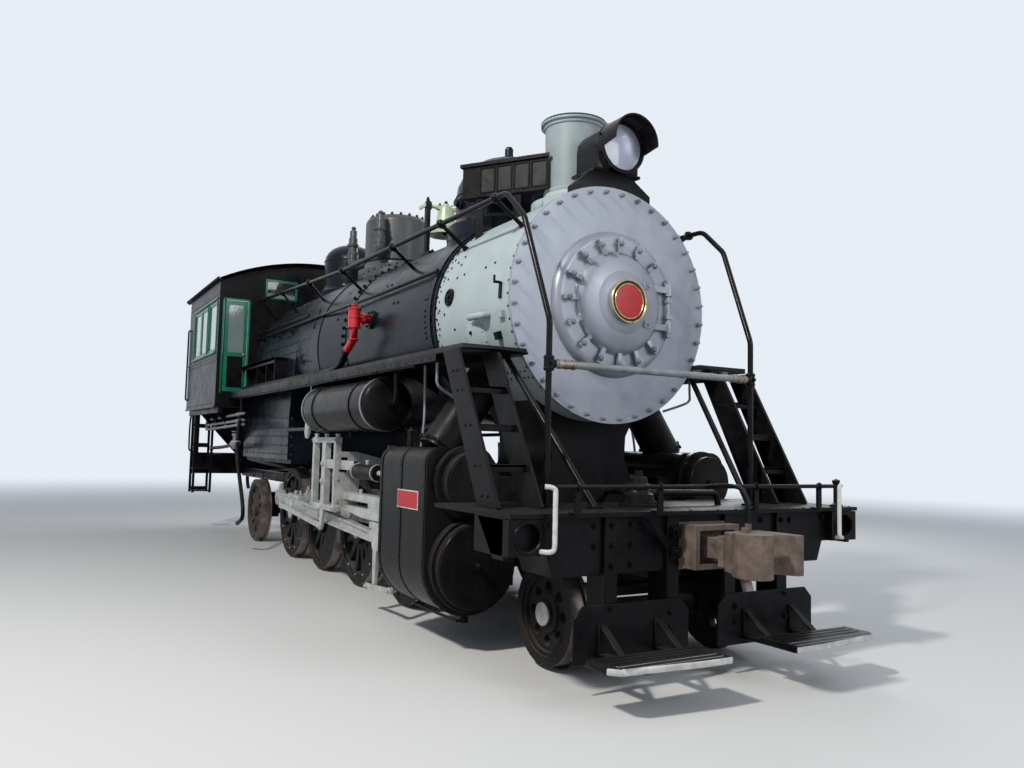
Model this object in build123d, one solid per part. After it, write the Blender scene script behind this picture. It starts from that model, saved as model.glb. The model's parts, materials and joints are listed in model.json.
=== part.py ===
from build123d import *

import os
from math import acos, atan2, cos, hypot, radians, sin, sqrt

# Steam locomotive, 2-8-2, standard gauge. Millimetres, +X forward, +Y to the engine's left, +Z up.
# Places along the engine are measured from the leading axle and heights from the rail top.
# The last step moves everything so that the origin is under the middle, at the flanges' lowest point.

# Ends of the engine, from the leading axle
FRONT_END = 1330
REAR_END = -10450

# Wheels
BACK_TO_BACK = 1353
TYRE_WIDTH = 140
FLANGE_DEPTH = 26
FLANGE_WIDTH = 32
TYRE_THICK = 64
DRIVER_R = 559
DRIVER_PITCH = 1235
FIRST_DRIVER = -2380
DRIVER_COUNT = 4
MAIN_DRIVER = 2
DRIVER_AXLE_R = 95
LEAD_R = 340
LEAD_AXLE_R = 65
TRAIL_R = 445
TRAIL_X = -8060
TRAIL_AXLE_R = 75
RUNNING_PLAY = 0.2

# Cranks, pins and rods
CRANK_R = 305
RIGHT_CRANK_DEG = 145.6
QUARTER_DEG = 90
MAIN_PIN_R = 78
SIDE_PIN_R = 58
SIDE_ROD_Y = 855
SIDE_ROD_THICK = 90
SIDE_ROD_DEPTH = 115
SIDE_EYE_WALL = 44
MAIN_ROD_LENGTH = 2800
MAIN_ROD_Y = 1011
MAIN_ROD_THICK = 90
WRIST_PIN_R = 48
CYLINDER_Y = 1056
CYLINDER_Z = 597
PISTON_ROD_R = 42
SIDE_GAP = 5
SEAT_GAP = 0.3

# Frame and its lowest and highest rails
FRAME_Y = 470
FRAME_THICK = 100
FRAME_TOP = 930
RAIL_DEPTH = 130
BINDER_LOW = 330
BINDER_DEPTH = 80
BOX_HALF = 130
PEDESTAL_HALF = 215

# Cylinders and steam chests
CYL_FRONT = -620
CYL_REAR = -1500
JACKET_R = 364
CHEST_Y = 1120
CHEST_Z = 1190
CHEST_TOP = 1435
CHEST_IN = 880
CHEST_CORNER = 120
CHEST_FLANGE_R = 262
CHEST_COVER_R = 218
COVER_R = 310
RELIEF_Y = 1190
GLAND_REACH = 120
SADDLE_Y = 690
SADDLE_LOW = 560

# Boiler
BOILER_Z = 2572
FRONT_PLATE_X = -357
FRONT_PLATE_R = 925
FRONT_PLATE_THICK = 25
SMOKEBOX_R = 905
SMOKEBOX_REAR = -1655
SHELL = 16
BARREL_R = 935
BARREL_REAR = -5560
BARREL_FULL = -4700
WRAPPER_R = 985
FIREBOX_REAR = -7940
BACKHEAD_X = -8420
FIREBOX_HALF = 1050
FIREBOX_LOW = 1235
FIREBOX_SPREAD = 1790
DOOR_RING_R = 570
DOOR_RING_TOP_R = 505
DOOR_RING_RISE = 62
DOOR_HOLE_R = 365
DOOR_R = 395
DOOR_DISH = 100
DOOR_THICK = 18
DOOR_DISC_R = 165
DOG_COUNT = 16
DOG_CIRCLE = 450
DOG_LENGTH = 126
HINGE_Y = 475

# Stack, lamp and domes
STACK_X = -936
STACK_TOP = 4194
STACK_R = 232
STACK_RIM_R = 280
STACK_BORE_R = 205
STACK_FOOT = 3562
STACK_SKIRT = 100
STACK_SKIRT_RISE = 75
STACK_HOLE_R = 250

# Pilot beam and deck
BEAM_FRONT = 620
BEAM_BACK = 200
BEAM_HALF = 1497
BEAM_LOW = 680
DECK_TOP = 1066
DECK_THICK = 26
DECK_FRONT = 694
DECK_REAR = -310
DECK_HALF = 1497

# Running boards
BOARD_TOP = 2155
BOARD_THICK = 40
BOARD_OUT = 1340
BOARD_FRONT = -200
SHELF_FRONT = -5950
SHELF_OUT = 1160
SHELF_TOP = 2540

# Cab
CAB_FRONT = -7784
CAB_REAR = -10194
CAB_HALF = 1520
CAB_FLOOR = 1948
CAB_WALL = 30
CAB_EAVES = 3800
ROOF_RISE = 390
CAB_CROWN = CAB_EAVES + ROOF_RISE
ROOF_THICK = 35
ROOF_REAR = -10420
ROOF_FRONT = -7700
ROOF_OVER = 45
DOOR_POST = 72
DOOR_WIDTH = 348
DOOR_OUT = CAB_HALF - DOOR_POST
DOOR_IN = DOOR_OUT - DOOR_WIDTH
DOOR_LOW = 2165
DOOR_TOP = 3520

# Trucks
LEAD_PIVOT = -1535
TRAIL_PIVOT = -6960
PIVOT_R = 45
PIVOT_Z = 430


def pair(a, b):
    return (min(a, b), max(a, b))


def block(x, y, z):
    """A box from low and high ends along X, Y and Z."""
    size = [hi - lo for lo, hi in (x, y, z)]
    mid = [(hi + lo) / 2 for lo, hi in (x, y, z)]
    return Pos(*mid) * Box(*size)


def drum(r, x, y=0, z=0):
    """A cylinder along X between two places."""
    return Pos((x[0] + x[1]) / 2, y, z) * Rot(0, 90, 0) * Cylinder(r, x[1] - x[0])


def across(r, y, x, z):
    """A cylinder along Y between two places."""
    return Pos(x, (y[0] + y[1]) / 2, z) * Rot(90, 0, 0) * Cylinder(r, y[1] - y[0])


def upright(r, z, x, y):
    """A cylinder along Z between two heights."""
    return Pos(x, y, (z[0] + z[1]) / 2) * Cylinder(r, z[1] - z[0])


def stick(a, b, r):
    """A round bar from one point to another."""
    way = Vector(*b) - Vector(*a)
    return Solid.make_cylinder(r, way.length, Plane(origin=a, z_dir=way))


def side_plate(points, y):
    """An outline of (x, z) points, as thick as the two y values leave."""
    outline = Wire.make_polygon([Vector(x, y[0], z) for x, z in points])
    return Solid.extrude(Face(outline), Vector(0, y[1] - y[0], 0))


def end_plate(points, x):
    """An outline of (y, z) points, as thick as the two x values leave."""
    outline = Wire.make_polygon([Vector(x[0], y, z) for y, z in points])
    return Solid.extrude(Face(outline), Vector(x[1] - x[0], 0, 0))


def turned(profile, at):
    """A (radius, height) outline turned about an upright axis through at."""
    outline = Wire.make_polygon([Vector(r, 0, h) for r, h in profile])
    return Pos(*at) * Solid.revolve(Face(outline), 360, Axis.Z)


def turned_x(profile, y=0, z=0):
    """An (x, radius) outline turned about a fore-and-aft axis."""
    outline = Wire.make_polygon([Vector(x, 0, r) for x, r in profile])
    return Pos(0, y, z) * Solid.revolve(Face(outline), 360, Axis.X)


def pipe(points, r, bend):
    """A round pipe along straight runs joined by arcs."""
    path = FilletPolyline(*points, radius=bend) if len(points) > 2 else Line(*points)
    start = Plane(origin=path @ 0, z_dir=path % 0)
    return sweep(start * Circle(r), path=path)


def beam(a, b, stations, y):
    """A flat bar from (x, z) a towards b, with its half depth at each distance."""
    length = hypot(b[0] - a[0], b[1] - a[1])
    ux, uz = (b[0] - a[0]) / length, (b[1] - a[1]) / length
    upper = [(a[0] + ux * s - uz * h, a[1] + uz * s + ux * h) for s, h in stations]
    lower = [(a[0] + ux * s + uz * h, a[1] + uz * s - ux * h) for s, h in reversed(stations)]
    return side_plate(upper + lower, y)


def join(first, *rest):
    return first.fuse(*rest) if rest else first


def right(shape):
    """The same piece on the engine's right side."""
    return shape.mirror(Plane.XZ)


def both(shape):
    return [shape, right(shape)]


NODES = {}


def node(name, *shapes):
    """Keeps the solids of one sub-part."""
    solids = [solid for shape in shapes for solid in shape.solids()]
    NODES[name] = solids


# Driving wheels

driver_x = [FIRST_DRIVER - i * DRIVER_PITCH for i in range(DRIVER_COUNT)]
main_x = driver_x[MAIN_DRIVER]
inner_y = BACK_TO_BACK / 2
outer_y = inner_y + TYRE_WIDTH
crank_deg = {"left": RIGHT_CRANK_DEG + QUARTER_DEG, "right": RIGHT_CRANK_DEG}


def polar(x, z, r, deg):
    return (x + r * cos(radians(deg)), z + r * sin(radians(deg)))


def tyre(x, r):
    """Tread and flange, bored for the wheel centre."""
    tread = across(r, (inner_y, outer_y), x, r)
    flange = across(r + FLANGE_DEPTH, (inner_y, inner_y + FLANGE_WIDTH), x, r)
    bore = across(r - TYRE_THICK, (inner_y - 1, outer_y + 1), x, r)
    return tread + flange - bore


def rim(x, r, thick, y):
    ring = across(r - TYRE_THICK, y, x, r)
    return ring - across(r - TYRE_THICK - thick, (y[0] - 1, y[1] + 1), x, r)


def spokes(x, r, count, hub_r, rim_r, root, tip, y, first=0):
    """Tapered spokes from hub to rim."""
    made = []
    for i in range(count):
        deg = first + i * 360 / count
        a = polar(x, r, hub_r, deg)
        b = polar(x, r, rim_r, deg)
        made.append(beam(a, b, [(0, root / 2), (rim_r - hub_r, tip / 2)], y))
    return made


HUB_R = 150
RIM_THICK = 45
SPOKE_Y = (712, 782)
DRIVER_HUB_Y = (660, 835)
WEIGHT_Y = (700, 806)
DRIVER_SPOKES = 13
BOSS_R = 118


def driving_wheel(x, deg, is_main):
    """One driving wheel on the left side, with its crank at deg."""
    r = DRIVER_R
    hub = across(HUB_R, DRIVER_HUB_Y, x, r)
    pin_x, pin_z = polar(x, r, CRANK_R, deg)
    pin_r = MAIN_PIN_R if is_main else SIDE_PIN_R
    boss = across(BOSS_R, (SPOKE_Y[0], DRIVER_HUB_Y[1]), pin_x, pin_z)
    arm = beam((x, r), (pin_x, pin_z), [(0, HUB_R * 0.95), (CRANK_R, BOSS_R * 0.95)], (SPOKE_Y[0], DRIVER_HUB_Y[1]))
    pin = across(pin_r, (DRIVER_HUB_Y[1] - 5, SIDE_ROD_Y + SIDE_ROD_THICK), pin_x, pin_z)
    inner_rim = r - TYRE_THICK - RIM_THICK
    sweep_deg = 62 if is_main else 44
    arc = [polar(x, r, inner_rim + 5, deg + 180 + sweep_deg * t / 4) for t in range(-4, 5)]
    weight = side_plate(arc, WEIGHT_Y)
    wheel = join(
        tyre(x, r), rim(x, r, RIM_THICK, WEIGHT_Y), hub, boss, arm, pin, weight,
        *spokes(x, r, DRIVER_SPOKES, HUB_R - 20, inner_rim + 5, 82, 58, SPOKE_Y, deg),
    )
    return wheel


def driving_axle(i):
    x = driver_x[i]
    is_main = i == MAIN_DRIVER
    axle = across(DRIVER_AXLE_R, (-DRIVER_HUB_Y[0] - 5, DRIVER_HUB_Y[0] + 5), x, DRIVER_R)
    left_wheel = driving_wheel(x, crank_deg["left"], is_main)
    right_wheel = right(driving_wheel(x, crank_deg["right"], is_main))
    return join(axle, left_wheel, right_wheel)


for i in range(DRIVER_COUNT):
    node(f"driving_axle_{i + 1}", driving_axle(i))


# Leading and trailing wheels

LEAD_HOLES = 8
LEAD_HOLE_R = 38
LEAD_HUB_R = 92
TRAIL_SPOKES = 10


def leading_wheel():
    r = LEAD_R
    disc = across(r - TYRE_THICK, (720, 775), 0, r)
    for i in range(LEAD_HOLES):
        hx, hz = polar(0, r, 178, i * 360 / LEAD_HOLES)
        disc -= across(LEAD_HOLE_R, (710, 785), hx, hz)
    hub = across(LEAD_HUB_R, (665, 812), 0, r)
    stub = across(LEAD_AXLE_R - 8, (800, 830), 0, r)
    ring = rim(0, r, 28, (705, 800))
    return join(tyre(0, r), disc, hub, stub, ring)


def trailing_wheel():
    r = TRAIL_R
    inner = r - TYRE_THICK - 34
    hub = across(105, (665, 822), TRAIL_X, r)
    return join(
        tyre(TRAIL_X, r), rim(TRAIL_X, r, 34, (700, 806)), hub,
        *spokes(TRAIL_X, r, TRAIL_SPOKES, 85, inner + 4, 74, 52, (715, 785)),
    )


lead_wheel = leading_wheel()
trail_wheel = trailing_wheel()
node("leading_wheels", join(lead_wheel, right(lead_wheel), across(LEAD_AXLE_R, (-670, 670), 0, LEAD_R)))
node("trailing_wheels", join(trail_wheel, right(trail_wheel), across(TRAIL_AXLE_R, (-670, 670), TRAIL_X, TRAIL_R)))


# Side rods

def side_rod(deg):
    """The coupling rods of the left side as one rod, its eyes on the crank pins."""
    pins = [polar(x, DRIVER_R, CRANK_R, deg) for x in driver_x]
    y0 = SIDE_ROD_Y
    y1 = SIDE_ROD_Y + SIDE_ROD_THICK
    solids = []
    for a, b in zip(pins, pins[1:]):
        half = SIDE_ROD_DEPTH / 2
        bar = beam(a, b, [(0, half), (DRIVER_PITCH, half)], (y0 + 10, y1 - 10))
        for face in ((y0, y0 + 28), (y1 - 28, y1)):
            bar -= beam(a, b, [(190, half - 24), (DRIVER_PITCH - 190, half - 24)], face)
        solids.append(bar)
    radii = [MAIN_PIN_R if i == MAIN_DRIVER else SIDE_PIN_R for i in range(DRIVER_COUNT)]
    for (px, pz), r in zip(pins, radii):
        solids.append(across(r + SIDE_EYE_WALL, (y0, y1), px, pz))
        solids.append(block((px - 34, px + 34), (y0 + 20, y1 - 20), (pz + r + 20, pz + r + SIDE_EYE_WALL + 38)))
    for sign, i in ((-1, 1), (1, 2)):
        kx = pins[i][0] + sign * -175 if i == 1 else pins[i][0] - 190
        solids.append(across(SIDE_ROD_DEPTH / 2 + 14, (y0 + 4, y1 - 4), kx, pins[i][1]))
    rod = join(*solids)
    for (px, pz), r in zip(pins, radii):
        rod -= across(r + RUNNING_PLAY, (y0 - 5, y1 + 5), px, pz)
    return rod


node("side_rods_left", side_rod(crank_deg["left"]))
node("side_rods_right", right(side_rod(crank_deg["right"])))


# Main rods with the eccentric crank on their big end

def wrist(deg):
    """Wrist pin place for a crank angle."""
    px, pz = polar(main_x, DRIVER_R, CRANK_R, deg)
    return (px + sqrt(MAIN_ROD_LENGTH ** 2 - (pz - CYLINDER_Z) ** 2), CYLINDER_Z)


ECC_CRANK_LENGTH = 235
ECC_CRANK_DEG = 187
ECC_CRANK_THICK = 40
ECC_ROD_THICK = 30


def main_rod(deg):
    pin = polar(main_x, DRIVER_R, CRANK_R, deg)
    eye = wrist(deg)
    y = (MAIN_ROD_Y, MAIN_ROD_Y + MAIN_ROD_THICK)
    length = MAIN_ROD_LENGTH
    bar = beam(eye, pin, [(0, 44), (120, 48), (length - 330, 66), (length - 260, 66)], (y[0] + 8, y[1] - 8))
    for face in ((y[0], y[0] + 28), (y[1] - 28, y[1])):
        bar -= beam(eye, pin, [(260, 27), (length - 430, 42)], face)
    strap = beam(eye, pin, [(length - 290, 112), (length + 150, 112)], y)
    key = beam(eye, pin, [(length - 210, 150), (length - 178, 150)], (y[0] + 30, y[1] - 30))
    small = across(78, y, *eye)
    cap = beam(eye, pin, [(length + 140, 60), (length + 178, 60)], (y[0] + 15, y[1] - 15))
    stub = across(MAIN_PIN_R, (SIDE_ROD_Y + SIDE_ROD_THICK + SIDE_GAP + 4, y[1] + 6), *pin)
    web_end = polar(pin[0], pin[1], ECC_CRANK_LENGTH, ECC_CRANK_DEG + deg - RIGHT_CRANK_DEG)
    crank_y = (y[1] - 2, y[1] + ECC_CRANK_THICK)
    arm = beam(pin, web_end, [(-40, 62), (0, 72), (ECC_CRANK_LENGTH, 46)], crank_y)
    end = across(52, crank_y, *web_end)
    rod = join(bar, strap, key, small, cap, stub, arm, end)
    return rod - across(WRIST_PIN_R + RUNNING_PLAY, (y[0] - 5, y[1] + 5), *eye)


node("main_rod_left", main_rod(crank_deg["left"]))
node("main_rod_right", right(main_rod(crank_deg["right"])))


# Crossheads with their piston rods

GUIDE_UPPER = (905, 975)
GUIDE_LOWER = (762, 850)
GUIDE_HALF = 66
GUIDE_WEB_HALF = 24
GUIDE_PLAY = 1.5
YOKE_X = (-3240, -3200)
ROD_ROOM = 825
GUIDE_TAPER_FRONT = -2700
GUIDE_TAPER_RISE = 46
CHEEK = 28
ARM_FOOT = 200
ROD_REACH = 740
HUB_REACH = 130


def crosshead(deg):
    """Slipper, cheeks, wrist pin, drop arm and piston rod, at the wrist of deg."""
    wx, wz = wrist(deg)
    rod_y = (MAIN_ROD_Y, MAIN_ROD_Y + MAIN_ROD_THICK)
    fork = (rod_y[0] - SIDE_GAP, rod_y[1] + SIDE_GAP)
    slipper_z = (GUIDE_LOWER[1] + GUIDE_PLAY, GUIDE_UPPER[0] - GUIDE_PLAY)
    slipper = block((wx - 230, wx + 110), (CYLINDER_Y - GUIDE_HALF, CYLINDER_Y + GUIDE_HALF), slipper_z)
    web_y = (CYLINDER_Y - GUIDE_WEB_HALF, CYLINDER_Y + GUIDE_WEB_HALF)
    web = side_plate(
        [(wx - 190, GUIDE_LOWER[0] - 30), (wx - 190, slipper_z[0] + 2), (wx + 90, slipper_z[0] + 2), (wx + 105, 690)],
        web_y,
    )
    neck = block((wx - 150, wx + 105), (fork[0] - CHEEK, fork[1] + CHEEK), (694, GUIDE_LOWER[0] - 12))
    cheek_outline = [(wx - 85, 700), (wx + 105, 700), (wx + 105, wz - 80), (wx + 40, wz - 95), (wx - 60, wz - 80), (wx - 95, wz)]
    inner = side_plate(cheek_outline, (fork[0] - CHEEK, fork[0]))
    outer = side_plate(cheek_outline, (fork[1], fork[1] + CHEEK))
    head = block((wx + 88, wx + 112), (fork[0] - CHEEK, fork[1] + CHEEK), (wz - 78, 700))
    boss = drum(72, (wx + 100, wx + HUB_REACH), CYLINDER_Y, wz)
    pin = across(WRIST_PIN_R, (fork[0] - CHEEK - 12, fork[1] + CHEEK), wx, wz)
    rod = drum(PISTON_ROD_R, (wx + 110, wx + HUB_REACH + ROD_REACH), CYLINDER_Y, wz)
    arm = side_plate(
        [(wx - 45, wz - 60), (wx + 45, wz - 60), (wx + 30, ARM_FOOT), (wx, ARM_FOOT - 34), (wx - 30, ARM_FOOT)],
        (fork[1], fork[1] + CHEEK),
    )
    return join(slipper, web, neck, inner, outer, head, boss, pin, rod, arm)


node("crosshead_left", crosshead(crank_deg["left"]))
node("crosshead_right", right(crosshead(crank_deg["right"])))


# Cylinders and saddle

def cylinder_block():
    """Left cylinder with its steam chest, bored for the piston rod."""
    x = (CYL_REAR, CYL_FRONT)
    outer = CYLINDER_Y + JACKET_R
    barrel = drum(JACKET_R, x, CYLINDER_Y, CYLINDER_Z)
    shoulder = [(outer - CHEST_CORNER + CHEST_CORNER * cos(radians(d)),
                 CHEST_TOP - CHEST_CORNER + CHEST_CORNER * sin(radians(d))) for d in range(0, 91, 15)]
    inner = [(CHEST_IN + CHEST_CORNER - CHEST_CORNER * sin(radians(d)),
              CHEST_TOP - CHEST_CORNER + CHEST_CORNER * cos(radians(d))) for d in range(0, 91, 15)]
    chest = end_plate([(outer, CYLINDER_Z)] + shoulder + inner + [(CHEST_IN, CHEST_Z), (CYLINDER_Y, CYLINDER_Z)], x)
    trim = block((x[0] - 1, x[1] + 1), (0, SADDLE_Y), (0, 2000))
    core = block(x, (SADDLE_Y, CYLINDER_Y), (CYLINDER_Z - 170, CHEST_Z + 40))
    body = join(barrel, chest, core) - trim
    front = turned_x([(CYL_FRONT - 5, 0), (CYL_FRONT - 5, 335), (CYL_FRONT + 50, 335), (CYL_FRONT + 62, 322),
                      (CYL_FRONT + 62, COVER_R), (CYL_FRONT + 112, COVER_R), (CYL_FRONT + 124, COVER_R - 14),
                      (CYL_FRONT + 124, 0)], CYLINDER_Y, CYLINDER_Z)
    chest_front = turned_x([(CYL_FRONT - 5, 0), (CYL_FRONT - 5, CHEST_FLANGE_R - 22), (CYL_FRONT + 20, CHEST_FLANGE_R - 22),
                            (CYL_FRONT + 20, CHEST_FLANGE_R), (CYL_FRONT + 62, CHEST_FLANGE_R),
                            (CYL_FRONT + 74, CHEST_FLANGE_R - 14), (CYL_FRONT + 74, CHEST_COVER_R),
                            (CYL_FRONT + 150, CHEST_COVER_R), (CYL_FRONT + 165, CHEST_COVER_R - 18),
                            (CYL_FRONT + 165, 0)], CHEST_Y, CHEST_Z)
    rear = turned_x([(CYL_REAR + 5, 0), (CYL_REAR + 5, 300), (CYL_REAR - 35, 300), (CYL_REAR - 42, 150),
                     (CYL_REAR - 60, 92), (CYL_REAR - 84, 92), (CYL_REAR - 84, 0)], CYLINDER_Y, CYLINDER_Z)
    chest_rear = turned_x([(CYL_REAR + 5, 0), (CYL_REAR + 5, 232), (CYL_REAR - 30, 232), (CYL_REAR - 50, 80),
                           (CYL_REAR - GLAND_REACH, 60), (CYL_REAR - GLAND_REACH, 0)], CHEST_Y, CHEST_Z)
    whole = join(body, front, chest_front, rear, chest_rear)
    bore = drum(PISTON_ROD_R + 1, (CYL_REAR - 100, CYL_FRONT - 10), CYLINDER_Y, CYLINDER_Z)
    relief_x = CYL_REAR + 60
    relief = join(
        upright(44, (CHEST_TOP - 210, CHEST_TOP + 8), relief_x, RELIEF_Y + 150),
        upright(24, (CHEST_TOP - 20, CHEST_TOP + 130), relief_x, RELIEF_Y),
        upright(34, (CHEST_TOP - 20, CHEST_TOP + 22), relief_x, RELIEF_Y),
    )
    cocks = [upright(20, (CYLINDER_Z - JACKET_R - 60, CYLINDER_Z - JACKET_R + 20), x0, CYLINDER_Y)
             for x0 in (CYL_REAR + 60, CYL_FRONT - 60)]
    return join(whole, relief, *cocks) - bore - trim


smokebox_body = drum(SMOKEBOX_R, (SMOKEBOX_REAR, FRONT_PLATE_X), 0, BOILER_Z)


def saddle():
    """Casting between the cylinders that carries the smokebox."""
    x = (CYL_REAR + 40, CYL_FRONT - 20)
    half = [(SADDLE_Y, SADDLE_LOW), (SADDLE_Y, 1080), (430, 1180), (350, 1380), (360, 1560), (520, 1850)]
    outline = half + [(-y, z) for y, z in reversed(half)]
    solid = end_plate(outline, x) - smokebox_body
    slot = [block((x[0] - 10, x[1] + 10), pair(s * FRAME_Y, s * (FRAME_Y + FRAME_THICK)), (SADDLE_LOW - 1, FRAME_TOP - 60))
            for s in (1, -1)]
    return solid - slot[0] - slot[1]


cylinder = cylinder_block()
node("cylinders", *both(cylinder))
node("saddle", saddle())


# Frame

BAR_REAR = -10100
BAR_FRONT = BEAM_BACK
REAR_BAR = (870, 1000)
FRONT_BAR = (SADDLE_LOW + 200, FRAME_TOP - 60)


def side_frame():
    """Left bar frame: top rail, pedestals, binder and its rear and front bars."""
    y = (FRAME_Y, FRAME_Y + FRAME_THICK)
    first, last = driver_x[0], driver_x[-1]
    top = (FRAME_TOP - RAIL_DEPTH, FRAME_TOP)
    low = BINDER_LOW
    main = block((last - 500, first + 560), y, (low, FRAME_TOP))
    edges = [first + 560] + [x for x in driver_x] + [last - 500]
    windows = []
    for i, (ahead, behind) in enumerate(zip(edges, edges[1:])):
        x1 = ahead - (PEDESTAL_HALF if i else 120)
        x0 = behind + (PEDESTAL_HALF if i < DRIVER_COUNT else 120)
        windows.append(block((x0, x1), (y[0] - 1, y[1] + 1), (low + BINDER_DEPTH, top[0])))
    main = main.cut(*windows)
    for x in driver_x:
        slots = [block(pair(x + s * BOX_HALF, x + s * (BOX_HALF + 14)), (y[0] - 1, y[1] + 1), (low + BINDER_DEPTH, top[0])) for s in (1, -1)]
        main = main.cut(*slots)
        main -= across(DRIVER_AXLE_R + RUNNING_PLAY, (y[0] - 1, y[1] + 1), x, DRIVER_R)
    front = block((first + 550, BAR_FRONT), y, FRONT_BAR)
    rear = side_plate(
        [(last - 490, top[0]), (last - 490, top[1]), (last - 700, REAR_BAR[1]), (BAR_REAR, REAR_BAR[1]),
         (BAR_REAR, REAR_BAR[0]), (last - 720, REAR_BAR[0])],
        y,
    )
    return join(main, front, rear)


CROSS_TIES = [
    # x low, x high, z low, z high
    (-1590, -1475, 470, 760),
    (-3070, -2930, 640, 900),
    (-4300, -4160, 640, 900),
    (-5540, -5400, 640, 900),
    (-7080, -6840, 500, 1000),
    (-8900, -8760, 870, 1000),
]

left_frame = side_frame()
ties = [block((x0, x1), (-FRAME_Y - 4, FRAME_Y + 4), (z0, z1)) for x0, x1, z0, z1 in CROSS_TIES]
pins = [upright(PIVOT_R, (PIVOT_Z - 60, 520), x, 0) for x in (LEAD_PIVOT, TRAIL_PIVOT)]
node("frame", join(left_frame, right(left_frame), *ties, *pins))


# Leaf springs over the driving boxes

LEAF_COUNT = 6
LEAF_THICK = 16
SPRING_HALF = 350
SPRING_Z = 1010
SPRING_Y = (FRAME_Y + 8, FRAME_Y + FRAME_THICK - 8)


def leaf(x, i):
    """One leaf, bowed down at its ends and shorter than the one above it."""
    half = SPRING_HALF * (1 - 0.13 * i)
    top = SPRING_Z + (LEAF_COUNT - i) * LEAF_THICK
    spots = [half * k / 4 for k in range(-4, 5)]
    bow = [top - 40 * (s / SPRING_HALF) ** 2 for s in spots]
    upper = [(x + s, z) for s, z in zip(spots, bow)]
    lower = [(x + s, z - LEAF_THICK) for s, z in zip(spots, bow)]
    return side_plate(upper + lower[::-1], SPRING_Y)


def spring(x):
    """Leaves in their buckle on a saddle, with a hanger to the frame at each end."""
    buckle = block((x - 40, x + 40), (SPRING_Y[0] - 8, SPRING_Y[1] + 8), (SPRING_Z - 20, SPRING_Z + LEAF_COUNT * LEAF_THICK + 16))
    saddle_foot = block((x - 70, x + 70), (SPRING_Y[0] - 8, SPRING_Y[1] + 8), (FRAME_TOP, SPRING_Z - 20))
    hangers = [block((x + s * (SPRING_HALF - 22) - 14, x + s * (SPRING_HALF - 22) + 14), (SPRING_Y[0] + 20, SPRING_Y[1] - 20),
                     (FRAME_TOP, SPRING_Z + LEAF_COUNT * LEAF_THICK - 20)) for s in (1, -1)]
    return join(buckle, saddle_foot, *hangers, *[leaf(x, i) for i in range(LEAF_COUNT)])


node("driving_springs", *[piece for x in driver_x for piece in both(spring(x))])


# Trucks

def truck(pivot, axle_x, axle_z, axle_r, bar_z, rise):
    """Inside-bearing two-wheel truck: axle boxes, cross beams and radius bars to the pivot eye."""
    box_y = (480, 600)
    depth = 62
    boxes = [block((axle_x - 110, axle_x + 110), pair(s * box_y[0], s * box_y[1]), (axle_z - 110, axle_z + rise)) for s in (1, -1)]
    z = (bar_z, bar_z + depth)
    toward = 1 if axle_x > pivot else -1
    beams = [block(pair(axle_x + o, axle_x + o + 50), (-box_y[0] - 10, box_y[0] + 10), (z[0], z[1])) for o in (-110, 60)]
    end_x = axle_x - toward * 90
    radius = []
    for s in (1, -1):
        outline = [(pivot, s * 50), (end_x, s * (box_y[0] + 60)), (end_x, s * (box_y[0] - 10)), (pivot, -s * 20)]
        wire = Wire.make_polygon([Vector(x, y, PIVOT_Z - 30) for x, y in outline])
        radius.append(Solid.extrude(Face(wire), Vector(0, 0, 60)))
    eye = upright(PIVOT_R + 45, (PIVOT_Z - 30, PIVOT_Z + 30), pivot, 0)
    whole = join(*boxes, *beams, *radius, eye)
    whole -= upright(PIVOT_R + 1, (PIVOT_Z - 80, PIVOT_Z + 80), pivot, 0)
    return whole - across(axle_r + RUNNING_PLAY, (-700, 700), axle_x, axle_z)


node("leading_truck", truck(LEAD_PIVOT, 0, LEAD_R, LEAD_AXLE_R, 440, 190))
node("trailing_truck", truck(TRAIL_PIVOT, TRAIL_X, TRAIL_R, TRAIL_AXLE_R, 545, 250))


# Guides and their yoke

def guides():
    """Upper bar, two lower bars and the yoke on the left side."""
    reach = (YOKE_X[1], CYL_REAR - 42)
    upper = block(reach, (CYLINDER_Y - GUIDE_HALF, CYLINDER_Y + GUIDE_HALF), GUIDE_UPPER)
    low, high = GUIDE_LOWER
    side = [(reach[0], low + GUIDE_TAPER_RISE), (reach[0], high), (reach[1], high), (reach[1], low),
            (GUIDE_TAPER_FRONT, low)]
    lowers = [
        side_plate(side, pair(CYLINDER_Y + s * (GUIDE_WEB_HALF + GUIDE_PLAY), CYLINDER_Y + s * GUIDE_HALF))
        for s in (1, -1)
    ]
    foot = block((reach[1] - 40, reach[1]), (CYLINDER_Y - GUIDE_HALF, CYLINDER_Y + GUIDE_HALF), (GUIDE_LOWER[0], GUIDE_UPPER[1]))
    yoke = end_plate(
        [(FRAME_Y, FRAME_TOP), (FRAME_Y, 1240), (1000, 1370), (1230, 1370), (1230, ROD_ROOM),
         (972, ROD_ROOM), (972, 1105), (FRAME_Y + FRAME_THICK, 1105), (FRAME_Y + FRAME_THICK, FRAME_TOP)],
        YOKE_X,
    )
    yoke -= block((YOKE_X[0] - 1, YOKE_X[1] + 1), (1090, 1190), (1165, 1315))
    return join(upper, *lowers, foot, yoke)


left_guides = guides()
node("guides", *both(left_guides))


# Valve gear

LEVER_Y = (1142, 1166)
UNION_Y = (1172, 1196)
LINK_Y = (1118, 1178)
STEM_X = (-2870, -2290)
STEM_R = 72
LINK_X = (-4100, -3340)
LINK_Z = (770, 1510)


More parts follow.
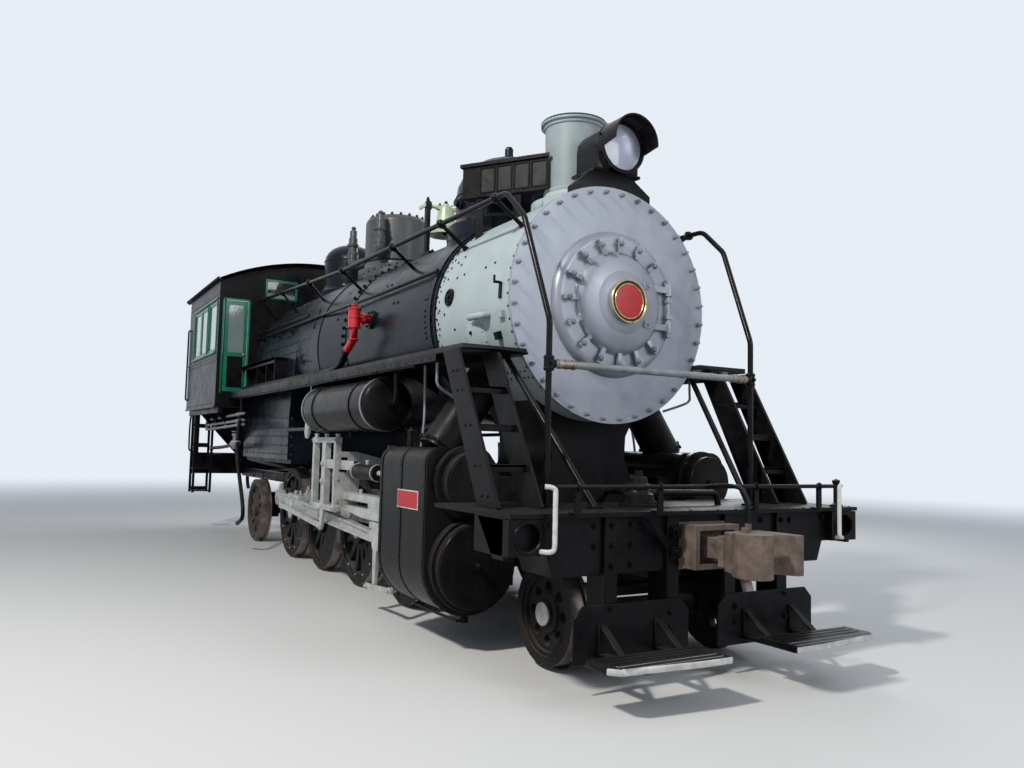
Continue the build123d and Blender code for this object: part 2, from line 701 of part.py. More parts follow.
def valve_gear(deg):
    """Union link, combination lever, radius rod, link and eccentric rod, on the left side."""
    wx = wrist(RIGHT_CRANK_DEG)[0]
    lever_foot = (wx + 520, 235)
    lever_top = (wx + 300, 1225)
    lever = beam(lever_top, lever_foot, [(-45, 30), (60, 34), (900, 26), (1030, 30)], LEVER_Y)
    union = beam((wx, ARM_FOOT), lever_foot, [(-38, 26), (30, 20), (490, 20), (560, 26)], UNION_Y)
    union_pins = [across(16, (LEVER_Y[0], UNION_Y[1]), wx, ARM_FOOT), across(16, LEVER_Y[:1] + UNION_Y[1:], *lever_foot)]
    stem = drum(24, (STEM_X[1] - 10, CYL_REAR - GLAND_REACH - SEAT_GAP), CHEST_Y, CHEST_Z)
    slide = drum(STEM_R, STEM_X, CHEST_Y, CHEST_Z)
    radius = block((LINK_X[1] - 500, STEM_X[0] + 20), (CHEST_Y, 1160), (1195, 1285))
    boss = block((lever_top[0] - 50, lever_top[0] + 50), (CHEST_Y - 40, LEVER_Y[1]), (1160, 1290))
    bars = []
    for x0, width in ((LINK_X[0], 62), (-3775, 110), (LINK_X[1] - 62, 62)):
        bars.append(block((x0, x0 + width), LINK_Y, (LINK_Z[0], LINK_Z[1] - 40)))
    caps = [block(LINK_X, (LINK_Y[0] - 6, LINK_Y[1] + 6), (z, z + 55)) for z in (LINK_Z[0], LINK_Z[1] - 55)]
    foot = beam((-3720, 800), (-3760, 590), [(0, 50), (210, 34)], (1147, 1177))
    rod_end = polar(main_x, DRIVER_R, CRANK_R, RIGHT_CRANK_DEG)
    web_end = polar(rod_end[0], rod_end[1], ECC_CRANK_LENGTH, ECC_CRANK_DEG)
    ecc_y = (1147, 1147 + ECC_ROD_THICK)
    ecc = beam(web_end, (-3760, 590), [(-48, 34), (40, 42), (120, 26), (1420, 26), (1600, 34)], ecc_y)
    return join(lever, union, *union_pins, stem, slide, boss), join(*bars, *caps, foot, ecc, radius)


front_gear, rear_gear = valve_gear(RIGHT_CRANK_DEG)
node("valve_gear", *both(front_gear), *both(rear_gear))


# Smokebox, its front and door

plate_back = FRONT_PLATE_X - FRONT_PLATE_THICK


def smokebox():
    """Rolled shell, open at both ends and under the stack."""
    shell = drum(SMOKEBOX_R, (SMOKEBOX_REAR, plate_back), 0, BOILER_Z)
    shell -= drum(SMOKEBOX_R - SHELL, (SMOKEBOX_REAR - 1, plate_back + 1), 0, BOILER_Z)
    hole = upright(STACK_HOLE_R, (BOILER_Z + 500, BOILER_Z + 1000), STACK_X, 0)
    return shell - hole


def smokebox_front():
    """Cast front with the raised ring round the door's hole."""
    front = FRONT_PLATE_X
    rise = front + DOOR_RING_RISE
    width = DOOR_RING_R - DOOR_RING_TOP_R
    rounding = [(front + DOOR_RING_RISE * sin(radians(d)), DOOR_RING_TOP_R + width * cos(radians(d)))
                for d in range(0, 91, 15)]
    profile = [
        (plate_back, FRONT_PLATE_R), (front, FRONT_PLATE_R), *rounding, (rise, DOOR_HOLE_R), (rise - SHELL, DOOR_HOLE_R), (rise - SHELL, DOOR_RING_TOP_R - 12),
        (plate_back, DOOR_RING_R - 16),
    ]
    return turned_x(profile, 0, BOILER_Z)


door_x = FRONT_PLATE_X + DOOR_RING_RISE


def smokebox_door():
    """Dished door with its dogs, hinge straps and number plate disc."""
    base = door_x + SEAT_GAP
    dish = [(base + DOOR_THICK + 6 + (DOOR_DISH - DOOR_THICK - 6) * sin(radians(d)), (DOOR_R - 12) * cos(radians(d)))
            for d in range(15, 76, 15)]
    profile = [
        (base, 0), (base, DOOR_R), (base + DOOR_THICK, DOOR_R), (base + DOOR_THICK + 6, DOOR_R - 12),
        *dish, (base + DOOR_DISH + 2, 0),
    ]
    door = turned_x(profile, 0, BOILER_Z)
    plate = drum(DOOR_DISC_R, (base + DOOR_DISH - 6, base + DOOR_DISH + 40), 0, BOILER_Z)
    dogs = []
    for i in range(DOG_COUNT):
        deg = 90 + i * 360 / DOG_COUNT
        y, z = DOG_CIRCLE * cos(radians(deg)), BOILER_Z + DOG_CIRCLE * sin(radians(deg))
        if y > HINGE_Y - 100:
            continue
        clamp = Pos(base + 28, y, z) * Rot(deg, 0, 0) * Box(26, DOG_LENGTH, 34)
        stud = drum(13, (base, base + 84), y + 18 * cos(radians(deg)), z + 18 * sin(radians(deg)))
        dogs += [clamp, stud]
    straps = []
    for dz in (-150, 150):
        straps.append(block((base + 14, base + 44), (200, HINGE_Y), (BOILER_Z + dz - 24, BOILER_Z + dz + 24)))
        straps.append(upright(30, (BOILER_Z + dz - 45, BOILER_Z + dz + 45), base + 34, HINGE_Y))
    door = join(door, plate, *dogs, *straps)
    return door - upright(14.4, (BOILER_Z - 260, BOILER_Z + 260), base + 34, HINGE_Y)


node("smokebox_door", smokebox_door())
hinge_x = door_x + 34.3
hinge_pin = upright(14, (BOILER_Z - 215, BOILER_Z + 215), hinge_x, HINGE_Y)
lugs = [block((FRONT_PLATE_X, hinge_x + 20), (HINGE_Y - 24, HINGE_Y + 24), (BOILER_Z + z, BOILER_Z + z + 30))
        for z in (-80, 50, 197, -227)]
node("smokebox", smokebox())
node("smokebox_front", join(smokebox_front(), hinge_pin, *lugs))


# Boiler barrel and firebox

def barrel_body(extra=0):
    profile = [(BARREL_REAR, 0), (BARREL_REAR, WRAPPER_R + extra), (BARREL_FULL, WRAPPER_R + extra),
               (-3939, BARREL_R + extra),
               (SMOKEBOX_REAR, BARREL_R - 12 + extra), (SMOKEBOX_REAR, 0)]
    return turned_x(profile, 0, BOILER_Z)


barrel = barrel_body()
bands = [turned_x([(x, BARREL_R - 60), (x, r), (x + 60, r), (x + 60, BARREL_R - 60)], 0, BOILER_Z)
         for x, r in ((-1770, BARREL_R + 3), (-3939, BARREL_R + 9))]

JACKET_SHEET = 8
JACKET_SEAM = [(-5200, 1500), (-5200, 2420), (-5740, 2880), (-6100, 3200), (-6500, 3600)]


def jacket(x):
    """Sheet over the boiler between two places, its rear edge slanting up and back."""
    sheet = drum(WRAPPER_R + JACKET_SHEET, x, 0, BOILER_Z) - drum(WRAPPER_R - 1, (x[0] - 1, x[1] + 1), 0, BOILER_Z)
    bare = side_plate(JACKET_SEAM + [(-7000, 3600), (-7000, 1500)], (-1100, 1100))
    return sheet - bare


barrel_whole = join(barrel, *bands, jacket((BARREL_REAR, BARREL_FULL)))
node("boiler", barrel_whole)


def wrapper(r, half, low, x):
    """Round top over sides that spread down to the grate."""
    drop = FIREBOX_SPREAD - BOILER_Z
    seam = atan2(drop, half) + acos(r / hypot(half, drop))
    side = [(half, low), (half, FIREBOX_SPREAD), (r * cos(seam), BOILER_Z + r * sin(seam))]
    return join(drum(r, x, 0, BOILER_Z), end_plate(side + [(-y, z) for y, z in reversed(side)], x))


def firebox():
    """Wrapper over the grate, from the barrel to the backhead, wider at its foot."""
    front = wrapper(WRAPPER_R, FIREBOX_HALF, FIREBOX_LOW, (FIREBOX_REAR, BARREL_REAR))
    back = wrapper(WRAPPER_R - 90, FIREBOX_HALF - 150, FIREBOX_LOW + 100, (BACKHEAD_X, FIREBOX_REAR + 1))
    return join(front, back, jacket((JACKET_SEAM[-1][0], BARREL_REAR)))


firebox_solid = firebox()
node("firebox", firebox_solid)
envelope = join(barrel_whole, firebox_solid, smokebox_body)


# Ash pan

def ash_pan():
    x = (-6780, -5560)
    fore = end_plate([(-430, 960), (430, 960), (430, 1175), (1000, 1185), (1000, FIREBOX_LOW), (-1000, FIREBOX_LOW),
                      (-1000, 1185), (-430, 1175)], (x[0], x[1]))
    aft = end_plate([(-430, 1040), (430, 1040), (1000, 1185), (1000, FIREBOX_LOW), (-1000, FIREBOX_LOW),
                     (-1000, 1185)], (-7900, x[0]))
    return join(fore, aft)


node("ash_pan", ash_pan())


# Stack, domes and fittings on top

skirt = [(STACK_R + 20 + STACK_SKIRT * (1 - cos(radians(d))), STACK_FOOT - STACK_SKIRT_RISE * sin(radians(d)))
         for d in range(0, 91, 15)]
skirt_low = STACK_FOOT - 190
skirt_r = skirt[-1][0]
stack_base = turned([(STACK_BORE_R, STACK_FOOT), *skirt, (skirt_r, skirt_low), (STACK_BORE_R, skirt_low)], (STACK_X, 0, 0))
node("stack_base", stack_base - smokebox_body)
stack = turned([
    (STACK_BORE_R, STACK_FOOT), (STACK_R + 14, STACK_FOOT), (STACK_R + 14, STACK_FOOT + 24), (STACK_R, STACK_FOOT + 40),
    (STACK_R + 12, STACK_TOP - 40), (STACK_RIM_R, STACK_TOP - 30), (STACK_RIM_R, STACK_TOP), (STACK_BORE_R, STACK_TOP),
], (STACK_X, 0, 0))
node("stack", stack)

DOMES = {
    # name: x, radius, seat height, top of the wall, top, flat crown radius
    "sand_dome": (-2040, 500, 3497, 3800, 4200, 60),
    "steam_dome": (-4780, 398, 3557, 4150, 4235, 300),
    "rear_dome": (-6500, 365, 3557, 4000, 4250, 30),
}
DOME_FLARE = 75
DOME_FLARE_RISE = 95
DOME_ROOT = 330


def dome(x, r, seat, wall, top, crown):
    """Flared skirt, straight wall and rounded top, seated on the boiler."""
    flare = [(r + DOME_FLARE * (1 - sin(radians(d))), seat + DOME_FLARE_RISE * (1 - cos(radians(d))))
             for d in range(0, 91, 18)]
    cap = [(crown + (r - crown) * cos(radians(d)), wall + (top - wall) * sin(radians(d))) for d in range(0, 91, 15)]
    return turned([(0, seat - DOME_ROOT), (r + DOME_FLARE, seat - DOME_ROOT), *flare, *cap, (0, top)], (x, 0, 0))


dome_solids = {name: dome(*row) - envelope for name, row in DOMES.items()}

FINIAL = (84, 42, 4216, 4336)
sand_x, sand_top = DOMES["sand_dome"][0], DOMES["sand_dome"][4]
wide, slim, finial_foot, finial_top = FINIAL
finial = turned([(0, sand_top - 10), (wide, sand_top - 10), (wide, finial_foot), (slim + 6, finial_foot + 16),
                 (slim, finial_foot + 40), (slim, finial_top - 20), (slim - 14, finial_top), (0, finial_top)], (sand_x, 0, 0))
node("sand_dome", join(dome_solids["sand_dome"], finial))

# Number boxes, angled beside the stack

BOX_FRONT = (-910, -270)
BOX_REAR = (-1580, -720)
BOX_Z = (3590, 3885)
BOX_DEPTH = 110
BOX_ROOF = 24
BOX_PANELS = 5
box_length = hypot(BOX_REAR[0] - BOX_FRONT[0], BOX_REAR[1] - BOX_FRONT[1])
box_u = ((BOX_REAR[0] - BOX_FRONT[0]) / box_length, (BOX_REAR[1] - BOX_FRONT[1]) / box_length)
box_n = (-box_u[1], box_u[0])


def box_point(along, out):
    """A place on the right box, from its front corner along its face and out of it."""
    return (BOX_FRONT[0] + box_u[0] * along + box_n[0] * out, BOX_FRONT[1] + box_u[1] * along + box_n[1] * out)


def flat_plate(points, z):
    """An outline of (x, y) points, as thick as the two heights leave."""
    outline = Wire.make_polygon([Vector(x, y, z[0]) for x, y in points])
    return Solid.extrude(Face(outline), Vector(0, 0, z[1] - z[0]))


def number_box():
    """The right box: five panels under a roof that overhangs, on two legs."""
    front = (BOX_FRONT[0] - 300, BOX_FRONT[1])
    body = flat_plate([BOX_FRONT, box_point(box_length, 0), box_point(box_length, -BOX_DEPTH), front], BOX_Z)
    over = 20
    roof = flat_plate([box_point(-over, over), box_point(box_length + over, over), box_point(box_length + over, -BOX_DEPTH),
                       (front[0], front[1] + 8), (BOX_FRONT[0], BOX_FRONT[1] + 8)],
                      (BOX_Z[1] - BOX_ROOF, BOX_Z[1] + 6))
    panel = box_length / BOX_PANELS
    cuts = []
    for i in range(BOX_PANELS - 1):
        a, b = i * panel + 14, (i + 1) * panel - 14
        cuts.append(flat_plate([box_point(a, -8), box_point(b, -8), box_point(b, 5), box_point(a, 5)],
                               (BOX_Z[0] + 28, BOX_Z[1] - BOX_ROOF - 16)))
    legs = []
    for along in (box_length * 0.36, box_length * 0.8):
        a, b = box_point(along - 35, -20), box_point(along + 35, -20)
        c, d = box_point(along + 35, -36), box_point(along - 35, -36)
        legs.append(flat_plate([a, b, c, d], (BOX_Z[0] - 420, BOX_Z[0] + 2)))
    return join(body, roof, *legs) - join(*cuts) - envelope - dome(*DOMES["sand_dome"])


node("number_board", *both(number_box()))
node("steam_dome", dome_solids["steam_dome"])
node("rear_dome", dome_solids["rear_dome"])

VALVES = [
    # x, y, foot, top
    (-4410, -380, 3860, 4200),
    (-5345, -380, 3840, 4210),
]
VALVE_R = 56
VALVE_ELBOW_R = 62
VALVE_ELBOW_Z = 3720


def safety_valve(x, y, foot, top):
    """Stepped body on an elbow that comes from the dome's side."""
    height = top - foot
    body = turned([
        (0, -40), (VALVE_R + 12, -40), (VALVE_R + 12, 30), (VALVE_R, 36), (VALVE_R, height * 0.3), (VALVE_R + 14, height * 0.32),
        (VALVE_R + 14, height * 0.42), (VALVE_R, height * 0.44), (VALVE_R, height * 0.62), (VALVE_R - 10, height * 0.64),
        (VALVE_R - 10, height * 0.88), (18, height * 0.92), (18, height), (0, height),
    ], (x, y, foot))
    steam_x = DOMES["steam_dome"][0]
    elbow = pipe([(steam_x, y / 2, VALVE_ELBOW_Z), (x, y, VALVE_ELBOW_Z), (x, y, foot - 30)], VALVE_ELBOW_R, 66)
    return join(body, elbow) - envelope - dome(*DOMES["steam_dome"])


node("safety_valves", *[safety_valve(*row) for row in VALVES])

# Bell and its stand

BELL_X = -3420
BELL_PIVOT_Z = 4050
BELL_R = 185
BELL_HEIGHT = 290
bell_profile = [
    (0, 60), (40, 60), (44, 36), (78, 34), (86, 10), (94, -60), (108, -160), (132, -225), (BELL_R, -BELL_HEIGHT),
    (BELL_R - 14, -BELL_HEIGHT), (112, -215), (92, -150), (78, -60), (0, -30),
]
bell = turned(bell_profile, (BELL_X, 0, BELL_PIVOT_Z))
bell_shaft = across(18, (-262, 225), BELL_X, BELL_PIVOT_Z + 12)
bell_yoke = block((BELL_X - 26, BELL_X + 26), (-112, 112), (BELL_PIVOT_Z - 10, BELL_PIVOT_Z + 34))
bell_crank = block((BELL_X - 140, BELL_X + 22), (-262, -246), (BELL_PIVOT_Z - 6, BELL_PIVOT_Z + 30))
node("bell", join(bell, bell_shaft, bell_yoke, bell_crank))
posts = []
for s in (1, -1):
    posts.append(block((BELL_X - 35, BELL_X + 35), pair(s * 200, s * 240), (3480, BELL_PIVOT_Z + 60)))
    posts.append(block((BELL_X - 30, BELL_X + 30), pair(s * 185, s * 202), (BELL_PIVOT_Z - 30, BELL_PIVOT_Z + 50)))
bell_base = block((BELL_X - 110, BELL_X + 110), (-240, 240), (3450, 3545))
stand = join(*posts, bell_base) - envelope - across(18 + RUNNING_PLAY, (-300, 300), BELL_X, BELL_PIVOT_Z + 12)
node("bell_stand", stand)

# Headlight

LAMP_Z = 3800
LAMP_R = 196
LAMP_FACE = -250
LAMP_BACK = -610
LAMP_FOOT = 3620
VISOR_FRONT = -80
SHEET = 12

lamp_case = join(
    drum(LAMP_R - 6, (LAMP_BACK, LAMP_FACE - 60), 0, LAMP_Z),
    block((LAMP_BACK, LAMP_FACE - 60), (6 - LAMP_R, LAMP_R - 6), (LAMP_FOOT, LAMP_Z)),
)
lamp_ring = drum(LAMP_R + SHEET, (LAMP_FACE - 62, LAMP_FACE), 0, LAMP_Z) - drum(LAMP_R - 14, (LAMP_FACE - 30, LAMP_FACE + 1), 0, LAMP_Z)
visor = drum(LAMP_R + SHEET, (LAMP_FACE - 20, VISOR_FRONT), 0, LAMP_Z) - drum(LAMP_R, (LAMP_FACE - 30, VISOR_FRONT + 1), 0, LAMP_Z)
visor -= side_plate([(LAMP_FACE - 31, LAMP_Z - 300), (LAMP_FACE - 31, LAMP_Z - 40), (VISOR_FRONT + 10, LAMP_Z - 10),
                     (VISOR_FRONT + 10, LAMP_Z - 300)], (-300, 300))
lamp_shelf = block((LAMP_BACK - 20, LAMP_FACE - 70), (-225, 225), (LAMP_FOOT - 20, LAMP_FOOT + 1))
seat_arch = end_plate([(-385, 3380), (-385, 3465), (-215, LAMP_FOOT - 10), (215, LAMP_FOOT - 10), (385, 3500), (385, 3380)],
                      (plate_back - 60, plate_back - 12))
seat_rear = end_plate([(-200, 3380), (-200, LAMP_FOOT - 10), (200, LAMP_FOOT - 10), (200, 3380)], (LAMP_BACK + 20, LAMP_BACK + 40))
lamp = join(lamp_case, lamp_ring, visor, lamp_shelf, seat_arch, seat_rear) - smokebox_body
node("headlight", lamp - turned([(0, 3300), (skirt_r + 6, 3300), (skirt_r + 6, STACK_FOOT + 20), (0, STACK_FOOT + 20)], (STACK_X, 0, 0)))

# Pilot beam, deck and footboards

beam_outline = [(-BEAM_HALF, 820), (-BEAM_HALF, DECK_TOP - DECK_THICK), (BEAM_HALF, DECK_TOP - DECK_THICK), (BEAM_HALF, 820),
                (1200, 820), (1150, BEAM_LOW), (-1150, BEAM_LOW), (-1200, 820)]
pilot = end_plate(beam_outline, (BEAM_BACK + 60, BEAM_FRONT))
pockets = []
for s in (1, -1):
    casting = block((BEAM_FRONT, BEAM_FRONT + 60), pair(s * 1235, s * BEAM_HALF), (825, 1035))
    casting -= drum(82, (BEAM_FRONT - 10, BEAM_FRONT + 70), s * 1366, 930)
    pockets.append(casting)
STRAPS = (1060, 800, 400)
straps = []
for s in (1, -1):
    for y in STRAPS[1:]:
        straps.append(block((BEAM_FRONT, BEAM_FRONT + 30), pair(s * (y - 36), s * (y + 36)), (480, DECK_TOP - DECK_THICK)))
guards = []
for s in (1, -1):
    guard = end_plate([(s * 70, 170), (s * 1000, 170), (s * 1000, 440), (s * 930, 510), (s * 140, 510), (s * 70, 440)],
                      (BEAM_FRONT + 30, BEAM_FRONT + 46))
    guards.append(guard)
    for y in (820, 380):
        guards.append(block((BEAM_FRONT + 20, 915), pair(s * (y - 35), s * (y + 35)), (205, 228)))
        guards.append(block((BEAM_FRONT + 16, BEAM_FRONT + 30), pair(s * (y - 35), s * (y + 35)), (205, 490)))
treads = [block((905, 1130), pair(s * 270, s * 1130), (228, 266)) for s in (1, -1)]
treads += [block((BEAM_FRONT + 250, 1100), pair(s * (y - 35), s * (y + 35)), (205, 228)) for s in (1, -1) for y in (820, 380)]
node("pilot_beam", join(pilot, *pockets, *straps, *guards, *treads))
deck = block((DECK_REAR, DECK_FRONT), (-DECK_HALF, DECK_HALF), (DECK_TOP - DECK_THICK, DECK_TOP))
deck -= block((DECK_REAR - 1, -180), (-700, 700), (DECK_TOP - 60, DECK_TOP + 10))
node("pilot_deck", deck)

COUPLER_Z = (722, 962)
coupler_box = block((BEAM_FRONT, 790), (-190, 190), (700, 980)) - block((700, 800), (-150, 150), (735, 945))
coupler_flange = block((BEAM_FRONT, BEAM_FRONT + 24), (-265, 265), (690, 990))
shank = block((690, 1010), (-80, 80), (775, 905))
collar = block((960, 1010), (-165, 150), (745, 935))
head = flat_plate([(1000, -150), (1000, 150), (1120, 172), (1330, 176), (1330, 120), (1225, 62), (1180, 20), (1165, -40),
                   (1190, -110), (1110, -195)], COUPLER_Z)
knuckle = flat_plate([(1110, -195), (1185, -228), (1270, -216), (1322, -168), (FRONT_END, -96), (1300, -46), (1262, -62),
                      (1225, -104), (1150, -80)], (COUPLER_Z[0] - 14, COUPLER_Z[1] + 8))
knuckle_pin = upright(24, (COUPLER_Z[0] - 40, COUPLER_Z[1] + 40), 1180, -160)
lift = upright(20, (COUPLER_Z[1] - 10, COUPLER_Z[1] + 55), 1090, -40)
node("front_coupler", join(coupler_box, coupler_flange, shank, collar, head, knuckle, knuckle_pin, lift))

# Outside steam pipes

STEAM_X = -1060
STEAM_FOOT_Y = 1130
STEAM_TOP_Y = 585
STEAM_R = 158
steam = []
for s in (1, -1):
    steam.append(stick((STEAM_X, s * STEAM_FOOT_Y, CHEST_TOP - 30), (STEAM_X, s * STEAM_TOP_Y, 2180), STEAM_R))
steam = [piece - envelope - cylinder - right(cylinder) for piece in steam]
node("steam_pipes", *steam)

# Air reservoirs

TANK_Y = 1185
TANK_Z = 1800
TANK_R = 232
hanger_top = BOARD_TOP - BOARD_THICK - SEAT_GAP
tanks = []
for s in (1, -1):
    tank = turned_x([(-3800, 0), (-3800, 190), (-3770, TANK_R), (-2010, TANK_R), (-1980, 190), (-1980, 0)],
                    s * TANK_Y, TANK_Z)
    hangers = []
    for x in (-2350, -3430):
        hangers.append(drum(TANK_R + 9, (x - 22, x + 22), s * TANK_Y, TANK_Z))
        hangers.append(block((x - 22, x + 22), pair(s * (TANK_Y - 9), s * (TANK_Y + 9)), (TANK_Z + TANK_R - 10, hanger_top)))
        hangers.append(block((x - 22, x + 22), pair(s * (TANK_Y - 45), s * (TANK_Y + 45)), (hanger_top - 8, hanger_top)))
    tanks.append(join(tank, *hangers))
node("air_reservoirs", *tanks)

# Running boards

BRACKETS = (-800, -2000, -3050, -4100, -5200, -6600)
boards_made = []
for s in (1, -1):
    main_board = block((CAB_FRONT, BOARD_FRONT), pair(s * 700, s * BOARD_OUT), (BOARD_TOP - BOARD_THICK, BOARD_TOP))
    shelf = block((CAB_FRONT + 6, SHELF_FRONT), pair(s * 700, s * SHELF_OUT), (SHELF_TOP - BOARD_THICK, SHELF_TOP))
    edge = block((CAB_FRONT + 6, BOARD_FRONT - 500), pair(s * (BOARD_OUT - 8), s * BOARD_OUT), (BOARD_TOP - 90, BOARD_TOP))
    brackets = []
    for x in BRACKETS:
        outline = [(s * 700, 1900), (s * 700, BOARD_TOP - BOARD_THICK), (s * (BOARD_OUT - 8), BOARD_TOP - BOARD_THICK),
                   (s * (BOARD_OUT - 40), BOARD_TOP - 90), (s * 930, 2030)]
        brackets.append(end_plate(outline, (x, x + 16)))
    whole = join(main_board, edge, *brackets) - envelope
    whole -= drum(FRONT_PLATE_R + 2, (FRONT_PLATE_X - FRONT_PLATE_THICK - 1, 100), 0, BOILER_Z)
    boards_made += [whole, shelf - envelope]
boards_made = [piece - steam[0] - steam[1] for piece in boards_made]
node("running_boards", *boards_made)

# Ladders and stays

ladders = []
for s in (1, -1):
    parts = []
    for y in (1054, 1367):
        outline = [(-640, BOARD_TOP - BOARD_THICK), (-500, BOARD_TOP - BOARD_THICK), (395, DECK_TOP), (255, DECK_TOP)]
        parts.append(side_plate(outline, pair(s * (y - 6), s * (y + 6))))
    for t in (0.25, 0.5, 0.75):
        x = -570 + t * 895
        z = BOARD_TOP - BOARD_THICK - t * (BOARD_TOP - BOARD_THICK - DECK_TOP)
        parts.append(block((x - 55, x + 55), pair(s * 1050, s * 1371), (z - 8, z + 8)))
    ladders.append(join(*parts))
node("front_ladders", *ladders)

stays = []
for s in (1, -1):
    rod = stick((-470, s * 880, 2110), (395, s * 690, DECK_TOP + 4), 22)
    foot = block((360, 430), pair(s * 650, s * 730), (DECK_TOP, DECK_TOP + 14))
    stays.append(join(rod, foot) - envelope - drum(FRONT_PLATE_R, (FRONT_PLATE_X - FRONT_PLATE_THICK, FRONT_PLATE_X), 0, BOILER_Z)
                 - boards_made[0] - boards_made[2] - deck)
node("smokebox_stays", *stays)

# Handrails

RAIL_R = 21
RAIL_Y = 955
RAIL_BREAK = (-4010, 3350)
RAIL_FRONT = (-390, 3300)
RAIL_REAR = (CAB_FRONT, 3541)
POST_X = 180
POST_Y = 926
STANCHIONS = (-560, -1500, -2570, -4010, -5250, -6500, -7500)


def rail_z(x):
    """Height of the handrail over a place along the engine."""
    ahead, behind = (RAIL_FRONT, RAIL_BREAK) if x > RAIL_BREAK[0] else (RAIL_BREAK, RAIL_REAR)
    return ahead[1] + (behind[1] - ahead[1]) * (x - ahead[0]) / (behind[0] - ahead[0])


rails = []
for s in (1, -1):
    rail = pipe(
        [(POST_X, s * POST_Y, DECK_TOP), (POST_X, s * POST_Y, 2300), (-140, s * 950, 3075),
         (RAIL_FRONT[0], s * RAIL_Y, RAIL_FRONT[1]), (RAIL_BREAK[0], s * RAIL_Y, RAIL_BREAK[1]),
         (RAIL_REAR[0] + 4, s * RAIL_Y, RAIL_REAR[1])], RAIL_R, 150)
    parts = [rail]
    for x in STANCHIONS:
        parts.append(stick((x, s * RAIL_Y, rail_z(x)), (x, s * 560, 3020), 17))
        parts.append(across(34, pair(s * (RAIL_Y - 25), s * (RAIL_Y + 25)), x, rail_z(x)))
    parts.append(upright(34, (1960, 2060), POST_X, s * POST_Y))
    parts.append(across(30, pair(s * 880, s * POST_Y), POST_X, 2009))
    parts.append(upright(45, (DECK_TOP, DECK_TOP + 14), POST_X, s * POST_Y))
    rails.append(join(*parts) - envelope)
node("handrails", *rails)
node("front_cross_bar", across(25, (-880, 880), POST_X, 2009))

# Check valves

check = []
for s in (1, -1):
    body = [
        stick((-3130, s * 900, 2700), (-3130, s * 1080, 2700), 45),
        upright(62, (2600, 2790), -3130, s * 1110),
        upright(24, (2790, 2850), -3130, s * 1110),
        upright(38, (2480, 2600), -3130, s * 1110),
        stick((-3130, s * 1110, 2490), (-3300, s * 1110, 2400), 40),
    ]
    check.append(join(*body) - envelope)
node("check_valves", *check)

# Air pump, on the left side

pump_bracket = block((-2600, -2400), (800, 1080), (2380, 2700))
pump_top = join(upright(165, (2310, 2800), -2500, 1215), upright(185, (2770, 2830), -2500, 1215), upright(185, (2290, 2330), -2500, 1215),
                pump_bracket, upright(60, (BOARD_TOP, 2300), -2500, 1215))
node("air_pump", pump_top - envelope)

# Cab

roof_r = ((CAB_HALF + ROOF_OVER) ** 2 + (CAB_CROWN - CAB_EAVES) ** 2) / (2 * (CAB_CROWN - CAB_EAVES))
roof_z = CAB_CROWN - roof_r


def roof_body(r, x, low):
    body = drum(r, x, 0, roof_z)
    return body & block(x, (-CAB_HALF - ROOF_OVER, CAB_HALF + ROOF_OVER), (low, CAB_CROWN + 50))


under_roof = roof_body(roof_r - ROOF_THICK, (CAB_REAR, CAB_FRONT), CAB_FLOOR)
roof = roof_body(roof_r, (ROOF_REAR, ROOF_FRONT), CAB_EAVES) - drum(roof_r - ROOF_THICK, (ROOF_REAR - 1, ROOF_FRONT + 1), 0, roof_z)
node("cab_roof", roof)

WINDOWS = [
    # x low, x high, z low, z high of each side window
    (-8520, -7930, 2760, 3510),
    (-9720, -8640, 2760, 3510),
]
shell = block((CAB_REAR, CAB_FRONT), (-CAB_HALF, CAB_HALF), (CAB_FLOOR, CAB_CROWN)) & under_roof
inside = block((CAB_REAR - 1, CAB_FRONT - CAB_WALL), (-CAB_HALF + CAB_WALL, CAB_HALF - CAB_WALL), (CAB_FLOOR - 1, CAB_CROWN))
walls = shell - inside
for x0, x1, z0, z1 in WINDOWS:
    walls -= block((x0, x1), (-CAB_HALF - 1, CAB_HALF + 1), (z0, z1))
for s in (1, -1):
    walls -= block((CAB_FRONT - CAB_WALL - 1, CAB_FRONT + 1), pair(s * DOOR_IN, s * DOOR_OUT), (DOOR_LOW, DOOR_TOP))
walls -= block((CAB_FRONT - CAB_WALL - 1, CAB_FRONT + 1), (-840, -420), (3620, 3860))
walls -= block((CAB_FRONT - CAB_WALL - 1, CAB_FRONT + 1), (420, 840), (3620, 3860))
walls -= envelope
CAB_DOOR_GAP = 8
CAB_HINGE_X = CAB_FRONT - CAB_WALL - 2
CAB_HINGE_Y = DOOR_OUT - 20
CAB_PIN_R = 6
leaf_z = (DOOR_LOW + CAB_DOOR_GAP, DOOR_TOP - CAB_DOOR_GAP)
door_pins = []
for s in (1, -1):
    door_pins.append(upright(CAB_PIN_R, (leaf_z[0] - 10, leaf_z[1] + 10), CAB_HINGE_X, s * CAB_HINGE_Y))
    for z in (leaf_z[0] - 15, leaf_z[1] + 1):
        lug_y = pair(s * (CAB_HINGE_Y - 12), s * (DOOR_OUT + 14))
        door_pins.append(block((CAB_HINGE_X - 12, CAB_HINGE_X + 4), lug_y, (z, z + 14)))
node("cab_walls", join(walls, *door_pins))
floor = block((CAB_REAR, CAB_FRONT - CAB_WALL), (-CAB_HALF + CAB_WALL, CAB_HALF - CAB_WALL), (CAB_FLOOR, CAB_FLOOR + 50)) - envelope
node("cab_floor", floor)

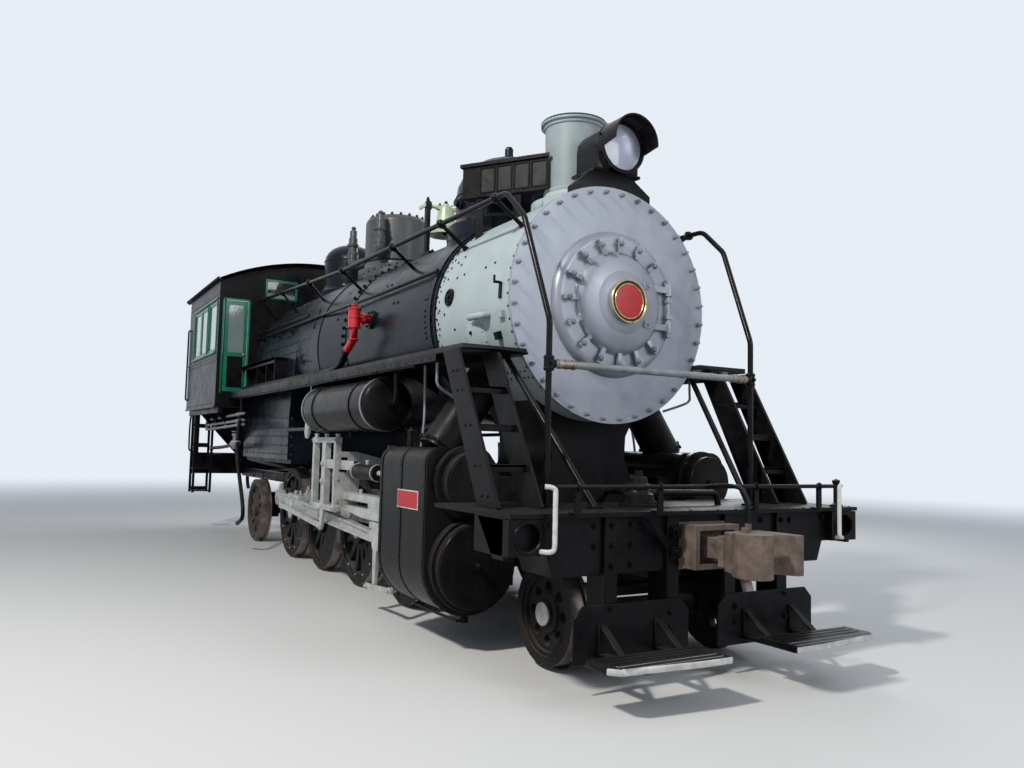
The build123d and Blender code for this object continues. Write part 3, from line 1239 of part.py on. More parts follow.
FRAME_WIDTH = 45
sashes = []
for s in (1, -1):
    for x0, x1, z0, z1 in WINDOWS:
        count = 1 if x1 - x0 < 700 else 2
        outer = block((x0, x1), pair(s * (CAB_HALF - CAB_WALL + 2), s * (CAB_HALF - 2)), (z0, z1))
        width = (x1 - x0) / count
        for i in range(count):
            outer -= block((x0 + i * width + FRAME_WIDTH, x0 + (i + 1) * width - FRAME_WIDTH), pair(s * (CAB_HALF - 120), s * (CAB_HALF + 80)),
                           (z0 + FRAME_WIDTH, z1 - FRAME_WIDTH))
        sashes.append(outer)
node("window_frames", *sashes)

for name, s in (("left", 1), ("right", -1)):
    y = (DOOR_IN + CAB_DOOR_GAP, DOOR_OUT - CAB_DOOR_GAP - 14)
    z = leaf_z
    leaf = block((CAB_FRONT - CAB_WALL, CAB_FRONT - 2), pair(s * y[0], s * y[1]), z)
    leaf -= block((CAB_FRONT - 60, CAB_FRONT + 60), pair(s * (y[0] + 48), s * (y[1] - 48)), (2750, z[1] - 60))
    leaf -= block((CAB_FRONT - 12, CAB_FRONT + 60), pair(s * (y[0] + 48), s * (y[1] - 48)), (z[0] + 60, 2690))
    knuckle = upright(11, z, CAB_HINGE_X, s * CAB_HINGE_Y)
    hole = upright(CAB_PIN_R + RUNNING_PLAY, (z[0] - 20, z[1] + 20), CAB_HINGE_X, s * CAB_HINGE_Y)
    node(f"cab_door_{name}", join(leaf, knuckle) - hole)

# Backhead fittings and seats

fittings = []
fire_door = drum(230, (BACKHEAD_X - 60, BACKHEAD_X), 0, 2420)
gauge_glass = upright(26, (2900, 3200), BACKHEAD_X - 60, -300)
gauge_feet = [block((BACKHEAD_X - 70, BACKHEAD_X), (-330, -270), (z, z + 40)) for z in (2890, 3170)]
throttle = join(drum(60, (BACKHEAD_X - 120, BACKHEAD_X), 0, 3180), stick((BACKHEAD_X - 100, 0, 3180), (BACKHEAD_X - 160, -560, 3080), 18))
gauges = [join(drum(85, (BACKHEAD_X - 70, BACKHEAD_X - 20), y, 3330), drum(20, (BACKHEAD_X - 30, BACKHEAD_X), y, 3330)) for y in (170, -170)]
turret_pipe = across(38, (-420, 420), BACKHEAD_X - 38 - SEAT_GAP, 2760)
node("backhead_fittings", fire_door, join(gauge_glass, *gauge_feet), throttle, *gauges, turret_pipe)
seats = []
SEAT_OUT = CAB_HALF - CAB_WALL - 50
SEAT_IN = SEAT_OUT - 540
for s in (1, -1):
    seats.append(join(block((-9700, -9150), pair(s * SEAT_IN, s * SEAT_OUT), (CAB_FLOOR + 50, 2480)),
                      block((-9700, -9150), pair(s * SEAT_IN, s * SEAT_OUT), (2480, 2550)),
                      block((-9720, -9660), pair(s * SEAT_IN, s * SEAT_OUT), (2480, 2900))))
node("cab_seats", *seats)

# Rear beam and drawbar

rear_beam = block((CAB_REAR, BAR_REAR), (120 - CAB_HALF, CAB_HALF - 120), (900, 1250))
drawbar = block((REAR_END, CAB_REAR + 4), (-70, 70), (860, 940))
drawbar -= upright(40, (800, 1000), REAR_END + 110, 0)
floor_posts = [block((CAB_REAR + 4, BAR_REAR - 20), pair(s * (CAB_HALF - 220), s * (CAB_HALF - 140)), (1240, CAB_FLOOR)) for s in (1, -1)]
node("rear_beam", join(rear_beam, drawbar, *floor_posts))

# Brake rigging

SHOE_Y = (716, 800)
SHOE_GAP = 7
SHOE_THICK = 49
HANGER_Y = (740, 770)


def brake(x):
    """Shoes behind one pair of wheels, their hangers and the beam between them."""
    ring = across(DRIVER_R + SHOE_GAP + SHOE_THICK, SHOE_Y, x, DRIVER_R)
    ring -= across(DRIVER_R + SHOE_GAP, (SHOE_Y[0] - 16, SHOE_Y[1] + 20), x, DRIVER_R)
    wedge = side_plate([(x, DRIVER_R), (x - 900, DRIVER_R + 60), (x - 900, DRIVER_R - 260)], (SHOE_Y[0] - 16, SHOE_Y[1] + 20))
    foot = x - DRIVER_R - SHOE_GAP - SHOE_THICK
    hanger = side_plate([(foot + 30, DRIVER_R - 134), (foot + 3, DRIVER_R - 134), (foot - 25, 930), (foot + 5, 930)], HANGER_Y)
    hanger_pin = across(16, (FRAME_Y + FRAME_THICK + SEAT_GAP, HANGER_Y[1]), foot - 9, 900)
    beam_bar = block((foot - 10, foot + 20), (-HANGER_Y[0] - 15, HANGER_Y[0] + 15), (DRIVER_R - 134, DRIVER_R - 99))
    return join(*both(join(ring & wedge, hanger, hanger_pin)), beam_bar)


brakes = [brake(x) for x in driver_x]
node("brake_rigging", *brakes)


def build():
    """Writes one file for each sub-part, moved to the engine's own frame."""
    shift = Pos(-(FRONT_END + REAR_END) / 2, 0, FLANGE_DEPTH)
    os.makedirs("parts", exist_ok=True)
    for name, solids in NODES.items():
        export_step(Compound(children=[shift * solid for solid in solids]), f"parts/{name}.step")


build()
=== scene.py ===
import json
from math import cos, pi, radians, sin

import bmesh
import bpy
from mathutils import Matrix, Vector


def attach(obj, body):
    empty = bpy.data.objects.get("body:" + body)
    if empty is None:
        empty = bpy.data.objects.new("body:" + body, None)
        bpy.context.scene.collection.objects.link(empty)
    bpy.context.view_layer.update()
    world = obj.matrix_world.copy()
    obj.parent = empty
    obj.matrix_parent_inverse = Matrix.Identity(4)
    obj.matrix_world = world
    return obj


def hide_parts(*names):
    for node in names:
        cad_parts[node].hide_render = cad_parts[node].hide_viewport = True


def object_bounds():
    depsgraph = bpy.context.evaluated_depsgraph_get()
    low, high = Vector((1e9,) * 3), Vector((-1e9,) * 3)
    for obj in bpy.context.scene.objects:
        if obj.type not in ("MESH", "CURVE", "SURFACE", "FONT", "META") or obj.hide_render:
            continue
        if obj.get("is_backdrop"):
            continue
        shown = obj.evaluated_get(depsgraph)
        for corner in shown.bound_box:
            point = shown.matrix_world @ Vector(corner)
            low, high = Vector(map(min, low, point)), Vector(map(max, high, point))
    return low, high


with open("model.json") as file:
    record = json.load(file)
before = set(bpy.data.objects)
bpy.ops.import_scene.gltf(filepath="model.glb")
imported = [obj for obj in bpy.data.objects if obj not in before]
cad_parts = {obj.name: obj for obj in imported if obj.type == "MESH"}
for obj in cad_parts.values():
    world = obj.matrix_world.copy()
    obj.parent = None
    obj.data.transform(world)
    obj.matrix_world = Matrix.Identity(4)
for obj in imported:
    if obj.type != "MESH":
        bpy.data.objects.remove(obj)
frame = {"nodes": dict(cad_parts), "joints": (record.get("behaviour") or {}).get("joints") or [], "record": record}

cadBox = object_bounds()
print("frame loaded:", len(frame["nodes"]), "nodes")

# Places along the engine are metres from the leading axle, and heights are metres above the rail.
joints = {joint["name"]: joint for joint in frame["joints"]}
leadX = joints["leading_wheels_turn"]["pos_m"][0]
flangeDepth = 0.026
nodeSlots = {row["node"]: row["material_slot"] for row in frame["record"]["subparts"]}
bodyOf = {node: body for body, members in frame["record"]["behaviour"]["bodies"].items() for node in members}


def at(x, y, z):
    return Vector((leadX + x, y, flangeDepth + z))


# Camera, at the photograph's place and angle

camera = {
    "place": (4.8177, -3.9118, 1.4425),  # solved on the gauge
    "yaw": 30.2743,                      # from straight back towards the left
    "pitch": 4.3845,                     # up
    "roll": 1.3401,
    "lens": 29.44,
    "sensor": 36.0,
}


def makeCamera():
    yaw, pitch, roll = (radians(camera[key]) for key in ("yaw", "pitch", "roll"))
    ahead = Vector((-cos(yaw) * cos(pitch), sin(yaw) * cos(pitch), sin(pitch)))
    level = ahead.cross(Vector((0, 0, 1))).normalized()
    above = level.cross(ahead)
    side = level * cos(roll) + above * sin(roll)
    top = above * cos(roll) - level * sin(roll)
    data = bpy.data.cameras.new("photoView")
    data.lens = camera["lens"]
    data.sensor_width = camera["sensor"]
    data.clip_end = 200
    eye = bpy.data.objects.new("photoView", data)
    turn = Matrix((side, top, -ahead)).transposed()
    eye.matrix_world = Matrix.Translation(at(*camera["place"])) @ turn.to_4x4()
    bpy.context.scene.collection.objects.link(eye)
    bpy.context.scene.camera = eye


makeCamera()

# Floor, world and lamps

studio = {
    "floorColour": (0.60, 0.60, 0.59),
    "floorRough": 0.9,
    "floorSpecular": 0.1,
    "floorSize": 400.0,
    "floorFade": (9.0, 27.0),           # the floor turns into the backdrop between these distances
    "backdrop": (0.80, 0.85, 0.91),
    "skyLight": (0.76, 0.86, 1.0),
    "skyStrength": 0.45,
    "lamps": [
        # name, place, aimed at, size, power, colour
        ("keyLamp", (2.0, -9.0, 9.5), (-2.5, 0.0, 2.0), 0.9, 1350, (1.0, 0.96, 0.9)),
        ("frontLamp", (9.5, 3.5, 6.0), (-1.0, 0.0, 2.0), 4.0, 380, (0.95, 0.97, 1.0)),
        ("farLamp", (-9.0, 8.0, 8.0), (-5.0, 0.0, 2.0), 5.0, 600, (0.95, 0.97, 1.0)),
    ],
}


def makeFloor():
    bm = bmesh.new()
    bmesh.ops.create_grid(bm, x_segments=1, y_segments=1, size=studio["floorSize"] / 2)
    mesh = bpy.data.meshes.new("floor")
    bm.to_mesh(mesh)
    bm.free()
    floor = bpy.data.objects.new("floor", mesh)
    bpy.context.scene.collection.objects.link(floor)
    floor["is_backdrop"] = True
    mat = bpy.data.materials.new("floorPaint")
    mat.use_nodes = True
    shader = mat.node_tree.nodes["Principled BSDF"]
    shader.inputs["Base Color"].default_value = (*studio["floorColour"], 1)
    shader.inputs["Roughness"].default_value = studio["floorRough"]
    shader.inputs["Specular IOR Level"].default_value = studio["floorSpecular"]
    nodes, links = mat.node_tree.nodes, mat.node_tree.links
    far = nodes.new("ShaderNodeVectorMath")
    far.operation = "LENGTH"
    links.new(nodes.new("ShaderNodeTexCoord").outputs["Object"], far.inputs[0])
    fade = nodes.new("ShaderNodeMapRange")
    fade.interpolation_type = "SMOOTHSTEP"
    fade.inputs["From Min"].default_value, fade.inputs["From Max"].default_value = studio["floorFade"]
    links.new(far.outputs["Value"], fade.inputs["Value"])
    glow = nodes.new("ShaderNodeEmission")
    glow.inputs["Color"].default_value = (*studio["backdrop"], 1)
    blend = nodes.new("ShaderNodeMixShader")
    links.new(fade.outputs["Result"], blend.inputs[0])
    links.new(shader.outputs[0], blend.inputs[1])
    links.new(glow.outputs[0], blend.inputs[2])
    links.new(blend.outputs[0], nodes["Material Output"].inputs["Surface"])
    mesh.materials.append(mat)


def makeSky():
    world = bpy.data.worlds.new("studioWorld")
    world.use_nodes = True
    nodes, links = world.node_tree.nodes, world.node_tree.links
    light = nodes["Background"]
    light.inputs["Color"].default_value = (*studio["skyLight"], 1)
    light.inputs["Strength"].default_value = studio["skyStrength"]
    seen = nodes.new("ShaderNodeBackground")
    seen.inputs["Color"].default_value = (*studio["backdrop"], 1)
    path = nodes.new("ShaderNodeLightPath")
    rays = path.outputs["Is Camera Ray"]
    for kind in ("Is Glossy Ray", "Is Transmission Ray"):
        both = nodes.new("ShaderNodeMath")
        both.operation = "MAXIMUM"
        links.new(rays, both.inputs[0])
        links.new(path.outputs[kind], both.inputs[1])
        rays = both.outputs[0]
    mix = nodes.new("ShaderNodeMixShader")
    links.new(rays, mix.inputs[0])
    links.new(light.outputs[0], mix.inputs[1])
    links.new(seen.outputs[0], mix.inputs[2])
    links.new(mix.outputs[0], nodes["World Output"].inputs["Surface"])
    bpy.context.scene.world = world


def makeLamps():
    for name, place, aim, size, power, colour in studio["lamps"]:
        lamp = bpy.data.lights.new(name, "AREA")
        lamp.size = size
        lamp.energy = power
        lamp.color = colour
        holder = bpy.data.objects.new(name, lamp)
        start, end = at(*place), at(*aim)
        turn = (start - end).to_track_quat("Z", "Y").to_matrix().to_4x4()
        holder.matrix_world = Matrix.Translation(start) @ turn
        bpy.context.scene.collection.objects.link(holder)


makeFloor()
makeSky()
makeLamps()
bpy.context.scene.view_settings.view_transform = "Standard"
print("camera and studio set")

# Finishes: weathered paint, castings, worn steel, glass

finishes = {
    # slot: colour, its darker shade, metallic, roughness low and high, coat,
    #       dust on what faces up, streaks of grime, rust spots, grain of the mottling, bump
    "boiler_paint": ((0.007, 0.010, 0.018), (0.004, 0.006, 0.009),
        0.0, 0.20, 0.34, 0.05, 0.03, 0.10, 0.02, 5, 0.05),
    "engine_black": ((0.007, 0.007, 0.008), (0.003, 0.003, 0.004),
        0.0, 0.26, 0.50, 0.0, 0.05, 0.18, 0.05, 7, 0.18),
    "smokebox_grey": ((0.35, 0.41, 0.42), (0.30, 0.355, 0.365),
        0.0, 0.40, 0.60, 0.0, 0.03, 0.06, 0.03, 4, 0.12),
    "silver_paint": ((0.28, 0.295, 0.335), (0.235, 0.25, 0.29),
        0.35, 0.32, 0.50, 0.0, 0.03, 0.12, 0.01, 5, 0.08),
    "rod_grey": ((0.50, 0.51, 0.50), (0.34, 0.35, 0.34),
        0.25, 0.35, 0.62, 0.0, 0.08, 0.35, 0.10, 9, 0.15),
    "wheel_black": ((0.018, 0.017, 0.017), (0.009, 0.008, 0.008),
        0.1, 0.42, 0.70, 0.0, 0.20, 0.35, 0.16, 9, 0.30),
    "trailing_wheel": ((0.065, 0.045, 0.034), (0.030, 0.021, 0.017),
        0.2, 0.45, 0.75, 0.0, 0.20, 0.35, 0.35, 9, 0.35),
    "valve_red": ((0.52, 0.012, 0.014), (0.36, 0.008, 0.010),
        0.0, 0.22, 0.38, 0.3, 0.04, 0.12, 0.0, 8, 0.12),
    "trim_green": ((0.0, 0.16, 0.085), (0.0, 0.10, 0.055),
        0.0, 0.28, 0.46, 0.2, 0.06, 0.18, 0.02, 8, 0.10),
    "cab_paint": ((0.014, 0.019, 0.030), (0.008, 0.011, 0.016),
        0.0, 0.30, 0.46, 0.1, 0.10, 0.20, 0.02, 4, 0.08),
    "roof_black": ((0.010, 0.010, 0.012), (0.006, 0.006, 0.007),
        0.0, 0.45, 0.72, 0.0, 0.16, 0.25, 0.06, 4, 0.20),
    "bell_green": ((0.42, 0.54, 0.38), (0.34, 0.40, 0.24),
        0.1, 0.28, 0.45, 0.2, 0.05, 0.25, 0.04, 8, 0.08),
    "rail_grey": ((0.24, 0.25, 0.27), (0.16, 0.17, 0.18),
        0.1, 0.35, 0.55, 0.0, 0.08, 0.20, 0.04, 10, 0.12),
    "coupler_rust": ((0.17, 0.125, 0.10), (0.075, 0.055, 0.045),
        0.1, 0.60, 0.88, 0.0, 0.15, 0.30, 0.35, 12, 0.60),
    "lamp_black": ((0.006, 0.006, 0.007), (0.003, 0.003, 0.003),
        0.0, 0.20, 0.38, 0.05, 0.04, 0.10, 0.01, 8, 0.10),
    "fitting_brass": ((0.34, 0.22, 0.075), (0.14, 0.09, 0.04),
        0.85, 0.28, 0.52, 0.0, 0.05, 0.25, 0.0, 10, 0.10),
    "seat_leather": ((0.035, 0.022, 0.016), (0.020, 0.013, 0.010),
        0.0, 0.38, 0.58, 0.0, 0.12, 0.10, 0.0, 20, 0.30),
    "floor_wood": ((0.16, 0.11, 0.07), (0.08, 0.055, 0.036),
        0.0, 0.60, 0.85, 0.0, 0.20, 0.30, 0.0, 6, 0.30),
    "stack_grey": ((0.24, 0.28, 0.29), (0.20, 0.235, 0.245),
        0.0, 0.40, 0.60, 0.0, 0.03, 0.08, 0.03, 4, 0.12),
    "dome_grey": ((0.055, 0.060, 0.064), (0.032, 0.034, 0.037),
        0.0, 0.35, 0.55, 0.1, 0.10, 0.20, 0.03, 5, 0.12),
    "tread_steel": ((0.33, 0.29, 0.27), (0.20, 0.15, 0.13),
        0.75, 0.35, 0.60, 0.0, 0.05, 0.20, 0.30, 10, 0.15),
    "white_edge": ((0.62, 0.62, 0.60), (0.42, 0.41, 0.39),
        0.0, 0.45, 0.65, 0.0, 0.05, 0.40, 0.08, 12, 0.15),
    "plate_red": ((0.42, 0.004, 0.008), (0.30, 0.003, 0.006),
        0.0, 0.30, 0.42, 0.0, 0.02, 0.08, 0.0, 20, 0.06),
    "plate_dark": ((0.030, 0.034, 0.030), (0.016, 0.018, 0.016),
        0.0, 0.30, 0.45, 0.2, 0.03, 0.08, 0.0, 20, 0.06),
    # headlight reflector: a real mirror, but its pale lilac colour is a painted reflection of the sky
    "lamp_mirror_painted_reflection": ((0.56, 0.56, 0.66), (0.44, 0.44, 0.54),
        0.35, 0.18, 0.30, 0.0, 0.0, 0.05, 0.0, 6, 0.04),
    "casing_black": ((0.010, 0.010, 0.011), (0.006, 0.006, 0.006),
        0.0, 0.20, 0.40, 0.0, 0.06, 0.60, 0.05, 5, 0.12),
    "plate_rim": ((0.58, 0.42, 0.16), (0.36, 0.26, 0.10),
        0.9, 0.24, 0.40, 0.0, 0.02, 0.12, 0.0, 20, 0.06),
}
wear = {
    "dust": (0.30, 0.27, 0.23), "grime": (0.030, 0.025, 0.020), "rust": (0.16, 0.055, 0.022),
    "cloudScale": 1.1, "streakScale": 2.0, "streakStretch": (2.0, 2.0, 0.35),
    "speckleScale": 3.1, "fineScale": 14,  # times the finish's own grain
    "coatRough": 0.12, "bumpDepth": 0.004,
    "sheen": 0.4, "darkSheen": 0.10, "darkBelow": 0.05,  # dark paint shines less
}


def addNoise(tree, coords, scale, detail, stretch=None):
    if stretch:
        mapping = tree.nodes.new("ShaderNodeMapping")
        mapping.inputs["Scale"].default_value = stretch
        tree.links.new(coords, mapping.inputs["Vector"])
        coords = mapping.outputs["Vector"]
    noise = tree.nodes.new("ShaderNodeTexNoise")
    noise.inputs["Scale"].default_value = scale
    noise.inputs["Detail"].default_value = detail
    noise.inputs["Roughness"].default_value = 0.6
    tree.links.new(coords, noise.inputs["Vector"])
    return noise.outputs["Fac"]


def addRange(tree, value, low, high, toLow, toHigh):
    ranged = tree.nodes.new("ShaderNodeMapRange")
    ranged.inputs["From Min"].default_value = low
    ranged.inputs["From Max"].default_value = high
    ranged.inputs["To Min"].default_value = toLow
    ranged.inputs["To Max"].default_value = toHigh
    tree.links.new(value, ranged.inputs["Value"])
    return ranged.outputs["Result"]


def addMath(tree, kind, first, second):
    node = tree.nodes.new("ShaderNodeMath")
    node.operation = kind
    node.use_clamp = True
    for value, plug in zip((first, second), node.inputs):
        if isinstance(value, float):
            plug.default_value = value
        else:
            tree.links.new(value, plug)
    return node.outputs["Value"]


def addMix(tree, mask, under, over):
    mix = tree.nodes.new("ShaderNodeMix")
    mix.data_type = "RGBA"
    tree.links.new(mask, mix.inputs["Factor"])
    for colour, plug in ((under, mix.inputs["A"]), (over, mix.inputs["B"])):
        if isinstance(colour, tuple):
            plug.default_value = (*colour, 1)
        else:
            tree.links.new(colour, plug)
    return mix.outputs["Result"]


def makeFinish(slot):
    colour, shade, metallic, roughLow, roughHigh, coat, dust, grime, rust, grain, bumps = finishes[slot]
    mat = bpy.data.materials.new(slot)
    mat.use_nodes = True
    tree = mat.node_tree
    shader = tree.nodes["Principled BSDF"]
    coords = tree.nodes.new("ShaderNodeTexCoord").outputs["Object"]
    mottle = addNoise(tree, coords, grain, 6)
    cloud = addNoise(tree, coords, wear["cloudScale"], 3)
    streak = addNoise(tree, coords, wear["streakScale"], 4, stretch=wear["streakStretch"])
    speckle = addNoise(tree, coords, grain * wear["speckleScale"], 8)
    fine = addNoise(tree, coords, grain * wear["fineScale"], 3)
    normal = tree.nodes.new("ShaderNodeNewGeometry").outputs["Normal"]
    split = tree.nodes.new("ShaderNodeSeparateXYZ")
    tree.links.new(normal, split.inputs["Vector"])
    upward = addRange(tree, split.outputs["Z"], 0.25, 1.0, 0.0, 1.0)
    dustMask = addMath(tree, "MULTIPLY", upward, addRange(tree, cloud, 0.30, 0.75, dust * 0.3, dust * 2.2))
    grimeMask = addRange(tree, streak, 0.48, 0.80, 0.0, grime)
    rustMask = addMath(tree, "MULTIPLY", addRange(tree, speckle, 0.60, 0.70, 0.0, 1.0),
                       addRange(tree, cloud, 0.35, 0.70, rust * 0.4, rust * 1.6))
    base = addMix(tree, addRange(tree, mottle, 0.35, 0.65, 0.0, 1.0), shade, colour)
    grimed = addMix(tree, grimeMask, base, wear["grime"])
    rusted = addMix(tree, rustMask, grimed, wear["rust"])
    dusted = addMix(tree, dustMask, rusted, wear["dust"])
    tree.links.new(dusted, shader.inputs["Base Color"])
    worn = addMath(tree, "ADD", dustMask, addMath(tree, "MULTIPLY", rustMask, 0.6))
    plain = addRange(tree, mottle, 0.30, 0.70, roughLow, roughHigh)
    rough = addMath(tree, "ADD", plain, addMath(tree, "MULTIPLY", worn, 0.5))
    tree.links.new(rough, shader.inputs["Roughness"])
    shader.inputs["Metallic"].default_value = metallic
    shader.inputs["Coat Weight"].default_value = coat
    shader.inputs["Coat Roughness"].default_value = wear["coatRough"]
    sheen = wear["darkSheen"] if max(colour) < wear["darkBelow"] else wear["sheen"]
    shader.inputs["Specular IOR Level"].default_value = sheen
    bump = tree.nodes.new("ShaderNodeBump")
    bump.inputs["Strength"].default_value = bumps
    bump.inputs["Distance"].default_value = wear["bumpDepth"]
    height = addMath(tree, "ADD", addMath(tree, "MULTIPLY", fine, 0.4),
                     addMath(tree, "MULTIPLY", speckle, 0.6))
    tree.links.new(height, bump.inputs["Height"])
    tree.links.new(bump.outputs["Normal"], shader.inputs["Normal"])
    return mat


paints = {slot: makeFinish(slot) for slot in finishes}


def makeGlass(name, tint, rough):
    mat = bpy.data.materials.new(name)
    mat.use_nodes = True
    tree = mat.node_tree
    shader = tree.nodes["Principled BSDF"]
    coords = tree.nodes.new("ShaderNodeTexCoord").outputs["Object"]
    smear = addNoise(tree, coords, 5, 4)
    tree.links.new(addRange(tree, smear, 0.3, 0.8, rough, rough + 0.10), shader.inputs["Roughness"])
    shader.inputs["Base Color"].default_value = (*tint, 1)
    shader.inputs["Transmission Weight"].default_value = 0.92
    shader.inputs["IOR"].default_value = 1.48
    return mat


# the side panes' green tint is darkened partly as painted shade of the cab's inside seen through them
paneGlass = makeGlass("paneGlass", (0.52, 0.58, 0.56), 0.02)
# front and door panes: a near-black tint, painted shade standing for the dark inside of the cab
paintedShadeGlass = makeGlass("paintedShadeGlass", (0.16, 0.19, 0.18), 0.03)
lensGlass = makeGlass("lensGlass", (0.88, 0.90, 0.94), 0.08)
print("finishes made:", len(paints) + 3)

# Shapes that the pieces are made of

forward, rearward, leftward, up, down = (1, 0, 0), (-1, 0, 0), (0, 1, 0), (0, 0, 1), (0, 0, -1)

def facing(way):
    return Vector(way).to_track_quat("Z", "Y").to_matrix().to_4x4()


def addBox(bm, low, high):
    low, high = Vector(low), Vector(high)
    spot = Matrix.Translation((low + high) / 2) @ Matrix.Diagonal((*(high - low), 1))
    return bmesh.ops.create_cube(bm, size=1, matrix=spot)["verts"]


def addRod(bm, start, end, radius, sides=14, endRadius=None):
    start, end = Vector(start), Vector(end)
    spot = Matrix.Translation((start + end) / 2) @ facing(end - start)
    tip = radius if endRadius is None else endRadius
    made = bmesh.ops.create_cone(bm, cap_ends=True, segments=sides, radius1=radius, radius2=tip,
                                 depth=(end - start).length, matrix=spot)
    return made["verts"]


def addPart(bm, part):
    mesh = bpy.data.meshes.new("part")
    part.to_mesh(mesh)
    part.free()
    bm.from_mesh(mesh)
    bpy.data.meshes.remove(mesh)


def addTurned(bm, profile, centre, way=up, sides=40):
    part = bmesh.new()  # profile: distance along the axis, radius
    verts = [part.verts.new((radius, 0, along)) for along, radius in profile]
    edges = [part.edges.new(ends) for ends in zip(verts, verts[1:])]
    bmesh.ops.spin(part, geom=verts + edges, cent=(0, 0, 0), axis=up, angle=2 * pi, steps=sides,
                   use_merge=True, use_duplicate=False)
    bmesh.ops.remove_doubles(part, verts=part.verts, dist=1e-6)
    bmesh.ops.recalc_face_normals(part, faces=part.faces)
    bmesh.ops.transform(part, matrix=Matrix.Translation(centre) @ facing(way), verts=part.verts)
    addPart(bm, part)


def makeUnit(name, build):
    bm = bmesh.new()
    build(bm)
    mesh = bpy.data.meshes.new(name)
    bm.to_mesh(mesh)
    bm.free()
    return mesh


def cutAway(bm, place, way):
    cut = bmesh.ops.bisect_plane(bm, geom=bm.verts[:] + bm.edges[:] + bm.faces[:], plane_co=place,
                                 plane_no=way, clear_outer=True)
    rim = [item for item in cut["geom_cut"] if isinstance(item, bmesh.types.BMEdge)]
    bmesh.ops.holes_fill(bm, edges=rim, sides=0)


def roundHead(bm):
    bmesh.ops.create_uvsphere(bm, u_segments=8, v_segments=4, radius=1)
    cutAway(bm, (0, 0, -0.3), down)


def nut(bm):
    addRod(bm, (0, 0, -0.1), (0, 0, 1), 1, 6)
    addRod(bm, (0, 0, 1), (0, 0, 1.35), 0.52, 8)


def nutOnWasher(bm):
    nut(bm)
    addRod(bm, (0, 0, -0.1), (0, 0, 0.18), 1.35, 12)


unitHead = makeUnit("roundHead", roundHead)
unitNut = makeUnit("nut", nut)
unitBolt = makeUnit("nutOnWasher", nutOnWasher)


def stamp(bm, unit, place, out, radius, height):
    mesh = unit.copy()  # one head or nut, added without running an operator on the whole piece
    mesh.transform(Matrix.Translation(place) @ facing(out) @ Matrix.Diagonal((radius, radius, height, 1)))
    bm.from_mesh(mesh)
    bpy.data.meshes.remove(mesh)


def addRivet(bm, place, out, radius, flat=0.62):
    stamp(bm, unitHead, place, out, radius, radius * flat)


def addBolt(bm, place, out, radius, height, washer=True):
    stamp(bm, unitBolt if washer else unitNut, place, out, radius, height)


def around(centre, radius, degrees, way="x"):
    along, across = cos(radians(degrees)), sin(radians(degrees))
    if way == "x":
        return centre + Vector((0, radius * along, radius * across)), Vector((0, along, across))
    if way == "y":
        return centre + Vector((radius * along, 0, radius * across)), Vector((along, 0, across))
    return centre + Vector((radius * along, radius * across, 0)), Vector((along, across, 0))


def finishPiece(bm, name, body, slot, material=None, sharp=38, hides=()):
    bmesh.ops.recalc_face_normals(bm, faces=bm.faces)
    mesh = bpy.data.meshes.new(name)
    bm.to_mesh(mesh)
    bm.free()
    mesh.shade_smooth()
    mesh.set_sharp_from_angle(angle=radians(sharp))
    mesh.materials.append(material or paints[slot])
    piece = bpy.data.objects.new(name, mesh)
    bpy.context.scene.collection.objects.link(piece)
    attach(piece, body)
    if hides:
        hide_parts(*hides)
    return piece


def addPipes(name, routes, radius, body, slot, material=None, bend=3, sides=4):
    data = bpy.data.curves.new(name, "CURVE")  # rigid pipes, each a route of points
    data.dimensions = "3D"
    data.bevel_depth = radius
    data.bevel_resolution = sides
    data.use_fill_caps = True
    data.resolution_u = bend * 4
    for route in routes:
        spline = data.splines.new("NURBS")
        spline.points.add(len(route) - 1)
        for point, place in zip(spline.points, route):
            point.co = (*place, 1)
        spline.order_u = 3
        spline.use_endpoint_u = True
    holder = bpy.data.objects.new(name, data)
    bpy.context.scene.collection.objects.link(holder)
    bpy.context.view_layer.update()
    mesh = bpy.data.meshes.new_from_object(holder)
    bpy.data.objects.remove(holder)
    bpy.data.curves.remove(data)
    bm = bmesh.new()
    bm.from_mesh(mesh)
    bpy.data.meshes.remove(mesh)
    bmesh.ops.remove_doubles(bm, verts=bm.verts, dist=1e-6)
    return finishPiece(bm, name, body, slot, material)


def bothRoutes(*routes):
    return [[at(x, side * y, z) for x, y, z in route] for side in (-1, 1) for route in routes]


def addRow(bm, start, end, count, out, radius, flat=0.62):
    for step in range(count):
        addRivet(bm, Vector(start).lerp(Vector(end), step / max(count - 1, 1)), out, radius, flat)


def addBoltCircle(bm, centre, axis, circle, count, out, radius, height, first=0, washer=False):
    for step in range(count):
        place, _ = around(centre, circle, first + step * 360 / count, axis)
        addBolt(bm, place, out, radius, height, washer)


def addBeam(bm, start, end, width, thick, flat=up):
    start, end = Vector(start), Vector(end)  # a flat bar, its thickness along flat
    along = end - start
    side = Vector(flat).cross(along).normalized()
    out = along.cross(side).normalized()
    turn = Matrix((along, side * width, out * thick)).transposed().to_4x4()
    return bmesh.ops.create_cube(bm, size=1, matrix=Matrix.Translation((start + end) / 2) @ turn)["verts"]


def pushOut(bm, faces, way, thick):
    grown = bmesh.ops.extrude_face_region(bm, geom=faces)["geom"]
    moved = [item for item in grown if isinstance(item, bmesh.types.BMVert)]
    bmesh.ops.translate(bm, verts=moved, vec=Vector(way).normalized() * thick)


def addPlate(bm, outline, way, thick):
    verts = [bm.verts.new(place) for place in outline]  # a flat outline, pushed out by thick along way
    pushOut(bm, [bm.faces.new(verts)], way, thick)


def addRing(bm, centre, way, inner, outer, low, high, sides):
    profile = [(low, inner), (low, outer), (high, outer), (high, inner), (low, inner)]
    addTurned(bm, profile, centre, way, sides)


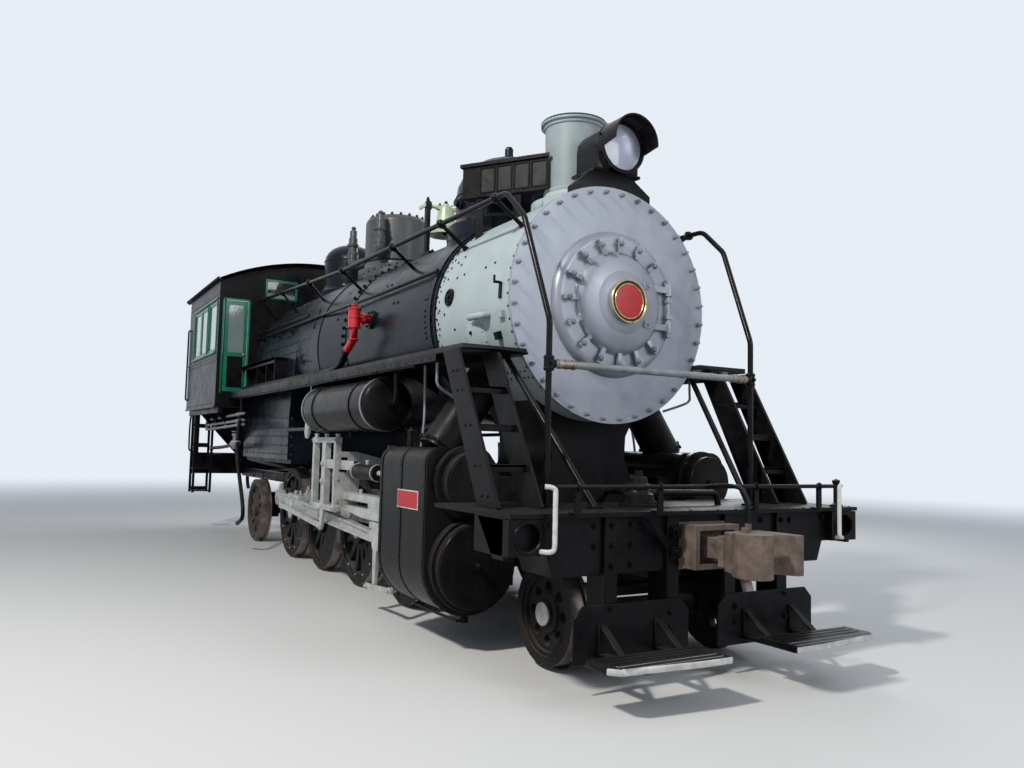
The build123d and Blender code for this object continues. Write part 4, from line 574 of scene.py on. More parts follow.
def addHoop(bm, centre, way, radius, thick, sides=32, flat=1.0):
    turns = [radians(degrees) for degrees in range(0, 361, 60)]
    profile = [(thick * flat * sin(turn), radius + thick * cos(turn)) for turn in turns]
    addTurned(bm, profile, centre, way, sides)


def bothSides(bm):
    bmesh.ops.mirror(bm, geom=bm.verts[:] + bm.edges[:] + bm.faces[:], matrix=Matrix.Identity(4), axis="Y",
                     merge_dist=1e-7)


def softenEdges(bm, width, sharpest=40):
    edges = [edge for edge in bm.edges if edge.is_manifold and edge.calc_face_angle(0) > radians(sharpest)]
    bmesh.ops.bevel(bm, geom=edges, offset=width, offset_type="OFFSET", affect="EDGES", segments=1,
                    profile=0.5, material=-1, clamp_overlap=True)


def paintFaces(piece, finish, test):
    piece.data.materials.append(paints[finish])
    number = len(piece.data.materials) - 1
    for face in piece.data.polygons:
        if test(face.center, face.normal):
            face.material_index = number


boilerHeight = 2.572


def onShell(x, degrees, radius, side=-1):
    out = Vector((0, side * sin(radians(degrees)), cos(radians(degrees))))  # degrees down from the top
    return at(x, 0, boilerHeight) + out * radius, out


# The frame's own nodes, each with the finish of its slot and smooth curves


def dressNode(node, slot=None, sharp=32):
    source = frame["nodes"][node]
    bm = bmesh.new()
    bm.from_mesh(source.data)
    bmesh.ops.remove_doubles(bm, verts=bm.verts, dist=2e-5)
    bmesh.ops.dissolve_limit(bm, angle_limit=radians(0.4), verts=bm.verts, edges=bm.edges)
    mesh = bpy.data.meshes.new(node + "_shell")
    bm.to_mesh(mesh)
    bm.free()
    mesh.shade_smooth()
    mesh.set_sharp_from_angle(angle=radians(sharp))
    mesh.materials.clear()
    mesh.materials.append(paints[slot or nodeSlots[node]])
    piece = bpy.data.objects.new(node + "_shell", mesh)
    bpy.context.scene.collection.objects.link(piece)
    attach(piece, bodyOf[node])
    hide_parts(node)
    level = piece.modifiers.new("level", "WEIGHTED_NORMAL")
    level.keep_sharp = True
    return piece


nodeFinish = {
    "steam_dome": "dome_grey", "sand_dome": "boiler_paint", "rear_dome": "boiler_paint",
    "safety_valves": "dome_grey",
    "handrails": "lamp_black", "smokebox_stays": "lamp_black", "air_reservoirs": "lamp_black",
    "front_cross_bar": "rail_grey", "cylinders": "casing_black",
}
rebuilt = ("front_ladders", "pilot_beam", "stack")
shells = {node: dressNode(node, nodeFinish.get(node)) for node in frame["nodes"] if node not in rebuilt}


def softenShell(node, width, sharp=32):
    mesh = shells[node].data
    bm = bmesh.new()
    bm.from_mesh(mesh)
    softenEdges(bm, width)
    bm.to_mesh(mesh)
    bm.free()
    mesh.shade_smooth()
    mesh.set_sharp_from_angle(angle=radians(sharp))


softenShell("front_coupler", 0.010)
print("nodes dressed:", len(shells))

# Pilot beam with its straps, guards and footboards

pilot = {
    "outline": ((-1.497, 0.82), (-1.497, 1.04), (1.497, 1.04), (1.497, 0.82), (1.2, 0.82), (1.15, 0.68),
                (-1.15, 0.68), (-1.2, 0.82)),
    "back": 0.26, "face": 0.62,
    "strapY": (0.745, 0.25), "strapHalf": 0.05, "strapFace": 0.65, "strapZ": (0.48, 1.04),
    "hangerHalf": 0.035, "hangerBack": 0.44, "hangerZ": (0.46, 0.69),
    "guard": ((0.13, 0.17), (1.028, 0.17), (1.028, 0.44), (0.96, 0.51), (0.20, 0.51), (0.13, 0.44)),
    "guardFace": 0.666,
    "tread": ((0.885, 0.27), (0.885, 1.10), (1.095, 1.10), (1.15, 1.05), (1.20, 0.50), (1.20, 0.27)),
    "treadZ": (0.228, 0.266),
    "bracketY": (0.82, 0.38),
    "boltRadius": 0.018, "boltHeight": 0.018,
    "beamBolts": ((0.57, 0.985), (0.57, 0.859), (0.57, 0.733), (1.188, 0.993),
                  (0.853, 0.980), (0.853, 0.857)),
    "strapBolts": ((0.74, 0.985), (0.74, 0.733), (0.74, 0.86)),
    "guardBolts": ((0.754, 0.483), (0.754, 0.324), (0.28, 0.425), (0.28, 0.326)),
    "castingY": (1.235, 1.497), "castingZ": (0.825, 1.035), "holeRadius": 0.082, "hole": (1.366, 0.93),
    "cheek": ((0.30, 1.04), (0.62, 1.04), (0.62, 0.80), (0.50, 0.80)),
}


def addHoled(bm, outline, centre, radius, way, thick, sides=28):
    part = bmesh.new()
    verts = [part.verts.new(place) for place in outline]
    for first, second in zip(verts, verts[1:] + verts[:1]):
        part.edges.new((first, second))
    bmesh.ops.create_circle(part, cap_ends=False, segments=sides, radius=radius,
                            matrix=Matrix.Translation(centre) @ facing(way))
    bmesh.ops.triangle_fill(part, use_beauty=True, use_dissolve=False, edges=part.edges[:])
    pushOut(part, part.faces[:], way, thick)
    addPart(bm, part)


bm = bmesh.new()
addPlate(bm, [at(pilot["back"], y, z) for y, z in pilot["outline"]], forward, pilot["face"] - pilot["back"])
softenEdges(bm, 0.006)
finishPiece(bm, "pilot_beam_body", "root", "engine_black", hides=["pilot_beam"])

bm = bmesh.new()
low, high = pilot["castingZ"]
near, far = pilot["castingY"]
corners = [at(pilot["face"], y, z) for y, z in ((near, low), (far, low), (far, high), (near, high))]
addHoled(bm, corners, at(pilot["face"], *pilot["hole"]), pilot["holeRadius"], forward, 0.06)
addHoop(bm, at(pilot["face"] + 0.06, *pilot["hole"]), forward, pilot["holeRadius"] + 0.008, 0.010, 28)
addPlate(bm, [at(x, far - 0.03, z) for x, z in pilot["cheek"]], leftward, 0.03)
bothSides(bm)
finishPiece(bm, "pilot_end_castings", "root", "engine_black")

bm = bmesh.new()
for y in pilot["strapY"]:
    half, (low, high) = pilot["strapHalf"], pilot["strapZ"]
    addBox(bm, at(pilot["face"] - 0.002, y - half, low), at(pilot["strapFace"], y + half, high))
    half, (low, high) = pilot["hangerHalf"], pilot["hangerZ"]
    addBox(bm, at(pilot["hangerBack"], y - half, low), at(pilot["face"], y + half, high))
softenEdges(bm, 0.004)
bothSides(bm)
finishPiece(bm, "pilot_straps", "root", "engine_black")

bm = bmesh.new()
addPlate(bm, [at(pilot["strapFace"], y, z) for y, z in pilot["guard"]], forward, 0.016)
face, half, foot = pilot["guardFace"], pilot["hangerHalf"], 0.205
for y in pilot["bracketY"]:
    addBox(bm, at(face, y - half, foot), at(1.11, y + half, 0.2285))
    addBox(bm, at(face, y - half, foot), at(face + 0.016, y + half, 0.40))
    addBeam(bm, at(0.676, y, 0.385), at(0.90, y, 0.225), 0.05, 0.014, (1, 0, 1))
softenEdges(bm, 0.003)
bothSides(bm)
finishPiece(bm, "pilot_guards", "root", "engine_black")

bm = bmesh.new()
low, high = pilot["treadZ"]
addPlate(bm, [at(x, y, low) for x, y in pilot["tread"]], up, high - low)
softenEdges(bm, 0.005)
for row in range(5):
    addBox(bm, at(0.915 + row * 0.056, 0.31, high - 0.001),
           at(0.935 + row * 0.056, 1.05 - row * 0.006, high + 0.003))
bothSides(bm)
treads = finishPiece(bm, "pilot_footboards", "root", "engine_black")
paintFaces(treads, "white_edge", lambda centre, normal: abs(normal.z) < 0.8 and centre.x > at(1.08, 0, 0).x)

bm = bmesh.new()
for key, x in (("beamBolts", pilot["face"]), ("strapBolts", pilot["strapFace"]),
               ("guardBolts", pilot["guardFace"])):
    for y, z in pilot[key]:
        addBolt(bm, at(x, y, z), forward, pilot["boltRadius"], pilot["boltHeight"])
for z in (0.80, 0.93):
    addBox(bm, at(0.648, 0.213, z - 0.034), at(0.682, 0.281, z + 0.034))
    addRod(bm, at(0.68, 0.247, z), at(0.70, 0.247, z), 0.019, 10)
for step in range(9):
    addRivet(bm, at(0.668, 0.12 + step * 0.165, 1.066), up, 0.011)
bothSides(bm)
finishPiece(bm, "pilot_bolts", "root", "engine_black")

# Uncoupling rod, handles, posts and what stands on the deck

deckGear = {
    "rodZ": 1.222, "rodX": 0.72, "rodEnd": 1.20, "rodRadius": 0.014,
    "brackets": (-1.05, -0.42, 0.42, 1.05), "post": (0.66, 1.306), "valve": (0.25, -0.22),
    "handleX": 0.75, "handleY": 1.228, "handleRadius": 0.015,
}
x, z = deckGear["rodX"], deckGear["rodZ"]
addPipes("uncoupling_rod", [
    [at(x, -deckGear["rodEnd"], z), at(x, 0, z), at(x, deckGear["rodEnd"], z)],
    [at(x, -0.04, z), at(0.95, -0.04, z + 0.03), at(1.10, -0.04, z - 0.02), at(1.09, -0.04, 1.00)],
], deckGear["rodRadius"], "root", "engine_black")
handX, handY = deckGear["handleX"], deckGear["handleY"]
handles = bothRoutes(
    ((handX - 0.03, handY + 0.055, z + 0.004), (handX, handY, z + 0.004), (handX, handY, z - 0.05),
     (handX, handY, 0.92), (handX, handY, 0.858), (handX, handY + 0.045, 0.852),
     (0.675, handY + 0.05, 0.850)),
)
addPipes("white_handles", handles, deckGear["handleRadius"], "root", "silver_paint",
         paints["white_edge"], bend=2)

bm = bmesh.new()
for y in deckGear["brackets"]:
    addBox(bm, at(x - 0.012, y - 0.02, 1.066), at(x + 0.006, y + 0.02, z - 0.004))
    addBox(bm, at(x - 0.05, y - 0.035, 1.060), at(x + 0.02, y + 0.035, 1.072))
    addHoop(bm, at(x, y, z), leftward, 0.020, 0.008, 14)
post, valve = deckGear["post"], deckGear["valve"]
addRod(bm, at(*post, 1.037), at(*post, 1.245), 0.019, 14)
addTurned(bm, [(0, 0), (0, 0.05), (0.02, 0.045), (0.035, 0.019)], at(*post, 1.064), sides=16)
addTurned(bm, [(-0.02, 0.019), (-0.005, 0.028), (0.012, 0.028), (0.024, 0)], at(*post, 1.25), sides=14)
addBeam(bm, at(0.70, -0.502, 1.045), at(0.66, -0.295, 0.83), 0.045, 0.012, forward)
addTurned(bm,
          [(0, 0), (0, 0.135), (0.018, 0.135), (0.024, 0.112), (0.085, 0.108), (0.098, 0.082), (0.125, 0.070),
               (0.130, 0.092), (0.150, 0.092), (0.160, 0.066), (0.200, 0.060), (0.206, 0.030), (0.245, 0.028),
               (0.245, 0)], at(*valve, 1.064), sides=32)
addBoltCircle(bm, at(*valve, 1.082), "z", 0.122, 6, up, 0.010, 0.012)
finishPiece(bm, "deck_fittings", "root", "engine_black")
addPipes("deck_pipes", [
    [at(0.25, -0.13, 1.155), at(0.25, 0.02, 1.155), at(0.25, 0.42, 1.150),
     at(0.25, 0.52, 1.15), at(0.25, 0.53, 1.02)],
    [at(0.14, -0.22, 1.16), at(0.0, -0.22, 1.16), at(-0.16, -0.22, 1.15), at(-0.22, -0.22, 0.98)],
], 0.024, "root", "engine_black")

# Ladders up to the running boards

ladder = {
    "y": (1.054, 1.367), "head": (-0.510, -0.280), "foot": (0.060, 0.335), "top": 2.113,
    "deck": 1.066, "thick": 0.012,
    "treads": (0.25, 0.5, 0.75), "treadHalf": 0.09, "rivets": (0.14, 0.27, 0.50, 0.75, 0.93),
}
drop = ladder["top"] - ladder["deck"]


def ladderSpot(share, across):
    head, foot = ladder["head"], ladder["foot"]
    rear = head[0] + (foot[0] - head[0]) * share
    front = head[1] + (foot[1] - head[1]) * share
    return rear + (front - rear) * across, ladder["top"] - drop * share


bm = bmesh.new()
for y in ladder["y"]:
    outline = [ladderSpot(share, across) for share, across in ((0, 0), (0, 1), (1, 1), (1, 0))]
    addPlate(bm, [at(px, y - ladder["thick"] / 2, pz) for px, pz in outline], leftward, ladder["thick"])
    (topX, topZ), (footX, footZ) = ladderSpot(0.005, 1), ladderSpot(0.995, 1)
    addBeam(bm, at(topX, y, topZ), at(footX, y, footZ), 0.020, 0.024, leftward)
for share in ladder["treads"]:
    px, pz = ladderSpot(share, 0.5)
    near, far = ladder["y"]
    half = ladder["treadHalf"]
    addBox(bm, at(px - half, near, pz - 0.008), at(px + half, far, pz + 0.008))
    addBox(bm, at(px + half - 0.012, near, pz - 0.040), at(px + half, far, pz + 0.008))
softenEdges(bm, 0.002)
bothSides(bm)
finishPiece(bm, "ladder_frames", "root", "engine_black", hides=["front_ladders"])
bm = bmesh.new()
for share in ladder["rivets"]:
    for across in (0.36, 0.64):
        px, pz = ladderSpot(share, across)
        addRivet(bm, at(px, ladder["y"][1] + ladder["thick"] / 2, pz), leftward, 0.014)
        addRivet(bm, at(px, ladder["y"][0] - ladder["thick"] / 2, pz), (0, -1, 0), 0.014)
bothSides(bm)
finishPiece(bm, "ladder_rivets", "root", "engine_black")

boardFront = -0.275  # the running boards end here, at the front of the ladders' heads
boards = shells["running_boards"].data
bm = bmesh.new()
bm.from_mesh(boards)
cutAway(bm, at(boardFront, 0, 0), forward)
bmesh.ops.recalc_face_normals(bm, faces=bm.faces)
bm.to_mesh(boards)
bm.free()
print("pilot made")

# Smokebox front: studs, door, straps, dogs and round plate

smokeboxFace = {
    "plate": -0.357, "studs": 36, "studCircle": 0.885, "studRadius": 0.018, "studReach": 0.036,
    "doorBase": -0.2947, "doorRadius": 0.392, "dish": 0.128, "dogCircle": 0.468,
    "dogs": 16, "dogsWithin": 0.375,
    "strapZ": 0.15, "strapWide": 0.052, "plateFace": 0.140, "plateSides": 56,
}
bm = bmesh.new()
plateX, circle = smokeboxFace["plate"], smokeboxFace["studCircle"]
for step in range(smokeboxFace["studs"]):
    turn = (step + 0.5) * 360 / smokeboxFace["studs"]
    place, _ = around(at(plateX, 0, boilerHeight), circle, turn)
    addBolt(bm, place, forward, smokeboxFace["studRadius"], smokeboxFace["studReach"], washer=False)
    back, _ = around(at(plateX - 0.042, 0, boilerHeight), circle + 0.022, turn)
    addRod(bm, back, back + Vector((0.018, 0, 0)), 0.016, 6)
finishPiece(bm, "front_rim_studs", "root", "silver_paint")

cap, doorRadius = smokeboxFace["dish"], smokeboxFace["doorRadius"]
ball = (doorRadius ** 2 + cap ** 2) / (2 * cap)


def dishHeight(radius):
    return (ball ** 2 - radius ** 2) ** 0.5 - (ball - cap)


bm = bmesh.new()
base = at(smokeboxFace["doorBase"], 0, boilerHeight)
profile = [(dishHeight(doorRadius * step / 14), doorRadius * step / 14) for step in range(15)]
addTurned(bm, profile + [(-0.002, doorRadius), (-0.002, 0)], base, forward, 72)
addHoop(bm, base + Vector((0.002, 0, 0)), forward, doorRadius + 0.004, 0.009, 72)
finishPiece(bm, "door_dish", "smokebox_door", "silver_paint")

bm = bmesh.new()
for height in (-smokeboxFace["strapZ"], smokeboxFace["strapZ"]):
    reach = [0.19 + 0.048 * step for step in range(5)]
    spots = [base + Vector((dishHeight((y * y + height * height) ** 0.5) + 0.004, y, height)) for y in reach]
    spots.append(base + Vector((0.046, 0.452, height)))
    for first, second in zip(spots, spots[1:]):
        along = (second - first).normalized() * 0.006
        addBeam(bm, first - along, second + along, smokeboxFace["strapWide"], 0.020, forward)
    for place in spots[1:5:2]:
        addBolt(bm, place + Vector((0.009, 0, 0)), forward, 0.013, 0.014)
finishPiece(bm, "door_straps", "smokebox_door", "silver_paint")

bm = bmesh.new()
for step in range(smokeboxFace["dogs"]):
    turn = 90 + step * 360 / smokeboxFace["dogs"]
    place, _ = around(base + Vector((0.041, 0, 0)), smokeboxFace["dogCircle"], turn)
    if place.y < smokeboxFace["dogsWithin"]:  # past this the hinge straps stand in the dogs' place
        addRod(bm, place, place + Vector((0.006, 0, 0)), 0.030, 12)
        addRod(bm, place + Vector((0.006, 0, 0)), place + Vector((0.032, 0, 0)), 0.025, 6)
finishPiece(bm, "dog_nuts", "smokebox_door", "silver_paint")

face, sides = base + Vector((smokeboxFace["plateFace"], 0, 0)), smokeboxFace["plateSides"]
bm = bmesh.new()
addTurned(bm, [(-0.03, 0), (-0.03, 0.133), (0.003, 0.133), (0.006, 0.09), (0.007, 0)], face, forward, sides)
finishPiece(bm, "round_plate_field", "smokebox_door", "silver_paint", paints["plate_red"])
bm = bmesh.new()
addRing(bm, face, forward, 0.130, 0.163, -0.03, 0.003, sides)
finishPiece(bm, "round_plate_ring", "smokebox_door", "silver_paint", paints["plate_dark"])
bm = bmesh.new()
for radius, thick in ((0.132, 0.004), (0.161, 0.006)):
    addHoop(bm, face + Vector((0.003, 0, 0)), forward, radius, thick, sides)
finishPiece(bm, "round_plate_rims", "smokebox_door", "fitting_brass", paints["plate_rim"])
print("smokebox front made")

# Headlight: reflector, lens, rim and rivets

lamp = {"height": 3.8, "glass": -0.279, "rim": -0.250, "cheek": 0.190, "foot": 3.62}
glass = at(lamp["glass"], 0, lamp["height"])
bm = bmesh.new()
addTurned(bm, [(0.000, 0), (0.000, 0.181), (0.007, 0.181), (0.004, 0.10), (0.002, 0)], glass, forward, 48)
# the reflector's pale lilac colour is a painted reflection
finishPiece(bm, "lamp_reflector", "root", "silver_paint", paints["lamp_mirror_painted_reflection"])
bm = bmesh.new()
addTurned(bm, [(0.008, 0), (0.008, 0.178), (0.012, 0.178), (0.020, 0.13), (0.027, 0.07), (0.029, 0)],
          glass, forward, 48)
finishPiece(bm, "lamp_lens", "root", "silver_paint", lensGlass)
bm = bmesh.new()
addHoop(bm, at(lamp["rim"], 0, lamp["height"]), forward, 0.192, 0.008, 48)
addHoop(bm, at(-0.312, 0, lamp["height"]), forward, 0.206, 0.007, 48)
for degrees in (20, 160, 200, 340):
    place, out = around(at(-0.285, 0, lamp["height"]), 0.206, degrees)
    addBolt(bm, place, out, 0.011, 0.012)
for side in (-1, 1):
    y = side * lamp["cheek"]
    for x, top, count in ((-0.59, 3.86, 4), (-0.36, 3.80, 3)):
        addRow(bm, at(x, y, 3.66), at(x, y, top), count, (0, side, 0), 0.008)
    for x in (-0.42, -0.56):
        addBolt(bm, at(x, side * 0.21, lamp["foot"]), up, 0.013, 0.014)
addBeam(bm, at(-0.60, 0.05, 3.985), at(-0.40, 0.05, 3.985), 0.03, 0.016)
finishPiece(bm, "lamp_fittings", "root", "lamp_black")
print("headlight made")

# Stack, and what is on the smokebox shell

stackGear = {"x": -0.936, "bead": (4.148, 0.250), "foot": (3.588, 0.240), "rim": 4.194, "seamRivets": 13}
shellGear = {
    "radius": 0.905, "bolt": 0.011, "patch": 0.013,
    "patchBolts": ((-1.369, 59.4), (-1.556, 59.1), (-1.453, 62.2), (-1.358, 64.8), (-1.543, 64.6),
                   (-1.213, 72.4), (-1.594, 70.1), (-1.519, 71.8), (-1.337, 73.0), (-0.843, 72.9),
                   (-0.704, 72.0),
                   (-1.579, 88.9), (-1.627, 93.6), (-1.483, 91.7), (-1.585, 98.8), (-1.309, 100.9)),
    "rows": ((-0.425, 0), (-1.600, 0), (-1.640, 0.5)), "rowCount": 60, "topGap": 28,
    "lowRows": (128, 131.5), "lowStart": -0.48, "lowPitch": 0.062, "lowCount": 18,
}
bm = bmesh.new()
addTurned(bm, [(3.562, 0.205), (3.562, 0.246), (3.586, 0.246), (3.602, 0.232), (4.154, 0.244), (4.164, 0.280),
               (4.194, 0.280), (4.194, 0.205), (3.562, 0.205)], at(stackGear["x"], 0, 0), sides=72)
finishPiece(bm, "stack_shell", "root", "smokebox_grey", paints["stack_grey"], hides=("stack",))

bm = bmesh.new()
for x, shift in shellGear["rows"]:
    for step in range(shellGear["rowCount"]):
        degrees = (step + shift) * 360 / shellGear["rowCount"]
        if shellGear["topGap"] < degrees < 360 - shellGear["topGap"]:
            addRivet(bm, *onShell(x, degrees, shellGear["radius"]), shellGear["bolt"])
for x, degrees in shellGear["patchBolts"]:
    for side in (-1, 1):
        addRivet(bm, *onShell(x, degrees, shellGear["radius"], side), shellGear["patch"])
for side in (-1, 1):
    for step in range(shellGear["lowCount"]):
        for degrees in shellGear["lowRows"]:
            x = shellGear["lowStart"] - step * shellGear["lowPitch"]
            addRivet(bm, *onShell(x, degrees, shellGear["radius"], side), shellGear["bolt"])
finishPiece(bm, "smokebox_rivets", "root", "engine_black")

bm = bmesh.new()
for side in (-1, 1):
    spot, out = onShell(-0.974, 109.9, 0.890, side)
    addTurned(bm, [(0, 0), (0, 0.175), (0.022, 0.172), (0.034, 0.150), (0.050, 0.09), (0.056, 0)],
              spot, out, 36)
    for step in range(12):
        place, _ = around(Vector((0, 0, 0)), 0.160, step * 30, "z")
        addRivet(bm, spot + facing(out) @ (place + Vector((0, 0, 0.030))), out, 0.010)
    spot, out = onShell(-0.514, 99.0, 0.915, side)
    addBeam(bm, spot - Vector((0.035, 0, 0)), spot + Vector((0.035, 0, 0)), 0.05, 0.04, out)
finishPiece(bm, "smokebox_covers", "root", "smokebox_grey")

bm = bmesh.new()
for side in (-1, 1):
    spot, out = onShell(-1.40, 83.2, 0.900, side)
    addTurned(bm, [(0, 0), (0, 0.074), (0.020, 0.072), (0.026, 0.062), (0.020, 0.054), (0.010, 0.052),
                   (0.010, 0)], spot, out, 28)
    for step in range(4):
        place, way = around(Vector((0, 0, 0.016)), 0.054, step * 45, "z")
        turn = facing(out)
        addBeam(bm, spot + turn @ place, spot + turn @ (place - way * 0.108), 0.011, 0.008, out)
    addRod(bm, spot, spot + out * 0.034, 0.016, 6)
    spot, out = onShell(-0.608, 108.4, 0.915, side)
    addBeam(bm, spot - Vector((0.03, 0, 0)), spot + Vector((0.03, 0, 0)), 0.06, 0.05, out)
    low, out = onShell(-0.53, 91.4, 0.912, side)
    high, _ = onShell(-0.53, 84.0, 0.912, side)
    addBeam(bm, low, high, 0.034, 0.014, out)
    addRod(bm, high + out * 0.004, high + out * 0.060, 0.011, 10)
    addRod(bm, high + out * 0.055, high + out * 0.055 + Vector((0, 0, 0.05)), 0.009, 10)
    for degrees in (104.5, 115.3):
        spot, out = onShell(-0.974, degrees, 0.935, side)
        addBolt(bm, spot, out, 0.016, 0.018)
finishPiece(bm, "smokebox_plugs", "root", "engine_black")
elbows = []
for side in (-1, 1):
    corner, out = onShell(-0.72, 97.8, shellGear["radius"], side)
    elbows.append([corner - out * 0.02, corner + out * 0.055, corner + out * 0.058 - Vector((0.03, 0, 0)),
                   corner + out * 0.056 - Vector((0.12, 0, -0.003)),
                   corner + out * 0.052 - Vector((0.218, 0, -0.008))])
addPipes("smokebox_elbows", elbows, 0.028, "root", "smokebox_grey")

# Beads of the stack, domes and what stands on the boiler

bm = bmesh.new()
for (height, radius), thick in ((stackGear["bead"], 0.012), (stackGear["foot"], 0.010)):
    addHoop(bm, at(stackGear["x"], 0, height), up, radius, thick, 48)
for step in range(stackGear["seamRivets"]):
    place, out = around(at(stackGear["x"], 0, 3.66 + step * 0.037), 0.236, 160, "z")
    addRivet(bm, place, out, 0.008)
for step in range(24):
    place, out = around(at(stackGear["x"], 0, 3.574), 0.246, step * 15, "z")
    addRivet(bm, place, out, 0.008)
finishPiece(bm, "stack_beads", "root", "smokebox_grey")
bm = bmesh.new()
addHoop(bm, at(stackGear["x"], 0, stackGear["rim"] - 0.006), up, 0.274, 0.009, 56)
addTurned(bm, [(-0.58, 0.1995), (-0.005, 0.1995), (-0.005, 0.204), (-0.58, 0.204), (-0.58, 0.1995)],
          at(stackGear["x"], 0, stackGear["rim"]), up, 48)
finishPiece(bm, "stack_lip", "root", "lamp_black")

domes = {
    # name: x, radius of the flange's rivets, barrel radius, count
    "sand_dome": (-2.04, 0.575, 0.932, 36),
    "steam_dome": (-4.78, 0.473, 0.994, 32),
    "rear_dome": (-6.50, 0.440, 0.994, 30),
}
flangeLift = 0.045  # of the flange's rivets over the barrel
for dome, (x, radius, under, count) in domes.items():
    bm = bmesh.new()
    for step in range(count):
        place, out = around(at(x, 0, boilerHeight), radius, step * 360 / count, "z")
        place.z += (under ** 2 - place.y ** 2) ** 0.5 + flangeLift
        addRivet(bm, place, out, 0.013)
    if dome == "sand_dome":
        addHoop(bm, at(x, 0, 3.80), up, 0.500, 0.008, 64)
        addHoop(bm, at(x, 0, 4.196), up, 0.118, 0.014, 36)
        addTurned(bm, [(4.21, 0.040), (4.222, 0.058), (4.236, 0.058), (4.248, 0.040)], at(x, 0, 0), sides=24)
        for side in (-1, 1):
            spot, out = around(at(x, 0, 3.70), 0.495, 90 * side, "z")
            addTurned(bm, [(0, 0), (0, 0.055), (0.03, 0.052), (0.04, 0.038), (0.07, 0.034),
                           (0.07, 0)], spot, out, 20)
    if dome == "steam_dome":
        addBoltCircle(bm, at(x, 0, 4.226), "z", 0.338, 20, up, 0.017, 0.022, washer=True)
        addHoop(bm, at(x, 0, 3.665), up, 0.400, 0.010, 56)
    if dome == "rear_dome":
        addHoop(bm, at(x, 0, 4.000), up, 0.365, 0.008, 56)
        addTurned(bm, [(4.24, 0), (4.24, 0.05), (4.268, 0.046), (4.285, 0.02), (4.288, 0)],
                  at(x, 0, 0), sides=24)
    finishPiece(bm, dome + "_trim", "root", "boiler_paint")

bm = bmesh.new()
for x, y, foot, top in ((-4.41, -0.38, 3.86, 4.20), (-5.345, -0.38, 3.84, 4.21)):
    high = top - foot
    addTurned(bm, [(-0.03, 0), (-0.03, 0.018), (-0.012, 0.030), (0.004, 0.030), (0.018, 0.018), (0.022, 0)],
              at(x, y, top - 0.004), sides=18)
    addRod(bm, at(x, y, foot + 0.02), at(x, y, foot + 0.045), 0.074, 8)
    addHoop(bm, at(x, y, foot + high * 0.37), up, 0.070, 0.008, 28)
    for step in range(8):
        place, out = around(at(x, y, foot + high * 0.53), 0.055, step * 45, "z")
        addBeam(bm, place - Vector((0, 0, 0.022)), place + Vector((0, 0, 0.022)), 0.010, 0.006, out)
finishPiece(bm, "valve_caps", "root", nodeSlots["safety_valves"], paints["dome_grey"])

# Number boxes: dark blank plates, beads around them, rivets and bolts

numberBox = {
    "front": (-0.910, -0.270), "rear": (-1.580, -0.720), "bays": 5, "plates": 4,
    "plateGap": 0.020, "plateZ": 3.733, "plateHigh": 0.215, "plateThick": 0.004,
    "beadGap": 0.014, "beadZ": (3.624, 3.839), "beadThick": 0.010, "beadOver": 0.004,
    "rivetsAlong": (0.03, 0.25, 0.45, 0.64, 0.78), "rivetRows": ((0.022, 3.877), (0.001, 3.605)),
    "bolts": ((0.30, 3.52), (0.65, 3.56)),
}
boxRun = Vector((numberBox["rear"][0] - numberBox["front"][0],
                 numberBox["rear"][1] - numberBox["front"][1], 0))
boxAlong = boxRun.normalized()
boxOut = Vector((-boxAlong.y, boxAlong.x, 0))
bayWidth = boxRun.length / numberBox["bays"]


def boxSpot(along, out, height):
    return at(*numberBox["front"], 0) + boxAlong * along + boxOut * out + Vector((0, 0, height))


bm = bmesh.new()
for bay in range(numberBox["plates"]):
    gap, height = numberBox["plateGap"], numberBox["plateZ"]
    start, end = bay * bayWidth + gap, (bay + 1) * bayWidth - gap
    addBeam(bm, boxSpot(start, -0.005, height), boxSpot(end, -0.005, height), numberBox["plateThick"],
            numberBox["plateHigh"])
bothSides(bm)
finishPiece(bm, "number_plates", "root", "lamp_black", paints["plate_dark"])
bm = bmesh.new()
low, high = numberBox["beadZ"]
gap, thick, over = numberBox["beadGap"], numberBox["beadThick"], numberBox["beadOver"]
for bay in range(numberBox["plates"]):
    start, end = bay * bayWidth + gap, (bay + 1) * bayWidth - gap
    for height in (low, high):
        addBeam(bm, boxSpot(start, 0.001, height), boxSpot(end, 0.001, height), thick, thick)
    for along in (start, end):
        addBeam(bm, boxSpot(along, 0.001, low - over),
                boxSpot(along, 0.001, high + over), thick, thick, boxOut)
for along in numberBox["rivetsAlong"]:
    for out, height in numberBox["rivetRows"]:
        addRivet(bm, boxSpot(along, out, height), boxOut, 0.008)
for along, height in numberBox["bolts"]:
    addBolt(bm, boxSpot(along, -0.018, height), boxOut, 0.013, 0.012)
bothSides(bm)
finishPiece(bm, "number_box_trim", "root", "lamp_black")

